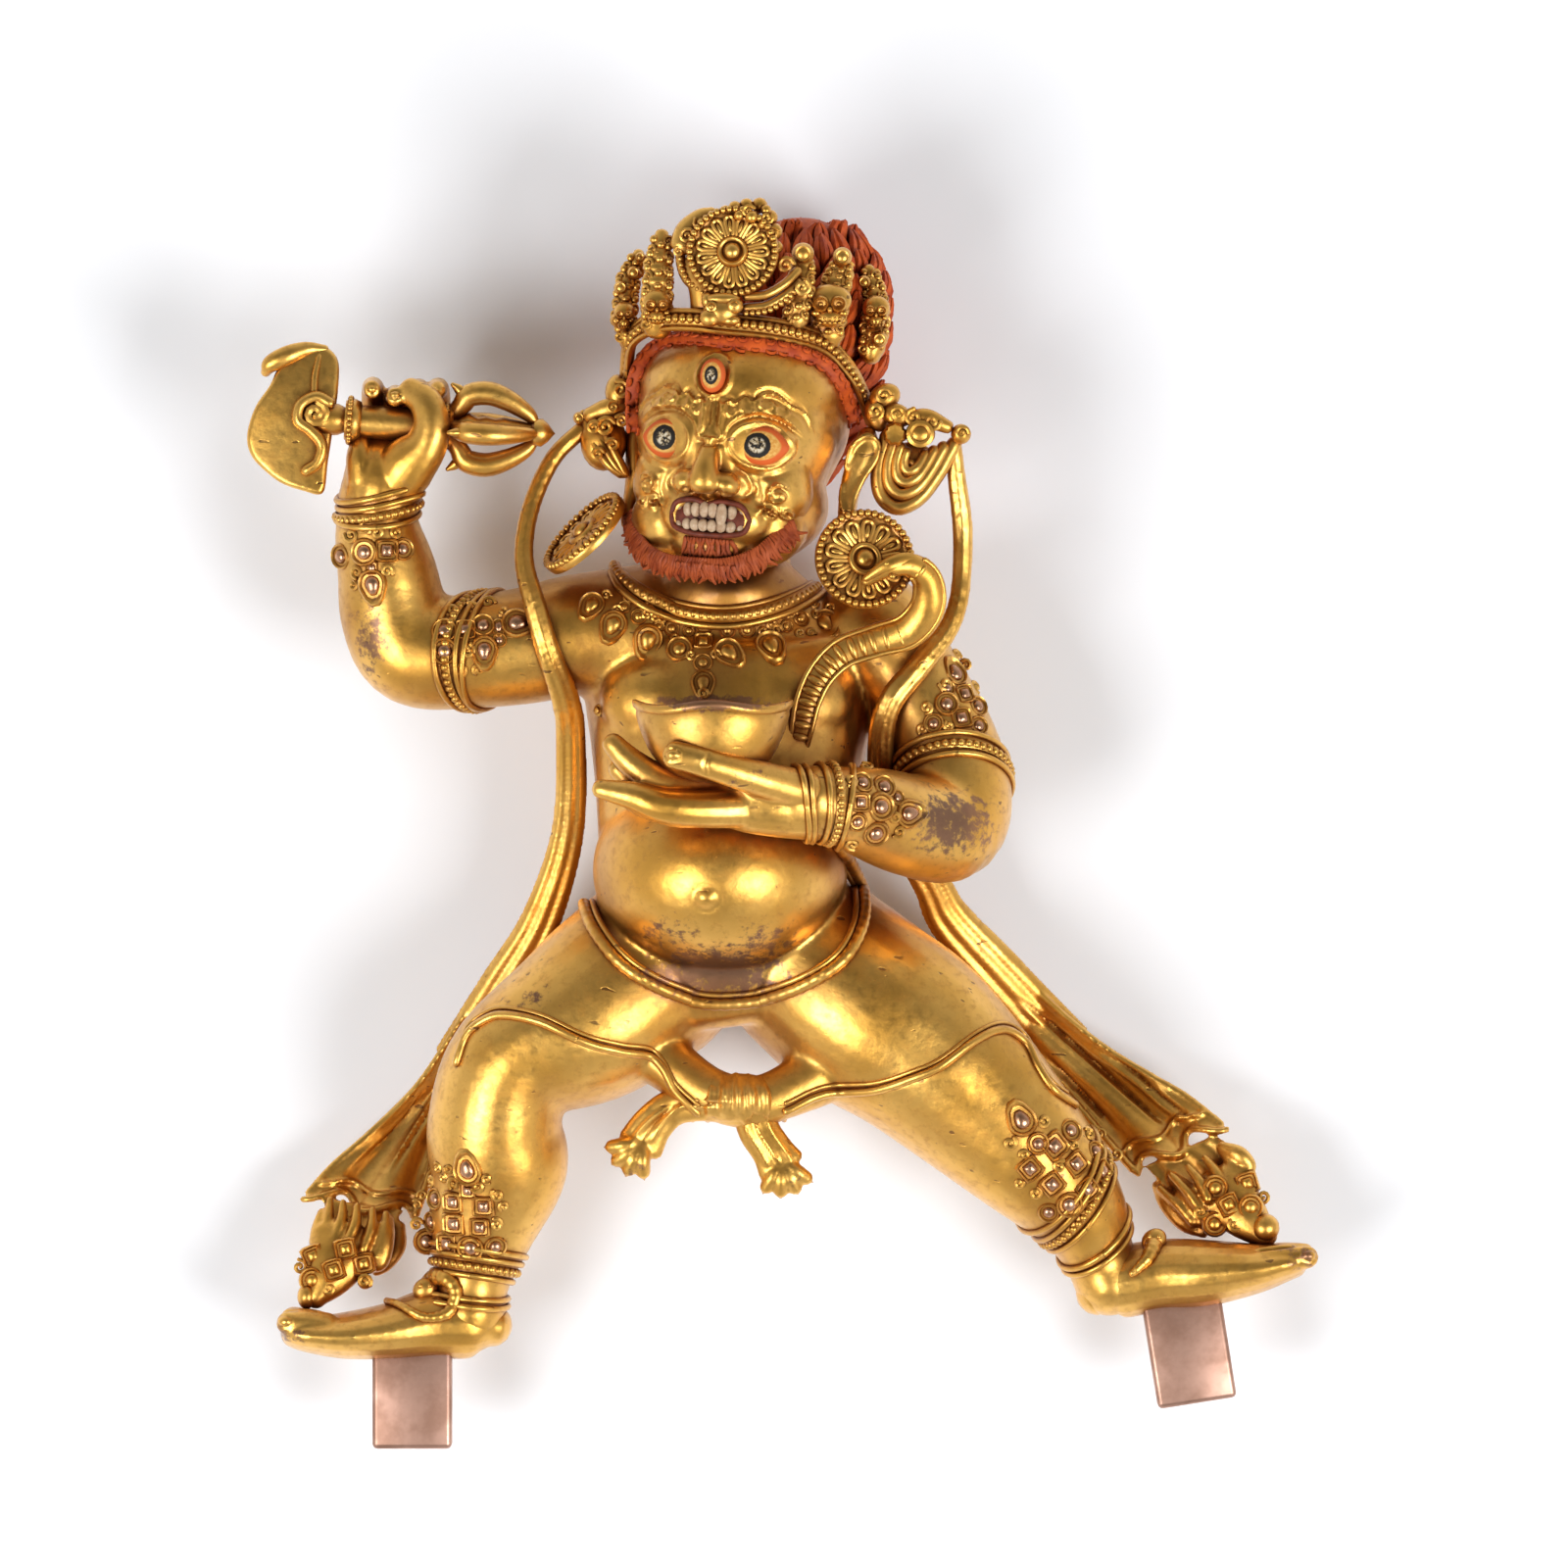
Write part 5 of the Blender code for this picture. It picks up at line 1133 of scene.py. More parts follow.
CREASES = (
    ((-84, -60), (-90.3, -71.7), (-96.6, -82), (-101.2, -89.9)),
    ((-82, -68), (-88.5, -80.8), (-93.3, -92.3)), ((-92, -68), (-101.2, -79.2), (-113.9, -90.6)),
    ((60, -44), (68.1, -50.7), (82, -63), (94.2, -73.6), (98.8, -76.8)),
    ((80, -57), (91, -64.4), (98.8, -71.3), (106, -76)), ((66, -58), (76.6, -68.8), (86, -79)),
)


def carved_scarf(casting):
    """The scarf's skin with sharp creases cut beside soft ridges."""
    scarf = Relief(melted(casting, 0.6, 2, "scarf"))
    for line in CREASES:
        scarf.stroke(line, 0.55, -1.1, taper=0.3)
        scarf.stroke([(x - 1.3, y - 1.1) for x, y in line], 0.8, 0.7, taper=0.3)
    scarf.press()
    return scarf.mesh


# Edges of the scarf's two spread ends, outer and inner, and of the cloth of its two tassels
SPREAD_ENDS = (
    (((-72, -36, 15), (-79.6, -45, 14.6), (-93.3, -66, 14.5), (-106.1, -79, 15), (-115.8, -87.5, 18),
      (-122, -94.4, 22)), ((-63, -42, 15), (-71, -54, 14.2), (-83, -69, 14.5), (-88.4, -80, 15),
      (-91.5, -91.1, 19), (-94.5, -100, 24)), 1.8, 0.6), (((53, -30, 19.5), (63, -41, 18),
      (80, -55.6, 17.5), (94, -64.4, 18), (103, -69.6, 20), (112, -76.6, 25)), ((45, -40, 19.5),
      (54, -49, 17), (64.8, -61.1, 17.5), (75.3, -72.2, 18), (82.5, -80.5, 21), (89.5, -88.4, 27)), 1.9,
     0.4),
)


TASSEL_CLOTHS = (
    (((-118.6, -95.6, 25), (-117, -102, 28), (-118.6, -107.5, 31), (-119.4, -111, 33)), ((-97.6, -99, 25),
      (-101.4, -104, 28), (-104.4, -109, 31), (-106.4, -112, 33)), 2), (((110.4, -79.4, 27),
      (116.2, -83.4, 29), (119.2, -88.6, 31), (120.4, -92.4, 34)), ((92.6, -87.4, 28), (97.4, -92.6, 30),
      (103, -98, 32), (106.4, -101.4, 34)), 0.5),
)


TASSEL_BODIES = (
    ((-112.8, -104.6, 32, 8.4, 3.2), (-113.8, -110, 34, 8.2, 4), (-116.8, -116, 35, 6.2, 4.2),
     (-120, -121, 36, 3, 3.4)), ((111.4, -90.6, 32, 7.6, 3.4), (114.2, -95.5, 34, 7.8, 4.2),
     (118.4, -100.4, 36, 6.2, 4.4), (123, -105, 37, 3.6, 3.8)),
)


# Rolls at the tassels' sides
TASSEL_ROLLS = (
    ((-101.6, -101, 30, 1.8, 1.8), (-102.4, -106, 33, 2.8, 2.4), (-103.6, -111.6, 34, 2.6, 2.4),
     (-106, -113.4, 34, 1.4, 1.4)), ((-98.6, -103, 26, 1.6, 1.6), (-99, -108, 28, 2.2, 2),
     (-101.6, -112.6, 30, 1.6, 1.6), (-104.6, -114.6, 31, 1.2, 1.2)), ((112.4, -82.4, 31, 1.5, 1.5),
     (116.6, -84.4, 33, 2.4, 2.2), (119.4, -87.6, 33, 1.8, 1.8), (117, -89, 34, 1.2, 1.2)),
    ((99.6, -90.4, 30, 1.5, 1.5), (104, -94.6, 33, 2.4, 2.2), (106.2, -99.4, 34, 2, 2),
     (108.2, -102.4, 34, 1.3, 1.3)), ((95.6, -92.4, 27, 1.4, 1.4), (98, -97.4, 29, 1.9, 1.9),
     (102.4, -102.4, 31, 1.8, 1.8), (107.6, -104.6, 33, 1.3, 1.3)), ((-118.4, -99.4, 29, 1.4, 1.4),
     (-119.4, -103.4, 31, 1.9, 1.8), (-120.4, -107, 33, 1.5, 1.5)),
)


# Folds across the tassels: root, tip and height
TASSEL_FOLDS = (
    ((-116.4, -96), (-118.6, -106.6), 29), ((-113, -96.6), (-115.4, -106.8), 31),
    ((-109.4, -97.4), (-111.4, -106.2), 32), ((-105.4, -98.4), (-107.6, -108.6), 32),
    ((-102, -99.4), (-104.8, -110.6), 31), ((111.6, -83), (116.4, -90.6), 30),
    ((107.8, -85.2), (112.2, -92.4), 32), ((103.4, -87.4), (108.6, -95.6), 33),
    ((99.2, -89.6), (106.8, -98.8), 32), ((96.2, -93), (104.6, -101.6), 30),
)


TASSEL_GEMS = (
    (-120.6, -110.2, 36.4, "square", 0.4), (-112.2, -108.4, 38.2, "square", 0.2),
    (-115.2, -113.7, 39, "square", 0.3), (-107.6, -112.2, 37, "square", 0.2),
    (-120.8, -116.4, 38, "round", 0), (110.4, -92.8, 37.2, "round", 0), (118.6, -91.6, 36.4, "square", 0.3),
    (113.8, -97, 38.8, "square", 0.5), (110.3, -102, 37, "round", 0), (119.4, -97.6, 39.4, "round", 0),
)


def scarf_piece(casting, gold):
    ribbon_folds(casting, LEFT_SCARF, 3)
    ribbon_folds(casting, RIGHT_SCARF, 3)
    for outer, inner, folds, phase in SPREAD_ENDS:
        casting.take(*sheet(outer, inner, folds, 1.6, 2.4, phase=phase))
        casting.take(*(cord([(x, y, z + 0.6) for x, y, z in edge], 1.15) for edge in (outer, inner)))
    for outer, inner, phase in TASSEL_CLOTHS:
        casting.take(*sheet(outer, inner, 2.9, 1.5, 0.8, phase=phase))
    casting.take(*(loft(stations, sides=14) for stations in TASSEL_BODIES))
    casting.take(*(loft(stations) for stations in TASSEL_ROLLS))
    for root, tip, high in TASSEL_FOLDS:
        middle = ((root[0] + tip[0]) / 2 + 0.7, (root[1] + tip[1]) / 2, high + 2.6)
        casting.take(loft(((*root, high, 1.0, 1.0), (*middle, 1.5, 1.6), (*tip, high + 4.4, 1.3, 1.4))))
    for x, y, z, kind, turn in TASSEL_GEMS:
        jewel(gold, gold, at(x, y, z) @ Matrix.Rotation(turn, 4, "Z"), 3.0, kind)
    for x, y, z, hand in (
        (-107.4, -116.6, 38, 1), (-124, -113, 36, -1), (-116.6, -118.4, 38.4, 1), (122.6, -95, 37, 1),
        (106.6, -98.8, 37, -1), (115.6, -102.2, 39, 1),
    ):
        curl(gold, at(x, y, z), 1.9, 1.3, hand, x, 0.6)
    gold.take(*balls((123.2, -102.9, 39, 3.6, 3.6, 3.4), (-122.2, -120.6, 37, 2.4, 3.2, 2.8),
                     (-107.2, -117, 36, 2, 1.8, 2)))


SNAKE = (
    (20.8, 61.8, 79, 1.3, 1.2), (26.4, 65.2, 80.6, 2.4, 1.9), (32, 66, 79, 3.1, 2.5),
    (36.2, 62.4, 75.6, 3.9, 3.1), (36.4, 55.6, 72.6, 4.6, 3.4), (31.6, 49.6, 70, 4.7, 3.2),
    (23.4, 47, 68.6, 4.3, 2.8), (15, 44, 68.4, 4.1, 2.4), (9.4, 38.6, 68.6, 3.7, 2.2),
    (6.2, 32, 68.4, 3.4, 2), (4.6, 25, 67.4, 3, 1.9), (3.4, 19.6, 64, 2.6, 1.8),
)


def snake_piece(casting, ground):
    """The snake over the shoulder, the one round the belly and one at each ankle."""
    casting.take(loft(SNAKE, sides=18))
    neck = 24
    curve = [Vector(spot[:3]) for spot in smooth_curve(SNAKE, 10)]
    widths = [spot[3] for spot in smooth_curve(SNAKE, 10)]
    edges = ([], [])
    since = 0.0
    for index, spot in enumerate(curve):
        along = (curve[min(index + 1, len(curve) - 1)] - curve[max(index - 1, 0)]).normalized()
        across = along.cross(UP).normalized()
        for edge, side in zip(edges, (-1, 1)):
            edge.append(spot + across * widths[index] * 0.84 * side + Vector((0, 0, 1.5)))
        since += (spot - curve[index - 1]).length if index else 0.0
        if since > 2.7 and index > neck:
            since = 0.0
            place = station_matrix(spot + Vector((0, 0, 1.7)), along, UP, widths[index] * 0.74, 1.5)
            casting.take(moved(ball((0, 0, 0), (1, 1, 1)), place @ Matrix.Diagonal((1, 1, 1.25, 1))))
    for edge in edges:
        casting.take(cord(edge[neck:], 0.7, steps=1))
    brow = [(x, y + 0.8, z + 1.2, wide, 1.1) for (x, y, z, _, _), wide in zip(SNAKE, (0.9, 1.9, 2.3, 2.0))]
    casting.take(loft(brow, sides=12))
    for eye_spot in ((26, 66.4, 82.2), (27.4, 63.2, 82)):
        casting.take(ball(eye_spot, (0.9, 0.8, 0.8), detail=2))
    belt = (
        (12.6, -5), (18.4, -13), (20.2, -23), (16.6, -32.4), (8.8, -38.8), (-2.6, -43.4), (-15.2, -45),
        (-24.4, -43.9), (-34.4, -40), (-42.4, -34.4), (-48.4, -26.4), (-50.8, -19.6), (-51, -14),
    )
    line = ground.lay(belt, 0.9)
    casting.take(ribbed([(*spot, 1.7, 1.6) for spot in line], 2.6, 0.10))
    belly = Vector((-15, -10, 58))
    inner = [spot + (belly - spot).normalized() * 2.3 + Vector((0, 0, 0.7)) for spot in line]
    casting.take(cord(inner, 0.8, steps=1))
    ankles = (
        ((-91.6, -119.2), (-88.6, -115.6), (-85, -116.2), (-83.6, -120.4), (-86, -124.6), (-92, -125.6),
         (-99, -122.6), (-106, -122)), ((86.6, -93.4), (88.8, -98.6), (90.6, -103.2), (94.6, -106),
         (93, -110.6), (89, -114.4)),
    )
    for points in ankles:
        line = ground.lay(points, 0.7)
        casting.take(ball(line[0] + Vector((0, 0, 0.8)), (3.4, 2.9, 2.2), 0.6))
        for dx in (-1.2, 1.2):
            casting.take(ball(line[0] + Vector((dx, 0.9, 2.4)), (0.7, 0.7, 0.7), detail=2))
        shares = [index / len(line) for index in range(len(line))]
        stations = [(*spot, 2.6 - 1.7 * share, 2.1 - 1.2 * share) for spot, share in zip(line, shares)]
        casting.take(ribbed(stations, 1.8, 0.10, sides=10))


HEMS = (
    ((-83.2, -60.4), (-80.6, -53.4), (-76.4, -49.8), (-71.2, -48.4), (-61.8, -50.1), (-50.5, -55.2),
     (-41, -57.6), (-34.5, -58.6), (-30.8, -61.9), (-27.5, -67.6), (-21.8, -73)), ((0.5, -72.6),
     (10.2, -68.4), (23, -67.4), (32.5, -64.4), (39.5, -61.4), (49, -54.6), (55.8, -52.2), (61.4, -55.4),
     (64.6, -61.6), (68.6, -67.4), (74, -71.4)),
)


def cloth_piece(ground):
    """The knot between the thighs and the two tails that end in paws."""
    casting = Casting()
    casting.take(ball((-11.4, -69.6, 56.4), (11.6, 6.6, 5.8)))
    for index in range(7):
        share = index / 3 - 1
        x = -11.6 + 10.2 * share
        round_off = share ** 2
        fold = (
            (x * 0.92 - 1.6, -63.6 - abs(share), 57.4 - 2.6 * round_off, 0.9, 1.2),
            (x, -68, 61.2 - 3.2 * round_off, 1.35, 2),
            (x + 0.6 * share, -72.2, 60.2 - 3.2 * round_off, 1.4, 1.8),
            (x + 1.4 * share, -74.8, 55.6 - 2.8 * round_off, 0.9, 1.2),
        )
        casting.take(loft(fold))
    tails = (
        ((-15, -71, 56, 4.8, 3.4), (-22, -70.6, 56, 4.8, 2.8), (-28.6, -72, 54, 4.9, 2.4),
         (-33.6, -76.4, 53, 5.4, 2.6), (-36.6, -81.4, 52, 6.2, 2.8)), ((-8, -72, 56, 5.4, 3.4),
         (-6.4, -77.6, 55.6, 5.4, 2.6), (-3.2, -82.6, 54, 5.4, 2.4), (-0.8, -86.6, 53, 6.4, 2.8)),
    )
    for stations, paw, turn in zip(tails, ((-36.4, -80.8, 53), (-0.6, -85.6, 53)), (-2.25, -1.35)):
        casting.take(loft(stations, sides=16))
        for toe in range(4):
            spread = turn + (toe - 1.5) * 0.5
            heading = Vector((math.cos(spread), math.sin(spread), 0))
            root = Vector(paw)
            knuckle = root + heading * 4.2 + UP
            tip = root + heading * 7.6
            casting.take(loft(((*root, 2.0, 2.0), (*knuckle, 2.1, 2.3), (*tip, 1.9, 1.9)), sides=12))
            claw = ((*(tip + heading * 0.6), 0.8, 0.9), (*(tip + heading * 2.0 - UP * 0.9), 0.35, 0.4))
            casting.take(loft(claw, sides=8))
    cloth = Relief(melted(casting, 0.5, 2, "loincloth"))
    for stations in tails:
        for share in (-0.62, 0.0, 0.62):
            line = [(x + share * wide * 0.8, y + share * 1.2) for x, y, _, wide, _ in stations]
            cloth.stroke(line, 0.6, -0.7 if share == 0 else 0.6)
    cloth.press()
    hems = Casting()
    for hem in HEMS:
        for shift, radius, lift in ((0, 1.15, 0.3), (2, 0.6, 0.1)):
            hems.take(cord(ground.lay([(x, y + shift) for x, y in hem], lift), radius, steps=1))
    hems.join(thinned(cloth.mesh, 60000, "loincloth"))
    return hems


# Jewels on the limbs and the chest

def outermost(tree, start, outward, reach):
    """The last skin that a ray from inside a limb goes through within its reach."""
    found = None
    travelled = 0.0
    while travelled < reach:
        hit = tree.ray_cast(start + outward * travelled, outward, reach - travelled)[0]
        if hit is None:
            break
        found = hit
        travelled = (hit - start).length + 0.05
    return found


def hoop(gold, ground, stations, marks, beads, shift):
    """A ring round a limb in the plane of three marks on its front: a string of beads or a smooth roll."""
    spots = [ground.seat(x + shift[0], y + shift[1]).translation for x, y in marks]
    upright = (spots[1] - spots[0]).cross(spots[2] - spots[0]).normalized()
    nearest = min(smooth_curve(stations, 12), key=lambda station: abs((Vector(station[:3]) - spots[1]) @ upright)
                  + 0.02 * (Vector(station[:3]) - spots[1]).length)
    middle = Vector(nearest[:3])
    middle -= upright * ((middle - spots[1]) @ upright)
    first = (spots[1] - middle).normalized()
    second = upright.cross(first)
    line = []
    for x, y in around((0, 0), (1, 1), count=60):
        outward = first * x + second * y
        hit = outermost(ground.tree, middle, outward, nearest[3] * 1.36)
        if hit is None:
            hit = middle + outward * nearest[3]
        line.append(hit + outward * 0.35)
    if beads:
        bead_row(gold, line, beads, facing=upright)
        gold.take(strip(line, 0.5, 1.25, facing=upright))
    else:
        gold.take(strip(line + line[1:2], 0.85, 0.85, facing=upright))


FIELDS = (
    (-82.6, -97, 11.5, 12), (71, -86, 12.5, 12), (-105.4, 68.4, 9.5, 8.5), (-79, 48.6, 9.5, 8.5),
    (43.4, 32.6, 5.4, 8.4), (24, 4.4, 8, 9.5), (-20.6, 46.6, 7, 7), (-38.6, 53, 6, 4.5), (2.6, 51.4, 7, 4),
)


def filled(gold, ground, field, taken):
    """Small curls that close the gaps between the settings of one field."""
    x, y, wide, tall = field
    pitch, gap = 2.8, 1.25
    rows, columns = int(tall / pitch) + 1, int(wide / pitch) + 1
    for row in range(-rows, rows + 1):
        for column in range(-columns, columns + 1):
            spot = (x + (column + 0.5 * (row % 2)) * pitch, y + row * pitch * 0.86)
            outside = ((spot[0] - x) / wide) ** 2 + ((spot[1] - y) / tall) ** 2 > 1
            if not outside and min(math.dist(spot, place[:2]) - place[2] for place in taken) >= gap:
                curl(gold, ground.seat(*spot), 1.35, 1.2, 1 if column % 2 else -1, row + column, 0.5)


def set_jewels(gold, stones, ground, groups, larger):
    """Settings by kind, each from its place, its size and perhaps a turn."""
    for kind, rows in groups.items():
        for x, y, size, *turn in rows:
            jewel(gold, stones, ground.seat(x, y, *turn), size * larger, kind)


def jewel_piece(gold, stones, ground):
    collar = (
        (-44, 67), (-41.4, 62.6), (-34.5, 57.6), (-26, 54.6), (-15.3, 53.4), (-5.3, 54.9), (3.5, 57.9),
        (9.6, 61.6), (12.4, 65),
    )
    line = ground.lay(collar, 1.1)
    bead_row(gold, line, 1.25)
    gold.take(strip(line, 1.6, 0.8))
    for shift, lift, radius in ((-2.7, 0.5, 1), (2.1, 0.4, 0.7)):
        gold.take(cord(ground.lay([(x - 0.1, y + shift) for x, y in collar], lift), radius, steps=1))
    pendants = {
        "drop": (
            (-48.8, 56.4, 2.5, 2.6), (-43.3, 51.4, 2.7, 2.75), (-34.5, 47.6, 2.9, 2.9),
            (-14.3, 44.3, 2.8, 3.9), (-20.5, 36.6, 2.4, 3.14), (-3.5, 46.2, 3, 3.5), (10.3, 51.8, 2.8, 3.9),
        ),
        "round": (
            (-26.6, 44.9, 2.6), (-20.6, 41.4, 1.9), (-14.4, 49.7, 1.6), (-28.6, 50.2, 1.6),
            (-37, 53.2, 1.6), (-9.4, 49.8, 1.6), (4.4, 52.8, 1.7), (-24.2, 49.6, 1.3), (0.6, 50.8, 1.3),
            (-32, 50.6, 1.3), (-40.6, 55.6, 1.3),
        ),
        "square": (
            (-20.5, 46.8, 2.2), (-20.4, 50.9, 1.7),
        ),
    }
    set_jewels(gold, gold, ground, pendants, 1.2)
    for x, y, hand in (
        (-31, 52.6, 1), (-39.6, 58, -1), (-6.6, 51.8, 1), (-12.2, 51.8, -1), (1.8, 54, 1), (7.4, 56.6, -1),
        (-45.4, 58.6, 1), (-22.8, 52.2, 1), (-17.6, 52.2, -1), (-35, 53.6, 1), (-27.6, 47.8, -1),
        (-17.4, 43.4, 1), (-23.6, 43.4, -1), (-2, 49.8, 1), (-5.2, 49.6, -1), (11.6, 55.2, 1), (8, 54, -1),
        (-42.6, 54.8, 1), (-20.6, 33.4, 1),
    ):
        curl(gold, ground.seat(x, y), 1.5, 1.2, hand, 0.0, 0.5)
    for stations, marks, along, plan in (
        (RAISED_ARM, ((-114, 80.9), (-104.3, 78.4), (-94.4, 80.9)), (0, 1),
         ((0, 1.15), (2.6, 0), (4.9, 0), (-2.6, 0))), (RAISED_ARM,
         ((-81.9, 56.6), (-86.3, 42.4), (-80.6, 30.2)), (-1, 0.05),
         ((0, 1.25), (2.6, 0), (-2.7, 0), (-4.6, 0))), (CUP_ARM, ((31, 16.6), (43, 20.9), (55.4, 17.4)),
         (-0.15, 1), ((0, 1.25), (2.7, 0), (-2.6, 0))), (CUP_ARM, ((12.6, 15), (14.4, 6), (12.4, -3.4)),
         (1, 0.1), ((0, 1.2), (2.5, 0), (-2.7, 0), (-8.6, 0), (-7, 0))), (BENT_LEG,
         ((-92.4, -111), (-80.4, -112.4), (-68, -114.6)), (0.05, 1),
         ((0, 1.25), (2.4, 0), (-2.4, 0), (4.6, 0))), (BENT_LEG,
         ((-88.6, -119.8), (-80.4, -121), (-72, -121.4)), (0, 1), ((0, 0), (-2, 0))), (STRAIGHT_LEG,
         ((65.4, -106.6), (75, -101.2), (81.5, -91)), (-0.7, 0.7),
         ((0, 1.25), (2.4, 0), (-2.4, 0), (4.4, 0))), (STRAIGHT_LEG,
         ((73.6, -113), (81, -109.6), (86.6, -103.6)), (-0.6, 0.8), ((0, 0), (-2, 0))),
    ):
        for step, beads in plan:
            hoop(gold, ground, stations, marks, beads, shift=(along[0] * step, along[1] * step))
    limb_jewels = {
        "round": (
            (-112.8, 68.6, 2.5), (-106.8, 69.6, 2.7), (-97, 70.4, 2.2), (-86.4, 49.6, 2.5),
            (-86.4, 44.4, 2.6), (-76.6, 51, 2.3), (-72.4, 47.2, 1.4), (41.4, 31, 2.4), (49.4, 30.4, 2.2),
            (38, 26, 2), (49.6, 25.4, 2), (41.6, 35, 1.6), (19.8, 11, 2.2), (25.3, 9.9, 2.4),
            (24.5, 4.9, 2.8), (23.3, -1.9, 2.6), (18.6, 1, 1.9), (28.6, 7.2, 1.6), (-91.4, -106.4, 2.5),
            (-80, -107.8, 2.6), (-89, -95.4, 2.2), (-90.2, -101.4, 2.1), (-73.6, -107.4, 2.2),
            (73, -77.6, 2.3), (72.6, -96.4, 2.6), (64.6, -80.8, 2.2), (79.4, -83, 2.1), (67.4, -98.4, 2.1),
        ),
        "square": (
            (-101, 70, 2.6), (-104.9, 65.6, 1.5), (-81, 49.9, 2.3), (46, 33.6, 2.2, 0.3),
            (45.2, 27.4, 2.4, 0.2), (19.4, 6, 2.2), (-86, -106.8, 2.6), (-84.4, -96, 2.5),
            (-84.2, -101.6, 2.7), (-77.6, -102.4, 2.3), (-76.6, -97, 2.5), (-80.6, -93, 2),
            (62.6, -87.2, 2.6, 0.7), (68.8, -81.4, 2.9, 0.7), (68.2, -91.2, 2.6, 0.7),
            (77.2, -92.6, 2.6, 0.7), (81, -88, 2.5, 0.7), (74.4, -86, 2.7, 0.7),
        ),
        "drop": (
            (-104.8, 61.6, 2.8, 3.3), (-76.2, 44.9, 2.6, 3.14), (-68.2, 51.6, 2.9, -1.57),
            (-72.6, 50.8, 1.5, 3.14), (43.8, 38.6, 2.5, 0.4), (31.4, 3.1, 2.8, -1.4),
            (-80.6, -88, 2.9, 0.1), (60.6, -75.2, 2.9, 0.5),
        ),
    }
    set_jewels(gold, stones, ground, limb_jewels, 1.22)
    scrolls = (
        (-110, 74, 2, 1), (-103.6, 74.6, 2, -1), (-98.6, 74.6, 1.7, 1), (-84.6, 54.8, 2.2, 1),
        (-79.6, 55.2, 1.9, -1), (-75.4, 56.8, 1.9, 1), (-80.6, 44.6, 1.9, -1), (-71.4, 54.4, 1.5, 1),
        (-108.6, 64.6, 1.7, -1), (-101, 64.8, 1.7, 1), (-82.6, 39.6, 1.8, 1), (-77.6, 39.8, 1.6, -1),
        (41, 36, 1.8, 1), (48.8, 35.4, 1.8, -1), (36.2, 30, 1.6, 1), (20.6, 14.8, 2, -1),
        (29, -1.4, 1.8, 1), (16.8, 11.4, 1.8, 1), (17.4, -4.6, 1.9, -1), (28, 2.4, 1.5, 1),
        (44, 43.4, 1.7, 1), (46.4, 41, 1.5, -1), (35.4, 24.6, 1.5, -1), (-78, -91.8, 1.7, 1),
        (-84, -91.2, 1.8, -1), (-90, -90.8, 1.6, 1), (-73.4, -101.6, 1.7, -1), (-94, -102, 1.7, 1),
        (-73, -94, 1.6, 1), (66, -75, 1.8, 1), (57.4, -80.6, 1.8, -1), (70, -86.6, 1.7, 1),
        (77.6, -78.8, 1.7, -1), (85, -84, 1.7, 1), (64, -93.4, 1.7, -1),
    )
    for x, y, radius, hand in scrolls:
        curl(gold, ground.seat(x, y), radius, 1.25, hand, x, 0.6)
    taken = list(scrolls)
    for groups in (pendants, limb_jewels):
        taken += [row for rows in groups.values() for row in rows]
    for field in FIELDS:
        filled(gold, ground, field, taken)
    for x, y in ((-47.2, 29.4), (5.6, 30.4)):
        stud = ((0, -0.4), (1.7, -0.4), (1.5, 0.3), (0.9, 0.4), (0.8, 1.1), (0, 1.4))
        gold.take(lathe(stud, ground.seat(x, y)))


# Skull cup, chopper and tenons

CUP_RIM = Vector((-18.0, 30.8, 92.6))
CUP_SIZE = (19.0, 15.8, 20.0)
CUP_WALL = 2.2
CUP_HORN = 2.2


def cup_piece():
    """A thin bowl, swept ring by ring from the outer foot over the rim to the inner foot."""
    wide, deep, tall = CUP_SIZE
    rings = []
    for index in range(12, -1, -1):
        turn = math.radians(84) * (index + 1.4) / 13.4
        rings.append((tall * math.sin(turn), wide * math.cos(turn) ** 0.8, deep * math.cos(turn) ** 0.8))
    for drop, out in ((1.9, 0), (1.5, 0.55), (0.6, 0.75), (-0.2, 0.55), (-0.8, -0.2), (-0.7, -1.2)):
        rings.append((drop, wide - 0.3 + out, deep - 0.3 + out))
    for index in range(1, 13):
        turn = math.radians(84) * index / 12
        rings.append(((tall - CUP_WALL) * math.sin(turn), (wide - CUP_WALL) * math.cos(turn) ** 0.8,
                      (deep - CUP_WALL) * math.cos(turn) ** 0.8))
    shape = swept([station_matrix(CUP_RIM - Vector((0, drop, 0)), Vector((0, -1, 0)),
                                  UP, half_wide, half_deep)
                   for drop, half_wide, half_deep in rings], 72)
    for vert in shape.verts:
        side = (vert.co.x - CUP_RIM.x) / wide
        near_rim = min(1.0, max(0.0, 1 - (CUP_RIM.y - vert.co.y) / (tall * 0.45)))
        vert.co.y += CUP_HORN * near_rim * (side ** 6 - 0.7 + 0.85 * math.exp(-(side / 0.5) ** 2))
        vert.co.x += 0.9 * near_rim * side ** 5
    return shape


GRIP = Matrix.Translation((-98.0, 102.4, 56.6)) @ Matrix.Rotation(math.radians(-3.7), 4, "Z")
ALONG = Matrix.Rotation(math.pi / 2, 4, "Y")
BLADE = (
    (-113.6, 110), (-113.4, 117.8), (-116, 121.6), (-121, 123.2), (-125.6, 121), (-129, 116.4),
    (-131, 112.1), (-134.8, 106.4), (-136.8, 99.4), (-135.8, 94.4), (-132.5, 90.6), (-128, 87.2),
    (-122.3, 85.2), (-117.4, 84.6), (-116.2, 92), (-115, 100),
)


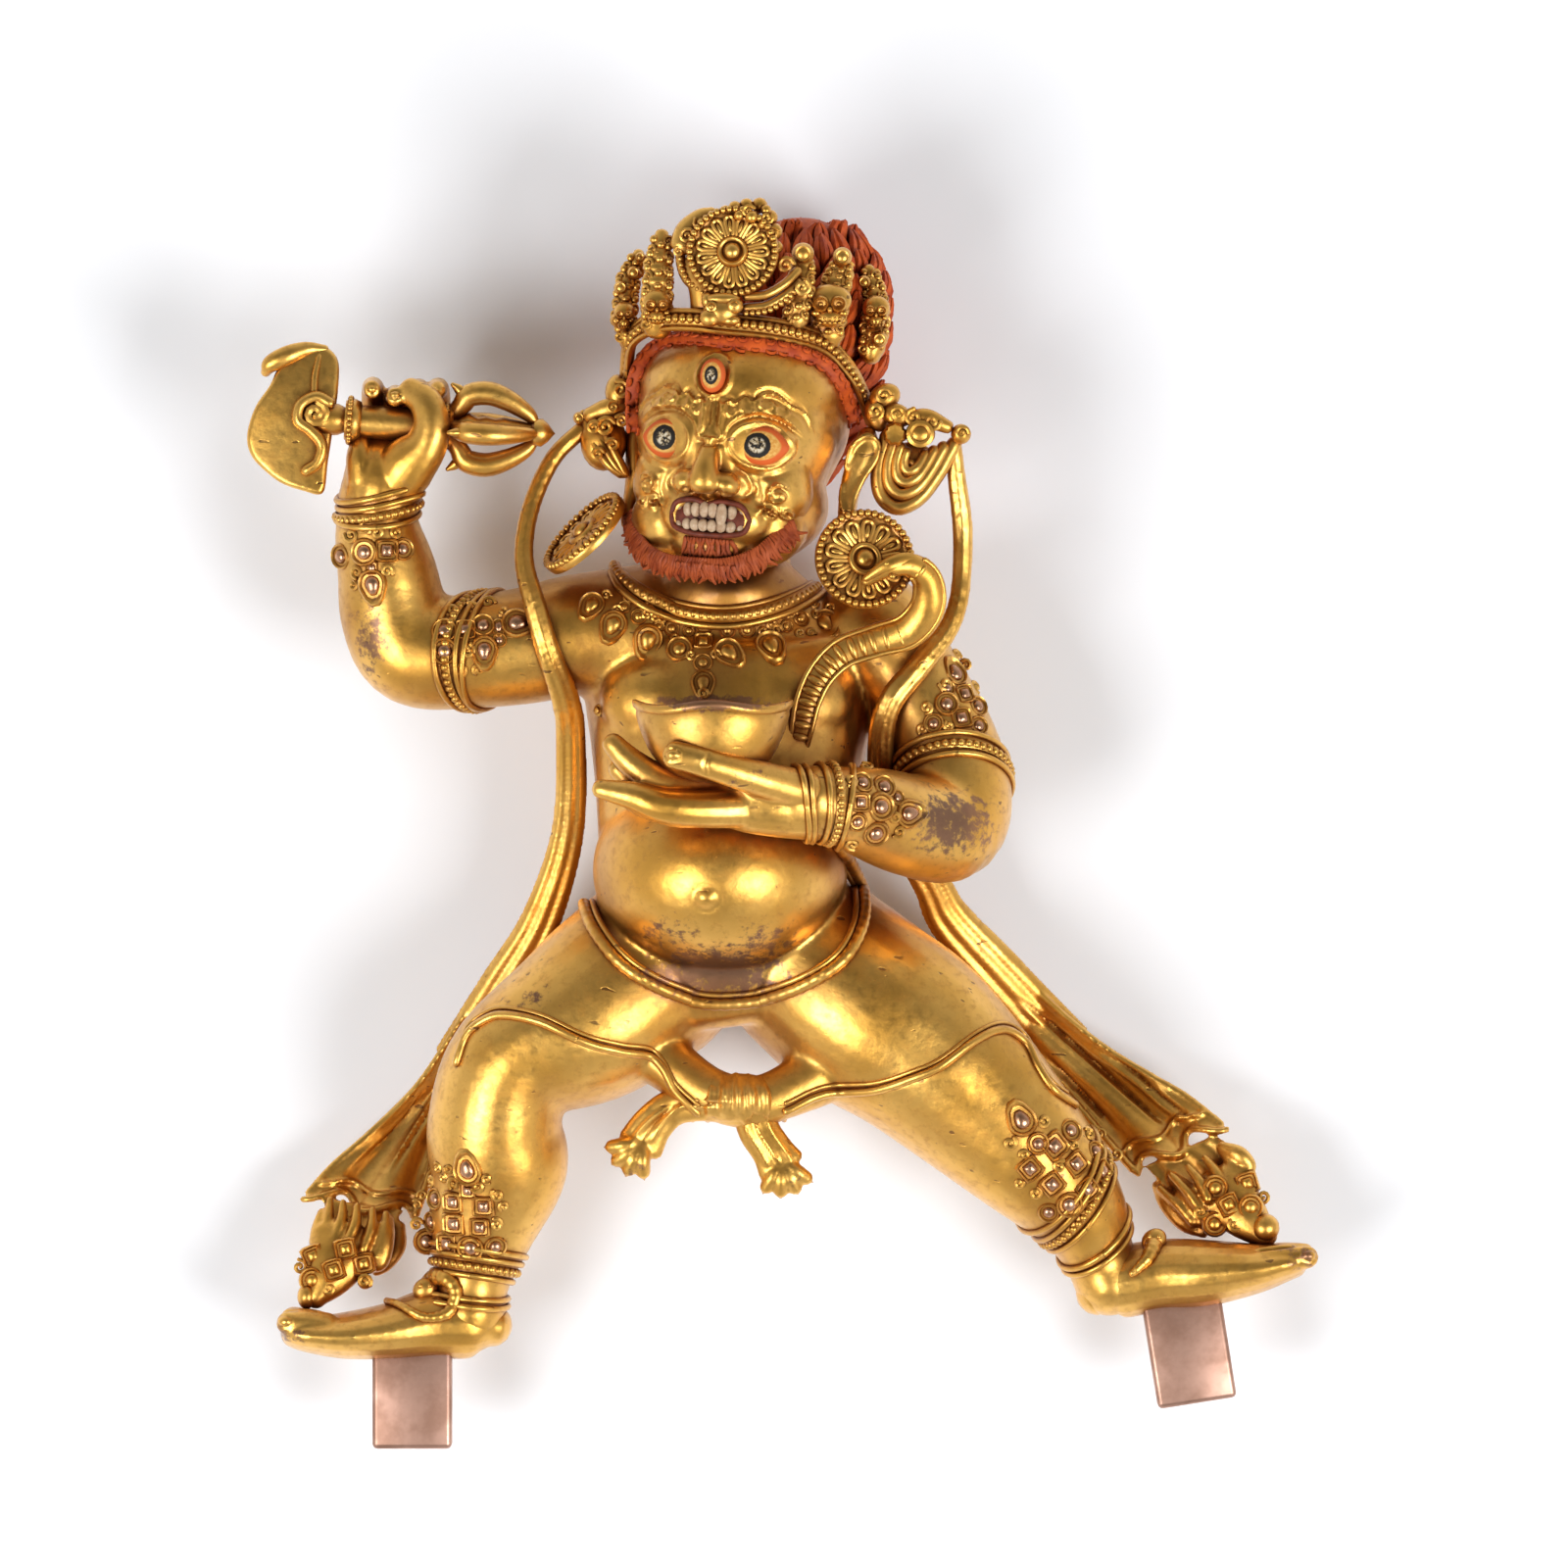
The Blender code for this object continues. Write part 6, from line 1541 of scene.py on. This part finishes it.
# Turned parts of the handle: pommel, grip with its two collars, and the spike with the prongs round it
HANDLE_PARTS = (
    ((0, -22.6), (3.2, -22.4), (4.3, -19), (4, -15.6), (3.2, -13.8), (3.2, -12.6), (0, -12.6)), ((0, -13.8),
     (5, -13.8), (5.6, -12.6), (5.6, -11.4), (4.9, -9.9), (4.1, -9.6), (4.3, -5), (4.3, 5), (4.1, 9.6),
     (4.9, 9.9), (5.6, 11), (5, 12), (5.5, 13), (4.6, 13.8), (0, 13.8)), ((0, 12.8), (2.8, 13), (2.6, 15),
     (3.9, 17.6), (2.9, 20), (3.4, 22), (2.9, 24.4), (3.3, 26.6), (2.8, 30), (2.2, 33.6), (3.4, 34.4),
     (3.6, 36.4), (2.3, 38), (0, 39.8)),
)


def chopper_piece():
    casting = Casting()
    blade = bmesh.new()
    outline = [blade.verts.new((x, y, 55.0)) for x, y in smooth_curve(BLADE + BLADE[:1], 4)[:-1]]
    grown = bmesh.ops.extrude_face_region(blade, geom=[blade.faces.new(outline)])["geom"]
    bmesh.ops.translate(blade, vec=(0, 0, 3.0),
                        verts=[item for item in grown if isinstance(item, bmesh.types.BMVert)])
    bmesh.ops.recalc_face_normals(blade, faces=blade.faces[:])
    edges = [edge for face in blade.faces if len(face.verts) > 8 for edge in face.edges]
    bmesh.ops.bevel(blade, geom=edges, offset=0.8, offset_type="OFFSET", affect="EDGES", segments=3,
                    profile=0.5, material=-1)
    bmesh.ops.triangulate(blade, faces=[face for face in blade.faces if len(face.verts) > 4])
    casting.take(blade)
    skin = melted(casting, 0.5, 6, "blade")
    for vert in skin.vertices:
        lean = (vert.co.y - 102) / 20
        bow = (vert.co.x + 124) / 14
        vert.co.z += 1.3 * (1 - bow * bow) - 2.2 * max(0.0, lean) ** 2 - 0.5
    casting = Casting()
    casting.join(thinned(skin, 14000, "blade"))
    hook = (
        (-132, 115.6, 55.4, 1.3, 1.5), (-130.6, 117.6, 57, 2.3, 1.9), (-126.4, 119.8, 57.4, 2.5, 1.9),
        (-121.6, 121.4, 56.2, 1.9, 1.5), (-117, 121.4, 55.2, 1.1, 1.2),
    )
    casting.take(loft(hook, sides=14))
    casting.take(cord(((-118.4, 119.6, 56.2), (-119.4, 114.6, 57.9), (-119.6, 109.8, 58.8)), 0.9))
    scroll = (
        (-115.6, 107.6, 59.8), (-119, 109.2, 60), (-122.9, 107.2, 60), (-123.6, 103.2, 60),
        (-120.4, 100.6, 59.8), (-117.6, 97, 59.6), (-118.6, 92.6, 59.4), (-121.6, 90.4, 59),
    )
    casting.take(cord(scroll, 1.5))
    curl(casting, at(-119.2, 104.8, 60), 3.2, 1.5, -1, 1.4, 1.0)
    local = Casting()
    local.take(*(lathe(profile, ALONG, sides=28) for profile in HANDLE_PARTS))
    for shift in (-12.6, 11.9):
        ring = [Vector((shift, x, y)) for x, y in around((0, 0), (5.6, 5.6), count=28)]
        bead_row(local, ring, 0.85, facing=(1, 0, 0))
    prong = (
        (12.6, 2.6, 0, 2), (15.4, 5.4, 0, 2.5), (17.6, 8.4, 0, 3), (22.6, 9.2, 0, 3.1), (28, 7.4, 0, 2.7),
        (32.6, 4.6, 0, 2), (34.8, 2.2, 0, 1.1),
    )
    barb = ((17, 7.6, 0, 1.7, 1.5), (14.8, 9.6, 0, 1.4, 1.2), (13, 10.9, 0, 0.6, 0.6))
    spine = ((16, 8.4, 0), (19.6, 10.6, 0), (24.6, 10.4, 0), (30, 8, 0))
    for quarter in range(4):
        turn = Matrix.Rotation(quarter * math.pi / 2 + 0.16, 4, "X")
        stations = [(*station, station[3] * 0.95) for station in prong]
        for shape in (loft(stations, sides=12, steps=4), loft(barb), cord(spine, 0.7)):
            local.take(moved(shape, turn))
    handle = local.mesh("handle")
    handle.transform(GRIP)
    casting.join(handle)
    return casting


TENON = (20.3, 22.8, 10.0)


def tenons():
    casting = Casting()
    wide, tall, deep = TENON
    for x, y, lean in ((-95.1, -134, 0), (101.8, -122.6, math.radians(9))):
        shape = bmesh.new()
        bmesh.ops.create_cube(shape, size=1.0, matrix=Matrix.Diagonal((wide, tall + 4, deep, 1)))
        bmesh.ops.bevel(shape, geom=shape.edges[:], offset=1.3, offset_type="OFFSET", affect="EDGES",
                        segments=3, profile=0.5, material=-1)
        place = at(x, y, 37) @ Matrix.Rotation(lean, 4, "Z") @ at(0, (4 - tall) / 2 - 2.6, 0)
        casting.take(moved(shape, place))
    return casting


# Body relief

def carve_hands(relief):
    """Nails, the thumb's crease and the gap behind each big toe."""
    for x, y, wide, tall in (
        (-28.2, 18, 2, 1.5), (-104.8, 111, 1.5, 1.2), (-99, 109.6, 1.5, 1.2), (-127.6, -126.4, 1.9, 1.6),
        (134.2, -109.6, 1.9, 1.6),
    ):
        relief.stroke(around((x, y), (wide, tall)), 0.4, -0.5, taper=0)
    for x, y in ((-27.8, 18), (-127.4, -126.4), (134, -109.6)):
        relief.stroke([(x - 0.5, y), (x + 0.5, y)], 1.2, 0.35, taper=0)
    relief.stroke([(-19.4, 12.6), (-19.8, 15.4), (-18.6, 18.8)], 0.5, -0.4)
    for gap in (
        ((-133, -122.6), (-126, -123.2), (-119, -123.6)), ((120, -108.4), (128, -107.4), (137, -106.6)),
    ):
        relief.stroke(gap, 0.6, -1.1)
    relief.press()


def carve_body(relief):
    """The navel and the edges of the cloth over the thighs."""
    relief.stroke(around((-19.8, -18.4), (3.2, 3.0)), 0.6, -0.35, taper=0)
    relief.stroke([(-20.2, -18.4), (-19.4, -18.4)], 1.9, 1.0, taper=0)
    for hem in HEMS:
        relief.ledge(hem[::-1], 0.5, 0.7, 9.0)
    relief.press()


# Materials

def wire(tree, kind, settings=(), **inputs):
    """A node with its settings, and its inputs by name: a value or another node's output."""
    node = tree.nodes.new(kind)
    for name, value in dict(settings).items():
        setattr(node, name, value)
    for name, value in inputs.items():
        socket = node.inputs[int(name[1:])] if name[0] == "_" else node.inputs[name.replace("_", " ")]
        if isinstance(value, bpy.types.NodeSocket):
            tree.links.new(value, socket)
        else:
            socket.default_value = value
    return node


def maths(tree, operation, first, second=0.0, third=0.0):
    return wire(tree, "ShaderNodeMath", {"operation": operation}, _0=first, _1=second, _2=third).outputs[0]


def ranged(tree, value, low, high, to_low=0.0, to_high=1.0):
    return wire(tree, "ShaderNodeMapRange", {"interpolation_type": "SMOOTHSTEP"}, _0=value, _1=low, _2=high,
                _3=to_low, _4=to_high).outputs[0]


def blended(tree, share, first, second):
    return wire(tree, "ShaderNodeMix", {"data_type": "RGBA"}, _0=share, _6=first, _7=second).outputs[2]


def noise(tree, where, scale, detail=3.0, rough=0.55):
    node = wire(tree, "ShaderNodeTexNoise", Vector=where, Scale=scale, Detail=detail, Roughness=rough)
    return node.outputs[0]


def new_group(name, outputs):
    tree = bpy.data.node_groups.new(name, "ShaderNodeTree")
    for label, kind in outputs:
        tree.interface.new_socket(label, in_out="OUTPUT", socket_type=kind)
    return tree


def gilding_group():
    """Colour, roughness and height of rubbed fire gilding worn by handling, with patina and painted shade in the
    hollows and painted shade under overhangs.
    """
    tree = new_group("fire gilding", (("Color", "NodeSocketColor"), ("Roughness", "NodeSocketFloat"),
                                      ("Height", "NodeSocketFloat")))
    where = wire(tree, "ShaderNodeTexCoord").outputs["Object"]
    close, wide = (
        wire(tree, "ShaderNodeAmbientOcclusion", {"samples": rays, "only_local": False}, Distance=reach).outputs["AO"]
        for rays, reach in ((6, 0.0035), (5, 0.024)))
    broad = noise(tree, where, 42.0)
    fine = noise(tree, where, 420.0, 5.0, 0.65)
    grain = noise(tree, where, 1500.0, 2.0)
    slanted = wire(tree, "ShaderNodeMapping", Vector=where, Rotation=(0.3, 0.2, 0.9), Scale=(0.3, 1, 1))
    slanted = slanted.outputs[0]
    nick = noise(tree, slanted, 520.0, 1.0, 0.5)
    patch = noise(tree, where, 110.0, 2.0)
    # Patina and painted shade in the close hollows, and painted shade under overhangs and between forms, both read
    # from the ambient occlusion
    hollow_patina_and_shade = ranged(tree, close, 0.30, 0.90, 1.0, 0.0)
    shade = ranged(tree, wide, 0.15, 0.92, 1.0, 0.0)
    base = blended(tree, ranged(tree, broad, 0.35, 0.68), (0.82, 0.465, 0.10, 1), (0.70, 0.355, 0.052, 1))
    cloudy = maths(tree, "MULTIPLY", ranged(tree, fine, 0.46, 0.72), 0.62)
    base = blended(tree, cloudy, base, (0.52, 0.25, 0.045, 1))
    # Painted shade: orange-brown under overhangs, then dark brown patina and painted shade in the hollows
    base = blended(tree, maths(tree, "MULTIPLY", shade, 0.85), base, (0.44, 0.155, 0.02, 1))
    base = blended(tree, maths(tree, "MULTIPLY", hollow_patina_and_shade, 0.85), base, (0.20, 0.055, 0.008, 1))
    pits = maths(tree, "MULTIPLY", ranged(tree, fine, 0.68, 0.76), ranged(tree, grain, 0.45, 0.6))
    nicks = maths(tree, "MULTIPLY", ranged(tree, nick, 0.715, 0.745), ranged(tree, patch, 0.46, 0.58))
    marks = maths(tree, "MAXIMUM", pits, nicks)
    base = blended(tree, maths(tree, "MULTIPLY", marks, 0.75), base, (0.14, 0.055, 0.02, 1))
    wear = wire(tree, "ShaderNodeAttribute", {"attribute_name": "wear"}).outputs["Fac"]
    rubbed = maths(tree, "ADD", wear, maths(tree, "MULTIPLY", maths(tree, "SUBTRACT", fine, 0.5), 1.5))
    rubbed = maths(tree, "MULTIPLY", ranged(tree, rubbed, 0.46, 0.76), ranged(tree, wear, 0.02, 0.2))
    copper = blended(tree, ranged(tree, broad, 0.4, 0.6), (0.15, 0.07, 0.055, 1), (0.30, 0.14, 0.08, 1))
    base = blended(tree, maths(tree, "MULTIPLY", rubbed, 0.88), base, copper)
    rough = maths(tree, "MULTIPLY_ADD", fine, 0.36, 0.18)
    rough = maths(tree, "MULTIPLY_ADD", hollow_patina_and_shade, 0.14, rough)
    rough = maths(tree, "MULTIPLY_ADD", rubbed, 0.06, rough)
    height = maths(tree, "MULTIPLY_ADD", broad, 1.6, maths(tree, "MULTIPLY", patch, 1.0))
    height = maths(tree, "MULTIPLY_ADD", fine, 0.30, height)
    height = maths(tree, "MULTIPLY_ADD", marks, -0.4, height)
    # Painted shade: the gilding darkens at the painted shade spots, to near black where they are strongest
    painted_shade = wire(tree, "ShaderNodeAttribute", {"attribute_name": "painted_shade"}).outputs["Fac"]
    painted_shade = maths(tree, "MULTIPLY", painted_shade, ranged(tree, broad, 0.25, 0.6, 0.6, 1.0))
    rough = maths(tree, "MULTIPLY_ADD", painted_shade, 0.3, rough)
    base = blended(tree, painted_shade, base, (0.22, 0.07, 0.012, 1))
    base = blended(tree, ranged(tree, painted_shade, 0.55, 0.95, 0.0, 0.85), base, (0.045, 0.016, 0.005, 1))
    out = wire(tree, "NodeGroupOutput", Color=base, Roughness=rough, Height=height)
    out.is_active_output = True
    return tree


def shaded(name, metallic):
    material = bpy.data.materials.new(name)
    material.use_nodes = True
    shader = material.node_tree.nodes["Principled BSDF"]
    shader.inputs["Metallic"].default_value = metallic
    if not metallic:
        shader.inputs["Specular IOR Level"].default_value = 0.25
    return material, material.node_tree, shader


def gilded(name, group, strength=0.42):
    material, tree, shader = shaded(name, 1.0)
    source = wire(tree, "ShaderNodeGroup", {"node_tree": group})
    tree.links.new(source.outputs["Color"], shader.inputs["Base Color"])
    tree.links.new(source.outputs["Roughness"], shader.inputs["Roughness"])
    shader.inputs["Coat Weight"].default_value = 0.4
    shader.inputs["Coat Roughness"].default_value = 0.32
    bump = wire(tree, "ShaderNodeBump", Strength=strength, Distance=0.0006, Height=source.outputs["Height"])
    tree.links.new(bump.outputs[0], shader.inputs["Normal"])
    return material


def painted(name, bright, deep, dark, metallic=0.0, rough=0.5, scale=520.0):
    """Mineral paint or bare metal with a little unevenness, and painted shade that darkens it in the recesses."""
    material, tree, shader = shaded(name, metallic)
    where = wire(tree, "ShaderNodeTexCoord").outputs["Object"]
    close = wire(tree, "ShaderNodeAmbientOcclusion", {"samples": 6}, Distance=0.003).outputs["AO"]
    spots = noise(tree, where, scale, 4.0, 0.6)
    base = blended(tree, ranged(tree, spots, 0.35, 0.7), bright, deep)
    # Painted shade: the colour darkens towards the dark colour in the hollows
    base = blended(tree, ranged(tree, close, 0.2, 0.9, 0.85, 0.0), base, dark)
    tree.links.new(base, shader.inputs["Base Color"])
    tree.links.new(maths(tree, "MULTIPLY_ADD", spots, 0.2, rough - 0.1), shader.inputs["Roughness"])
    bump = wire(tree, "ShaderNodeBump", Strength=0.3, Distance=0.0003, Height=spots)
    tree.links.new(bump.outputs[0], shader.inputs["Normal"])
    return material


def eye_paint(name, iris, centre):
    """Painted eyeball: red rim line, gold-orange white, black ring and a flaked white pupil."""
    material, tree, shader = shaded(name, 0.0)
    where = wire(tree, "ShaderNodeAttribute", {"attribute_name": "plan"}).outputs["Vector"]
    parts = wire(tree, "ShaderNodeSeparateXYZ", Vector=where)
    ragged = noise(tree, wire(tree, "ShaderNodeTexCoord").outputs["Object"], 900.0, 3.0, 0.7)
    wobble = maths(tree, "MULTIPLY", maths(tree, "SUBTRACT", ragged, 0.5), 0.5)
    across = maths(tree, "SUBTRACT", parts.outputs[0], centre[0])
    upward = maths(tree, "SUBTRACT", parts.outputs[1], centre[1])
    square = maths(tree, "ADD", maths(tree, "POWER", maths(tree, "DIVIDE", across, iris[0]), 2.0),
                   maths(tree, "POWER", maths(tree, "DIVIDE", upward, iris[1]), 2.0))
    reach = maths(tree, "ADD", maths(tree, "SQRT", square), maths(tree, "MULTIPLY", wobble, 0.25))
    rim = parts.outputs[2]
    white = blended(tree, ranged(tree, ragged, 0.42, 0.62), (0.60, 0.27, 0.05, 1), (0.72, 0.42, 0.11, 1))
    base = blended(tree, ranged(tree, maths(tree, "ADD", rim, maths(tree, "MULTIPLY", wobble, 0.3)),
                                0.70, 0.80),
                   white, (0.62, 0.11, 0.02, 1))
    base = blended(tree, ranged(tree, reach, 1.06, 1.0), base, (0.012, 0.009, 0.007, 1))
    flake = blended(tree, ranged(tree, ragged, 0.48, 0.60), (0.34, 0.23, 0.10, 1), (0.60, 0.53, 0.40, 1))
    flaked = maths(tree, "MULTIPLY", ranged(tree, reach, 0.74, 0.54), ranged(tree, ragged, 0.44, 0.52))
    base = blended(tree, flaked, base, flake)
    tree.links.new(base, shader.inputs["Base Color"])
    shader.inputs["Roughness"].default_value = 0.62
    return material


# The finished pieces

WEAR = (
    (-17, -37, 23, 8, 0.95), (-30, -27, 11, 8, 0.6), (-4, -30, 14, 8, 0.65), (43, 1, 14, 11, 0.85),
    (-63, -44, 12, 5, 0.6), (-105, 48, 6, 15, 0.7), (-18, 31, 21, 2.6, 0.95), (-8, 12, 9, 4, 0.5),
    (-128, -130, 9, 5, 0.6), (132, -110, 8, 5, 0.7), (-116, 95, 9, 6, 0.45), (-12, 10.6, 10, 3, 0.5),
    (-97, 85, 8, 6, 0.35), (-38, -88, 5, 4, 0.5), (4, -90, 7, 4, 0.5), (-30, 0, 14, 5, 0.25),
)


# Painted shade: spots of middle x and y, half width, half height and strength where the gilding is darkened as if in
# shade, deepest at the neck under the chin
PAINTED_SHADE_SPOTS = (
    (-12, 96, 30, 34, 0.12), (-13.5, 62.4, 25, 6, 1), (-18, 38, 9, 5, 0.45), (-12, -62, 20, 8, 0.5),
    (32, 22, 6, 10, 0.5), (-50, 40, 5, 12, 0.4), (-40, 20, 8, 8, 0.3), (24, -8, 8, 12, 0.45),
    (-17, -44, 34, 4, 0.45), (-46, -20, 5, 14, 0.35), (-66, 60, 8, 8, 0.35), (-97, -100, 5, 20, 0.3),
    (66, -100, 8, 10, 0.3), (-112, 52, 5, 20, 0.35), (-32, 26, 12, 5, 0.35), (60, -50, 8, 8, 0.2),
    (-88, 36, 12, 5, 0.35), (3, 24, 7, 9, 0.5), (-70, -90, 5, 16, 0.25), (40, -78, 14, 6, 0.25),
    (-60, -68, 12, 4, 0.3),
)


def worn_and_painted_shade(mesh):
    """Marks each point with how far the gilding is rubbed, and how much painted shade darkens it, there."""
    spots = points_of(mesh)
    for name, marks in (("wear", WEAR), ("painted_shade", PAINTED_SHADE_SPOTS)):
        amount = np.zeros(len(spots), np.float32)
        for x, y, wide, tall, strength in marks:
            reach = ((spots[:, 0] - x) / wide) ** 2 + ((spots[:, 1] - y) / tall) ** 2
            amount = np.maximum(amount, strength * np.exp(-reach))
        mesh.attributes.new(name, "FLOAT", "POINT").data.foreach_set("value", amount)


def show(name, mesh, material, node="figure", slot=None):
    """Puts a finished mesh, in figure units, in its place and at its size."""
    if slot:
        worn_and_painted_shade(mesh)
    mesh.transform(Matrix.Scale(UNIT, 4))
    mesh.materials.clear()
    mesh.materials.append(material)
    mesh.shade_smooth()
    mesh.set_sharp_from_angle(angle=math.radians(50))
    piece = placed(name, mesh)
    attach(piece, "root")
    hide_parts(node)


gilding = gilding_group()
gilt = gilded("fire gilding", gilding)
chopper_gilt = gilded("gilding of the chopper", gilding)
hair_paint = painted("red hair paint", (0.64, 0.105, 0.013, 1), (0.38, 0.045, 0.008, 1),
                     (0.10, 0.010, 0.003, 1), scale=260.0)
beard_paint = painted("red beard paint", (0.42, 0.085, 0.022, 1), (0.25, 0.040, 0.010, 1),
                      (0.06, 0.009, 0.003, 1), scale=260.0)
lip_paint = painted("dark red lip paint", (0.17, 0.034, 0.015, 1), (0.10, 0.02, 0.009, 1),
                    (0.03, 0.006, 0.003, 1))
tooth_paint = painted("tooth paint", (0.55, 0.40, 0.26, 1), (0.36, 0.21, 0.115, 1), (0.09, 0.03, 0.018, 1),
                      rough=0.4)
stone_metal = painted("bare cabochons", (0.60, 0.34, 0.20, 1), (0.42, 0.21, 0.12, 1), (0.10, 0.04, 0.02, 1),
                      metallic=1.0, rough=0.3)
tenon_metal = painted("bare copper", (0.52, 0.31, 0.235, 1), (0.34, 0.19, 0.135, 1), (0.10, 0.05, 0.04, 1),
                      metallic=1.0, rough=0.42, scale=90.0)

trunk_cast, hand_cast = Casting(), Casting()
body(trunk_cast)
for make in (feet, cup_hand, raised_hand):
    make(hand_cast)
trunk = Relief(melted(trunk_cast, 1.0, 9, "trunk"))
carve_body(trunk)
hands = Relief(melted(hand_cast, 0.55, 3, "hands_and_feet"))
carve_hands(hands)
face = Relief(slimmed(melted(head_shapes(), 0.5, 12, "face")), HEAD)
carve_face(face)
trunk_mesh = thinned(trunk.mesh, 130000, "trunk")
hand_mesh = thinned(hands.mesh, 110000, "hands_and_feet")
face_mesh = thinned(face.mesh, 110000, "face")
ground = Ground(trunk_mesh, hand_mesh, face_mesh)

lips, teeth, gum = lips_and_teeth(face)
strands, curls, locks = Casting(), Casting(), Casting()
beard_strands(strands, face)
hairline(curls, face)
hair_locks(locks)
crown_gold, ear_gold, scarf_cast, snake_cast, jewel_cast, stones = (Casting() for _ in range(6))
crown_piece(crown_gold)
ear_piece(ear_gold)
medallion(ear_gold, Vector((-50.8, 74.4, 60)), Vector((-0.68, 0.68, 0.28)), 12.8, 13)
medallion(ear_gold, Vector((20.4, 67.6, 74)), Vector((0.15, 0.15, 0.95)), 12.4, 13)
scarf_piece(scarf_cast, jewel_cast)
snake_piece(snake_cast, ground)
cloth_cast = cloth_piece(ground)
jewel_piece(jewel_cast, stones, ground)

for name, mesh in (
    ("trunk", trunk_mesh), ("hands_and_feet", hand_mesh), ("face", face_mesh),
    ("crown", crown_gold.mesh("crown")), ("ear_ornaments", ear_gold.mesh("ear_ornaments")),
    ("scarf", thinned(carved_scarf(scarf_cast), 150000, "scarf")), ("snakes", snake_cast.mesh("snakes")),
    ("loincloth", cloth_cast.mesh("loincloth")), ("jewels", jewel_cast.mesh("jewels")),
    ("skull_cup", shape_mesh("skull_cup", cup_piece())),
):
    show(name, mesh, gilt, slot="fire_gilt")
show("chopper_knife", chopper_piece().mesh("chopper_knife"), chopper_gilt, "chopper", "gilt_of_the_chopper")
for name, casting, material in (
    ("cabochons", stones, stone_metal), ("tenons", tenons(), tenon_metal), ("hair", locks, hair_paint),
    ("hairline_curls", curls, hair_paint), ("beard", strands, beard_paint), ("lips", lips, lip_paint),
    ("mouth_hollow", gum, lip_paint), ("teeth", teeth, tooth_paint),
):
    show(name, casting.mesh(name), material)


def eye(name, centre, radii, depth, pinch, iris, look):
    """An eyeball whose points keep their place in its own plane, and their share of the way to its rim."""
    shape = bmesh.new()
    bmesh.ops.create_uvsphere(shape, u_segments=40, v_segments=24, radius=1.0)
    for vert in shape.verts:
        vert.co.y *= pinched(vert.co.x, pinch)
    place = HEAD @ Matrix.Translation(centre)
    mesh = shape_mesh(name, moved(shape, place @ Matrix.Diagonal((*radii, depth, 1))))
    plan = seen_from(place, points_of(mesh))
    narrow = 1 - abs(pinch) * np.maximum(0.0, plan[:, 0] / radii[0] * (1 if pinch > 0 else -1)) ** 3
    rim = np.sqrt((plan[:, 0] / radii[0]) ** 2 + (plan[:, 1] / (radii[1] * narrow)) ** 2)
    plan = np.stack((plan[:, 0], plan[:, 1], rim), 1).astype(np.float32)
    mesh.attributes.new("plan", "FLOAT_VECTOR", "POINT").data.foreach_set("vector", plan.ravel())
    show(name, mesh, eye_paint(name.replace("_", " ") + " paint", iris, look))



eye("right_eye", (EYE[0] + 0.5, EYE[1], 26.6), (7.0, 4.9), 2.6, 0.45, (3.5, 3.1), (-0.9, 0.0))
eye("left_eye", (-EYE[0], EYE[1], 26.0), (6.2, 5.0), 2.8, -0.4, (2.9, 3.1), (-0.1, 0.1))
eye("third_eye", (-1.2, 18.3, 28.2), (3.3, 4.4), 2.2, 0.0, (1.7, 2.3), (0.0, 0.0))


# Studio

floor_mesh = bpy.data.meshes.new("floor")
floor_shape = bmesh.new()
bmesh.ops.create_grid(floor_shape, x_segments=1, y_segments=1, size=3.0)
floor_shape.to_mesh(floor_mesh)
floor_shape.free()
paper, paper_tree, paper_shader = shaded("white paper", 0.0)
paper_where = wire(paper_tree, "ShaderNodeTexCoord").outputs["Object"]
paper_tone = blended(paper_tree, noise(paper_tree, paper_where, 5.0),
                     (0.93, 0.935, 0.96, 1), (0.95, 0.955, 0.98, 1))
paper_tree.links.new(paper_tone, paper_shader.inputs["Base Color"])
paper_shader.inputs["Roughness"].default_value = 0.8
floor_mesh.materials.append(paper)
floor = placed("floor", floor_mesh)


def softbox(name, spot, size, power):
    light = bpy.data.lights.new(name, "AREA")
    light.shape = "SQUARE"
    light.size = size
    light.energy = power
    light.color = (0.96, 0.98, 1.0)
    thing = bpy.data.objects.new(name, light)
    bpy.context.collection.objects.link(thing)
    aim = Vector((0, 0.02, 0.04)) - Vector(spot)
    thing.matrix_world = Matrix.Translation(spot) @ aim.to_track_quat("-Z", "Y").to_matrix().to_4x4()
    return thing


softbox("right softbox", (0.80, -0.42, 1.20), 0.60, 14.5)
softbox("left softbox", (-0.80, -0.42, 1.20), 0.60, 14.5)

world = bpy.data.worlds.new("studio")
bpy.context.scene.world = world
world.use_nodes = True
sky = world.node_tree
direction = wire(sky, "ShaderNodeSeparateXYZ", Vector=wire(sky, "ShaderNodeTexCoord").outputs["Generated"])
room = blended(sky, ranged(sky, direction.outputs[2], 0.15, 0.95),
               (0.70, 0.69, 0.69, 1), (0.13, 0.12, 0.10, 1))
sky.links.new(room, sky.nodes["Background"].inputs["Color"])

camera_data = bpy.data.cameras.new("camera")
camera = bpy.data.objects.new("camera", camera_data)
bpy.context.collection.objects.link(camera)
CAMERA_HEIGHT = 4.0
SUBJECT_HEIGHT = 0.05
PICTURE_WIDTH = 0.400
PICTURE_MIDDLE = 0.0106
camera_data.sensor_width = 36.0
camera_data.lens = 36.0 * (CAMERA_HEIGHT - SUBJECT_HEIGHT) / PICTURE_WIDTH
camera_data.clip_end = 20.0
camera.location = (0.0, PICTURE_MIDDLE, CAMERA_HEIGHT)
bpy.context.scene.camera = camera
bpy.context.scene.view_settings.view_transform = "Standard"
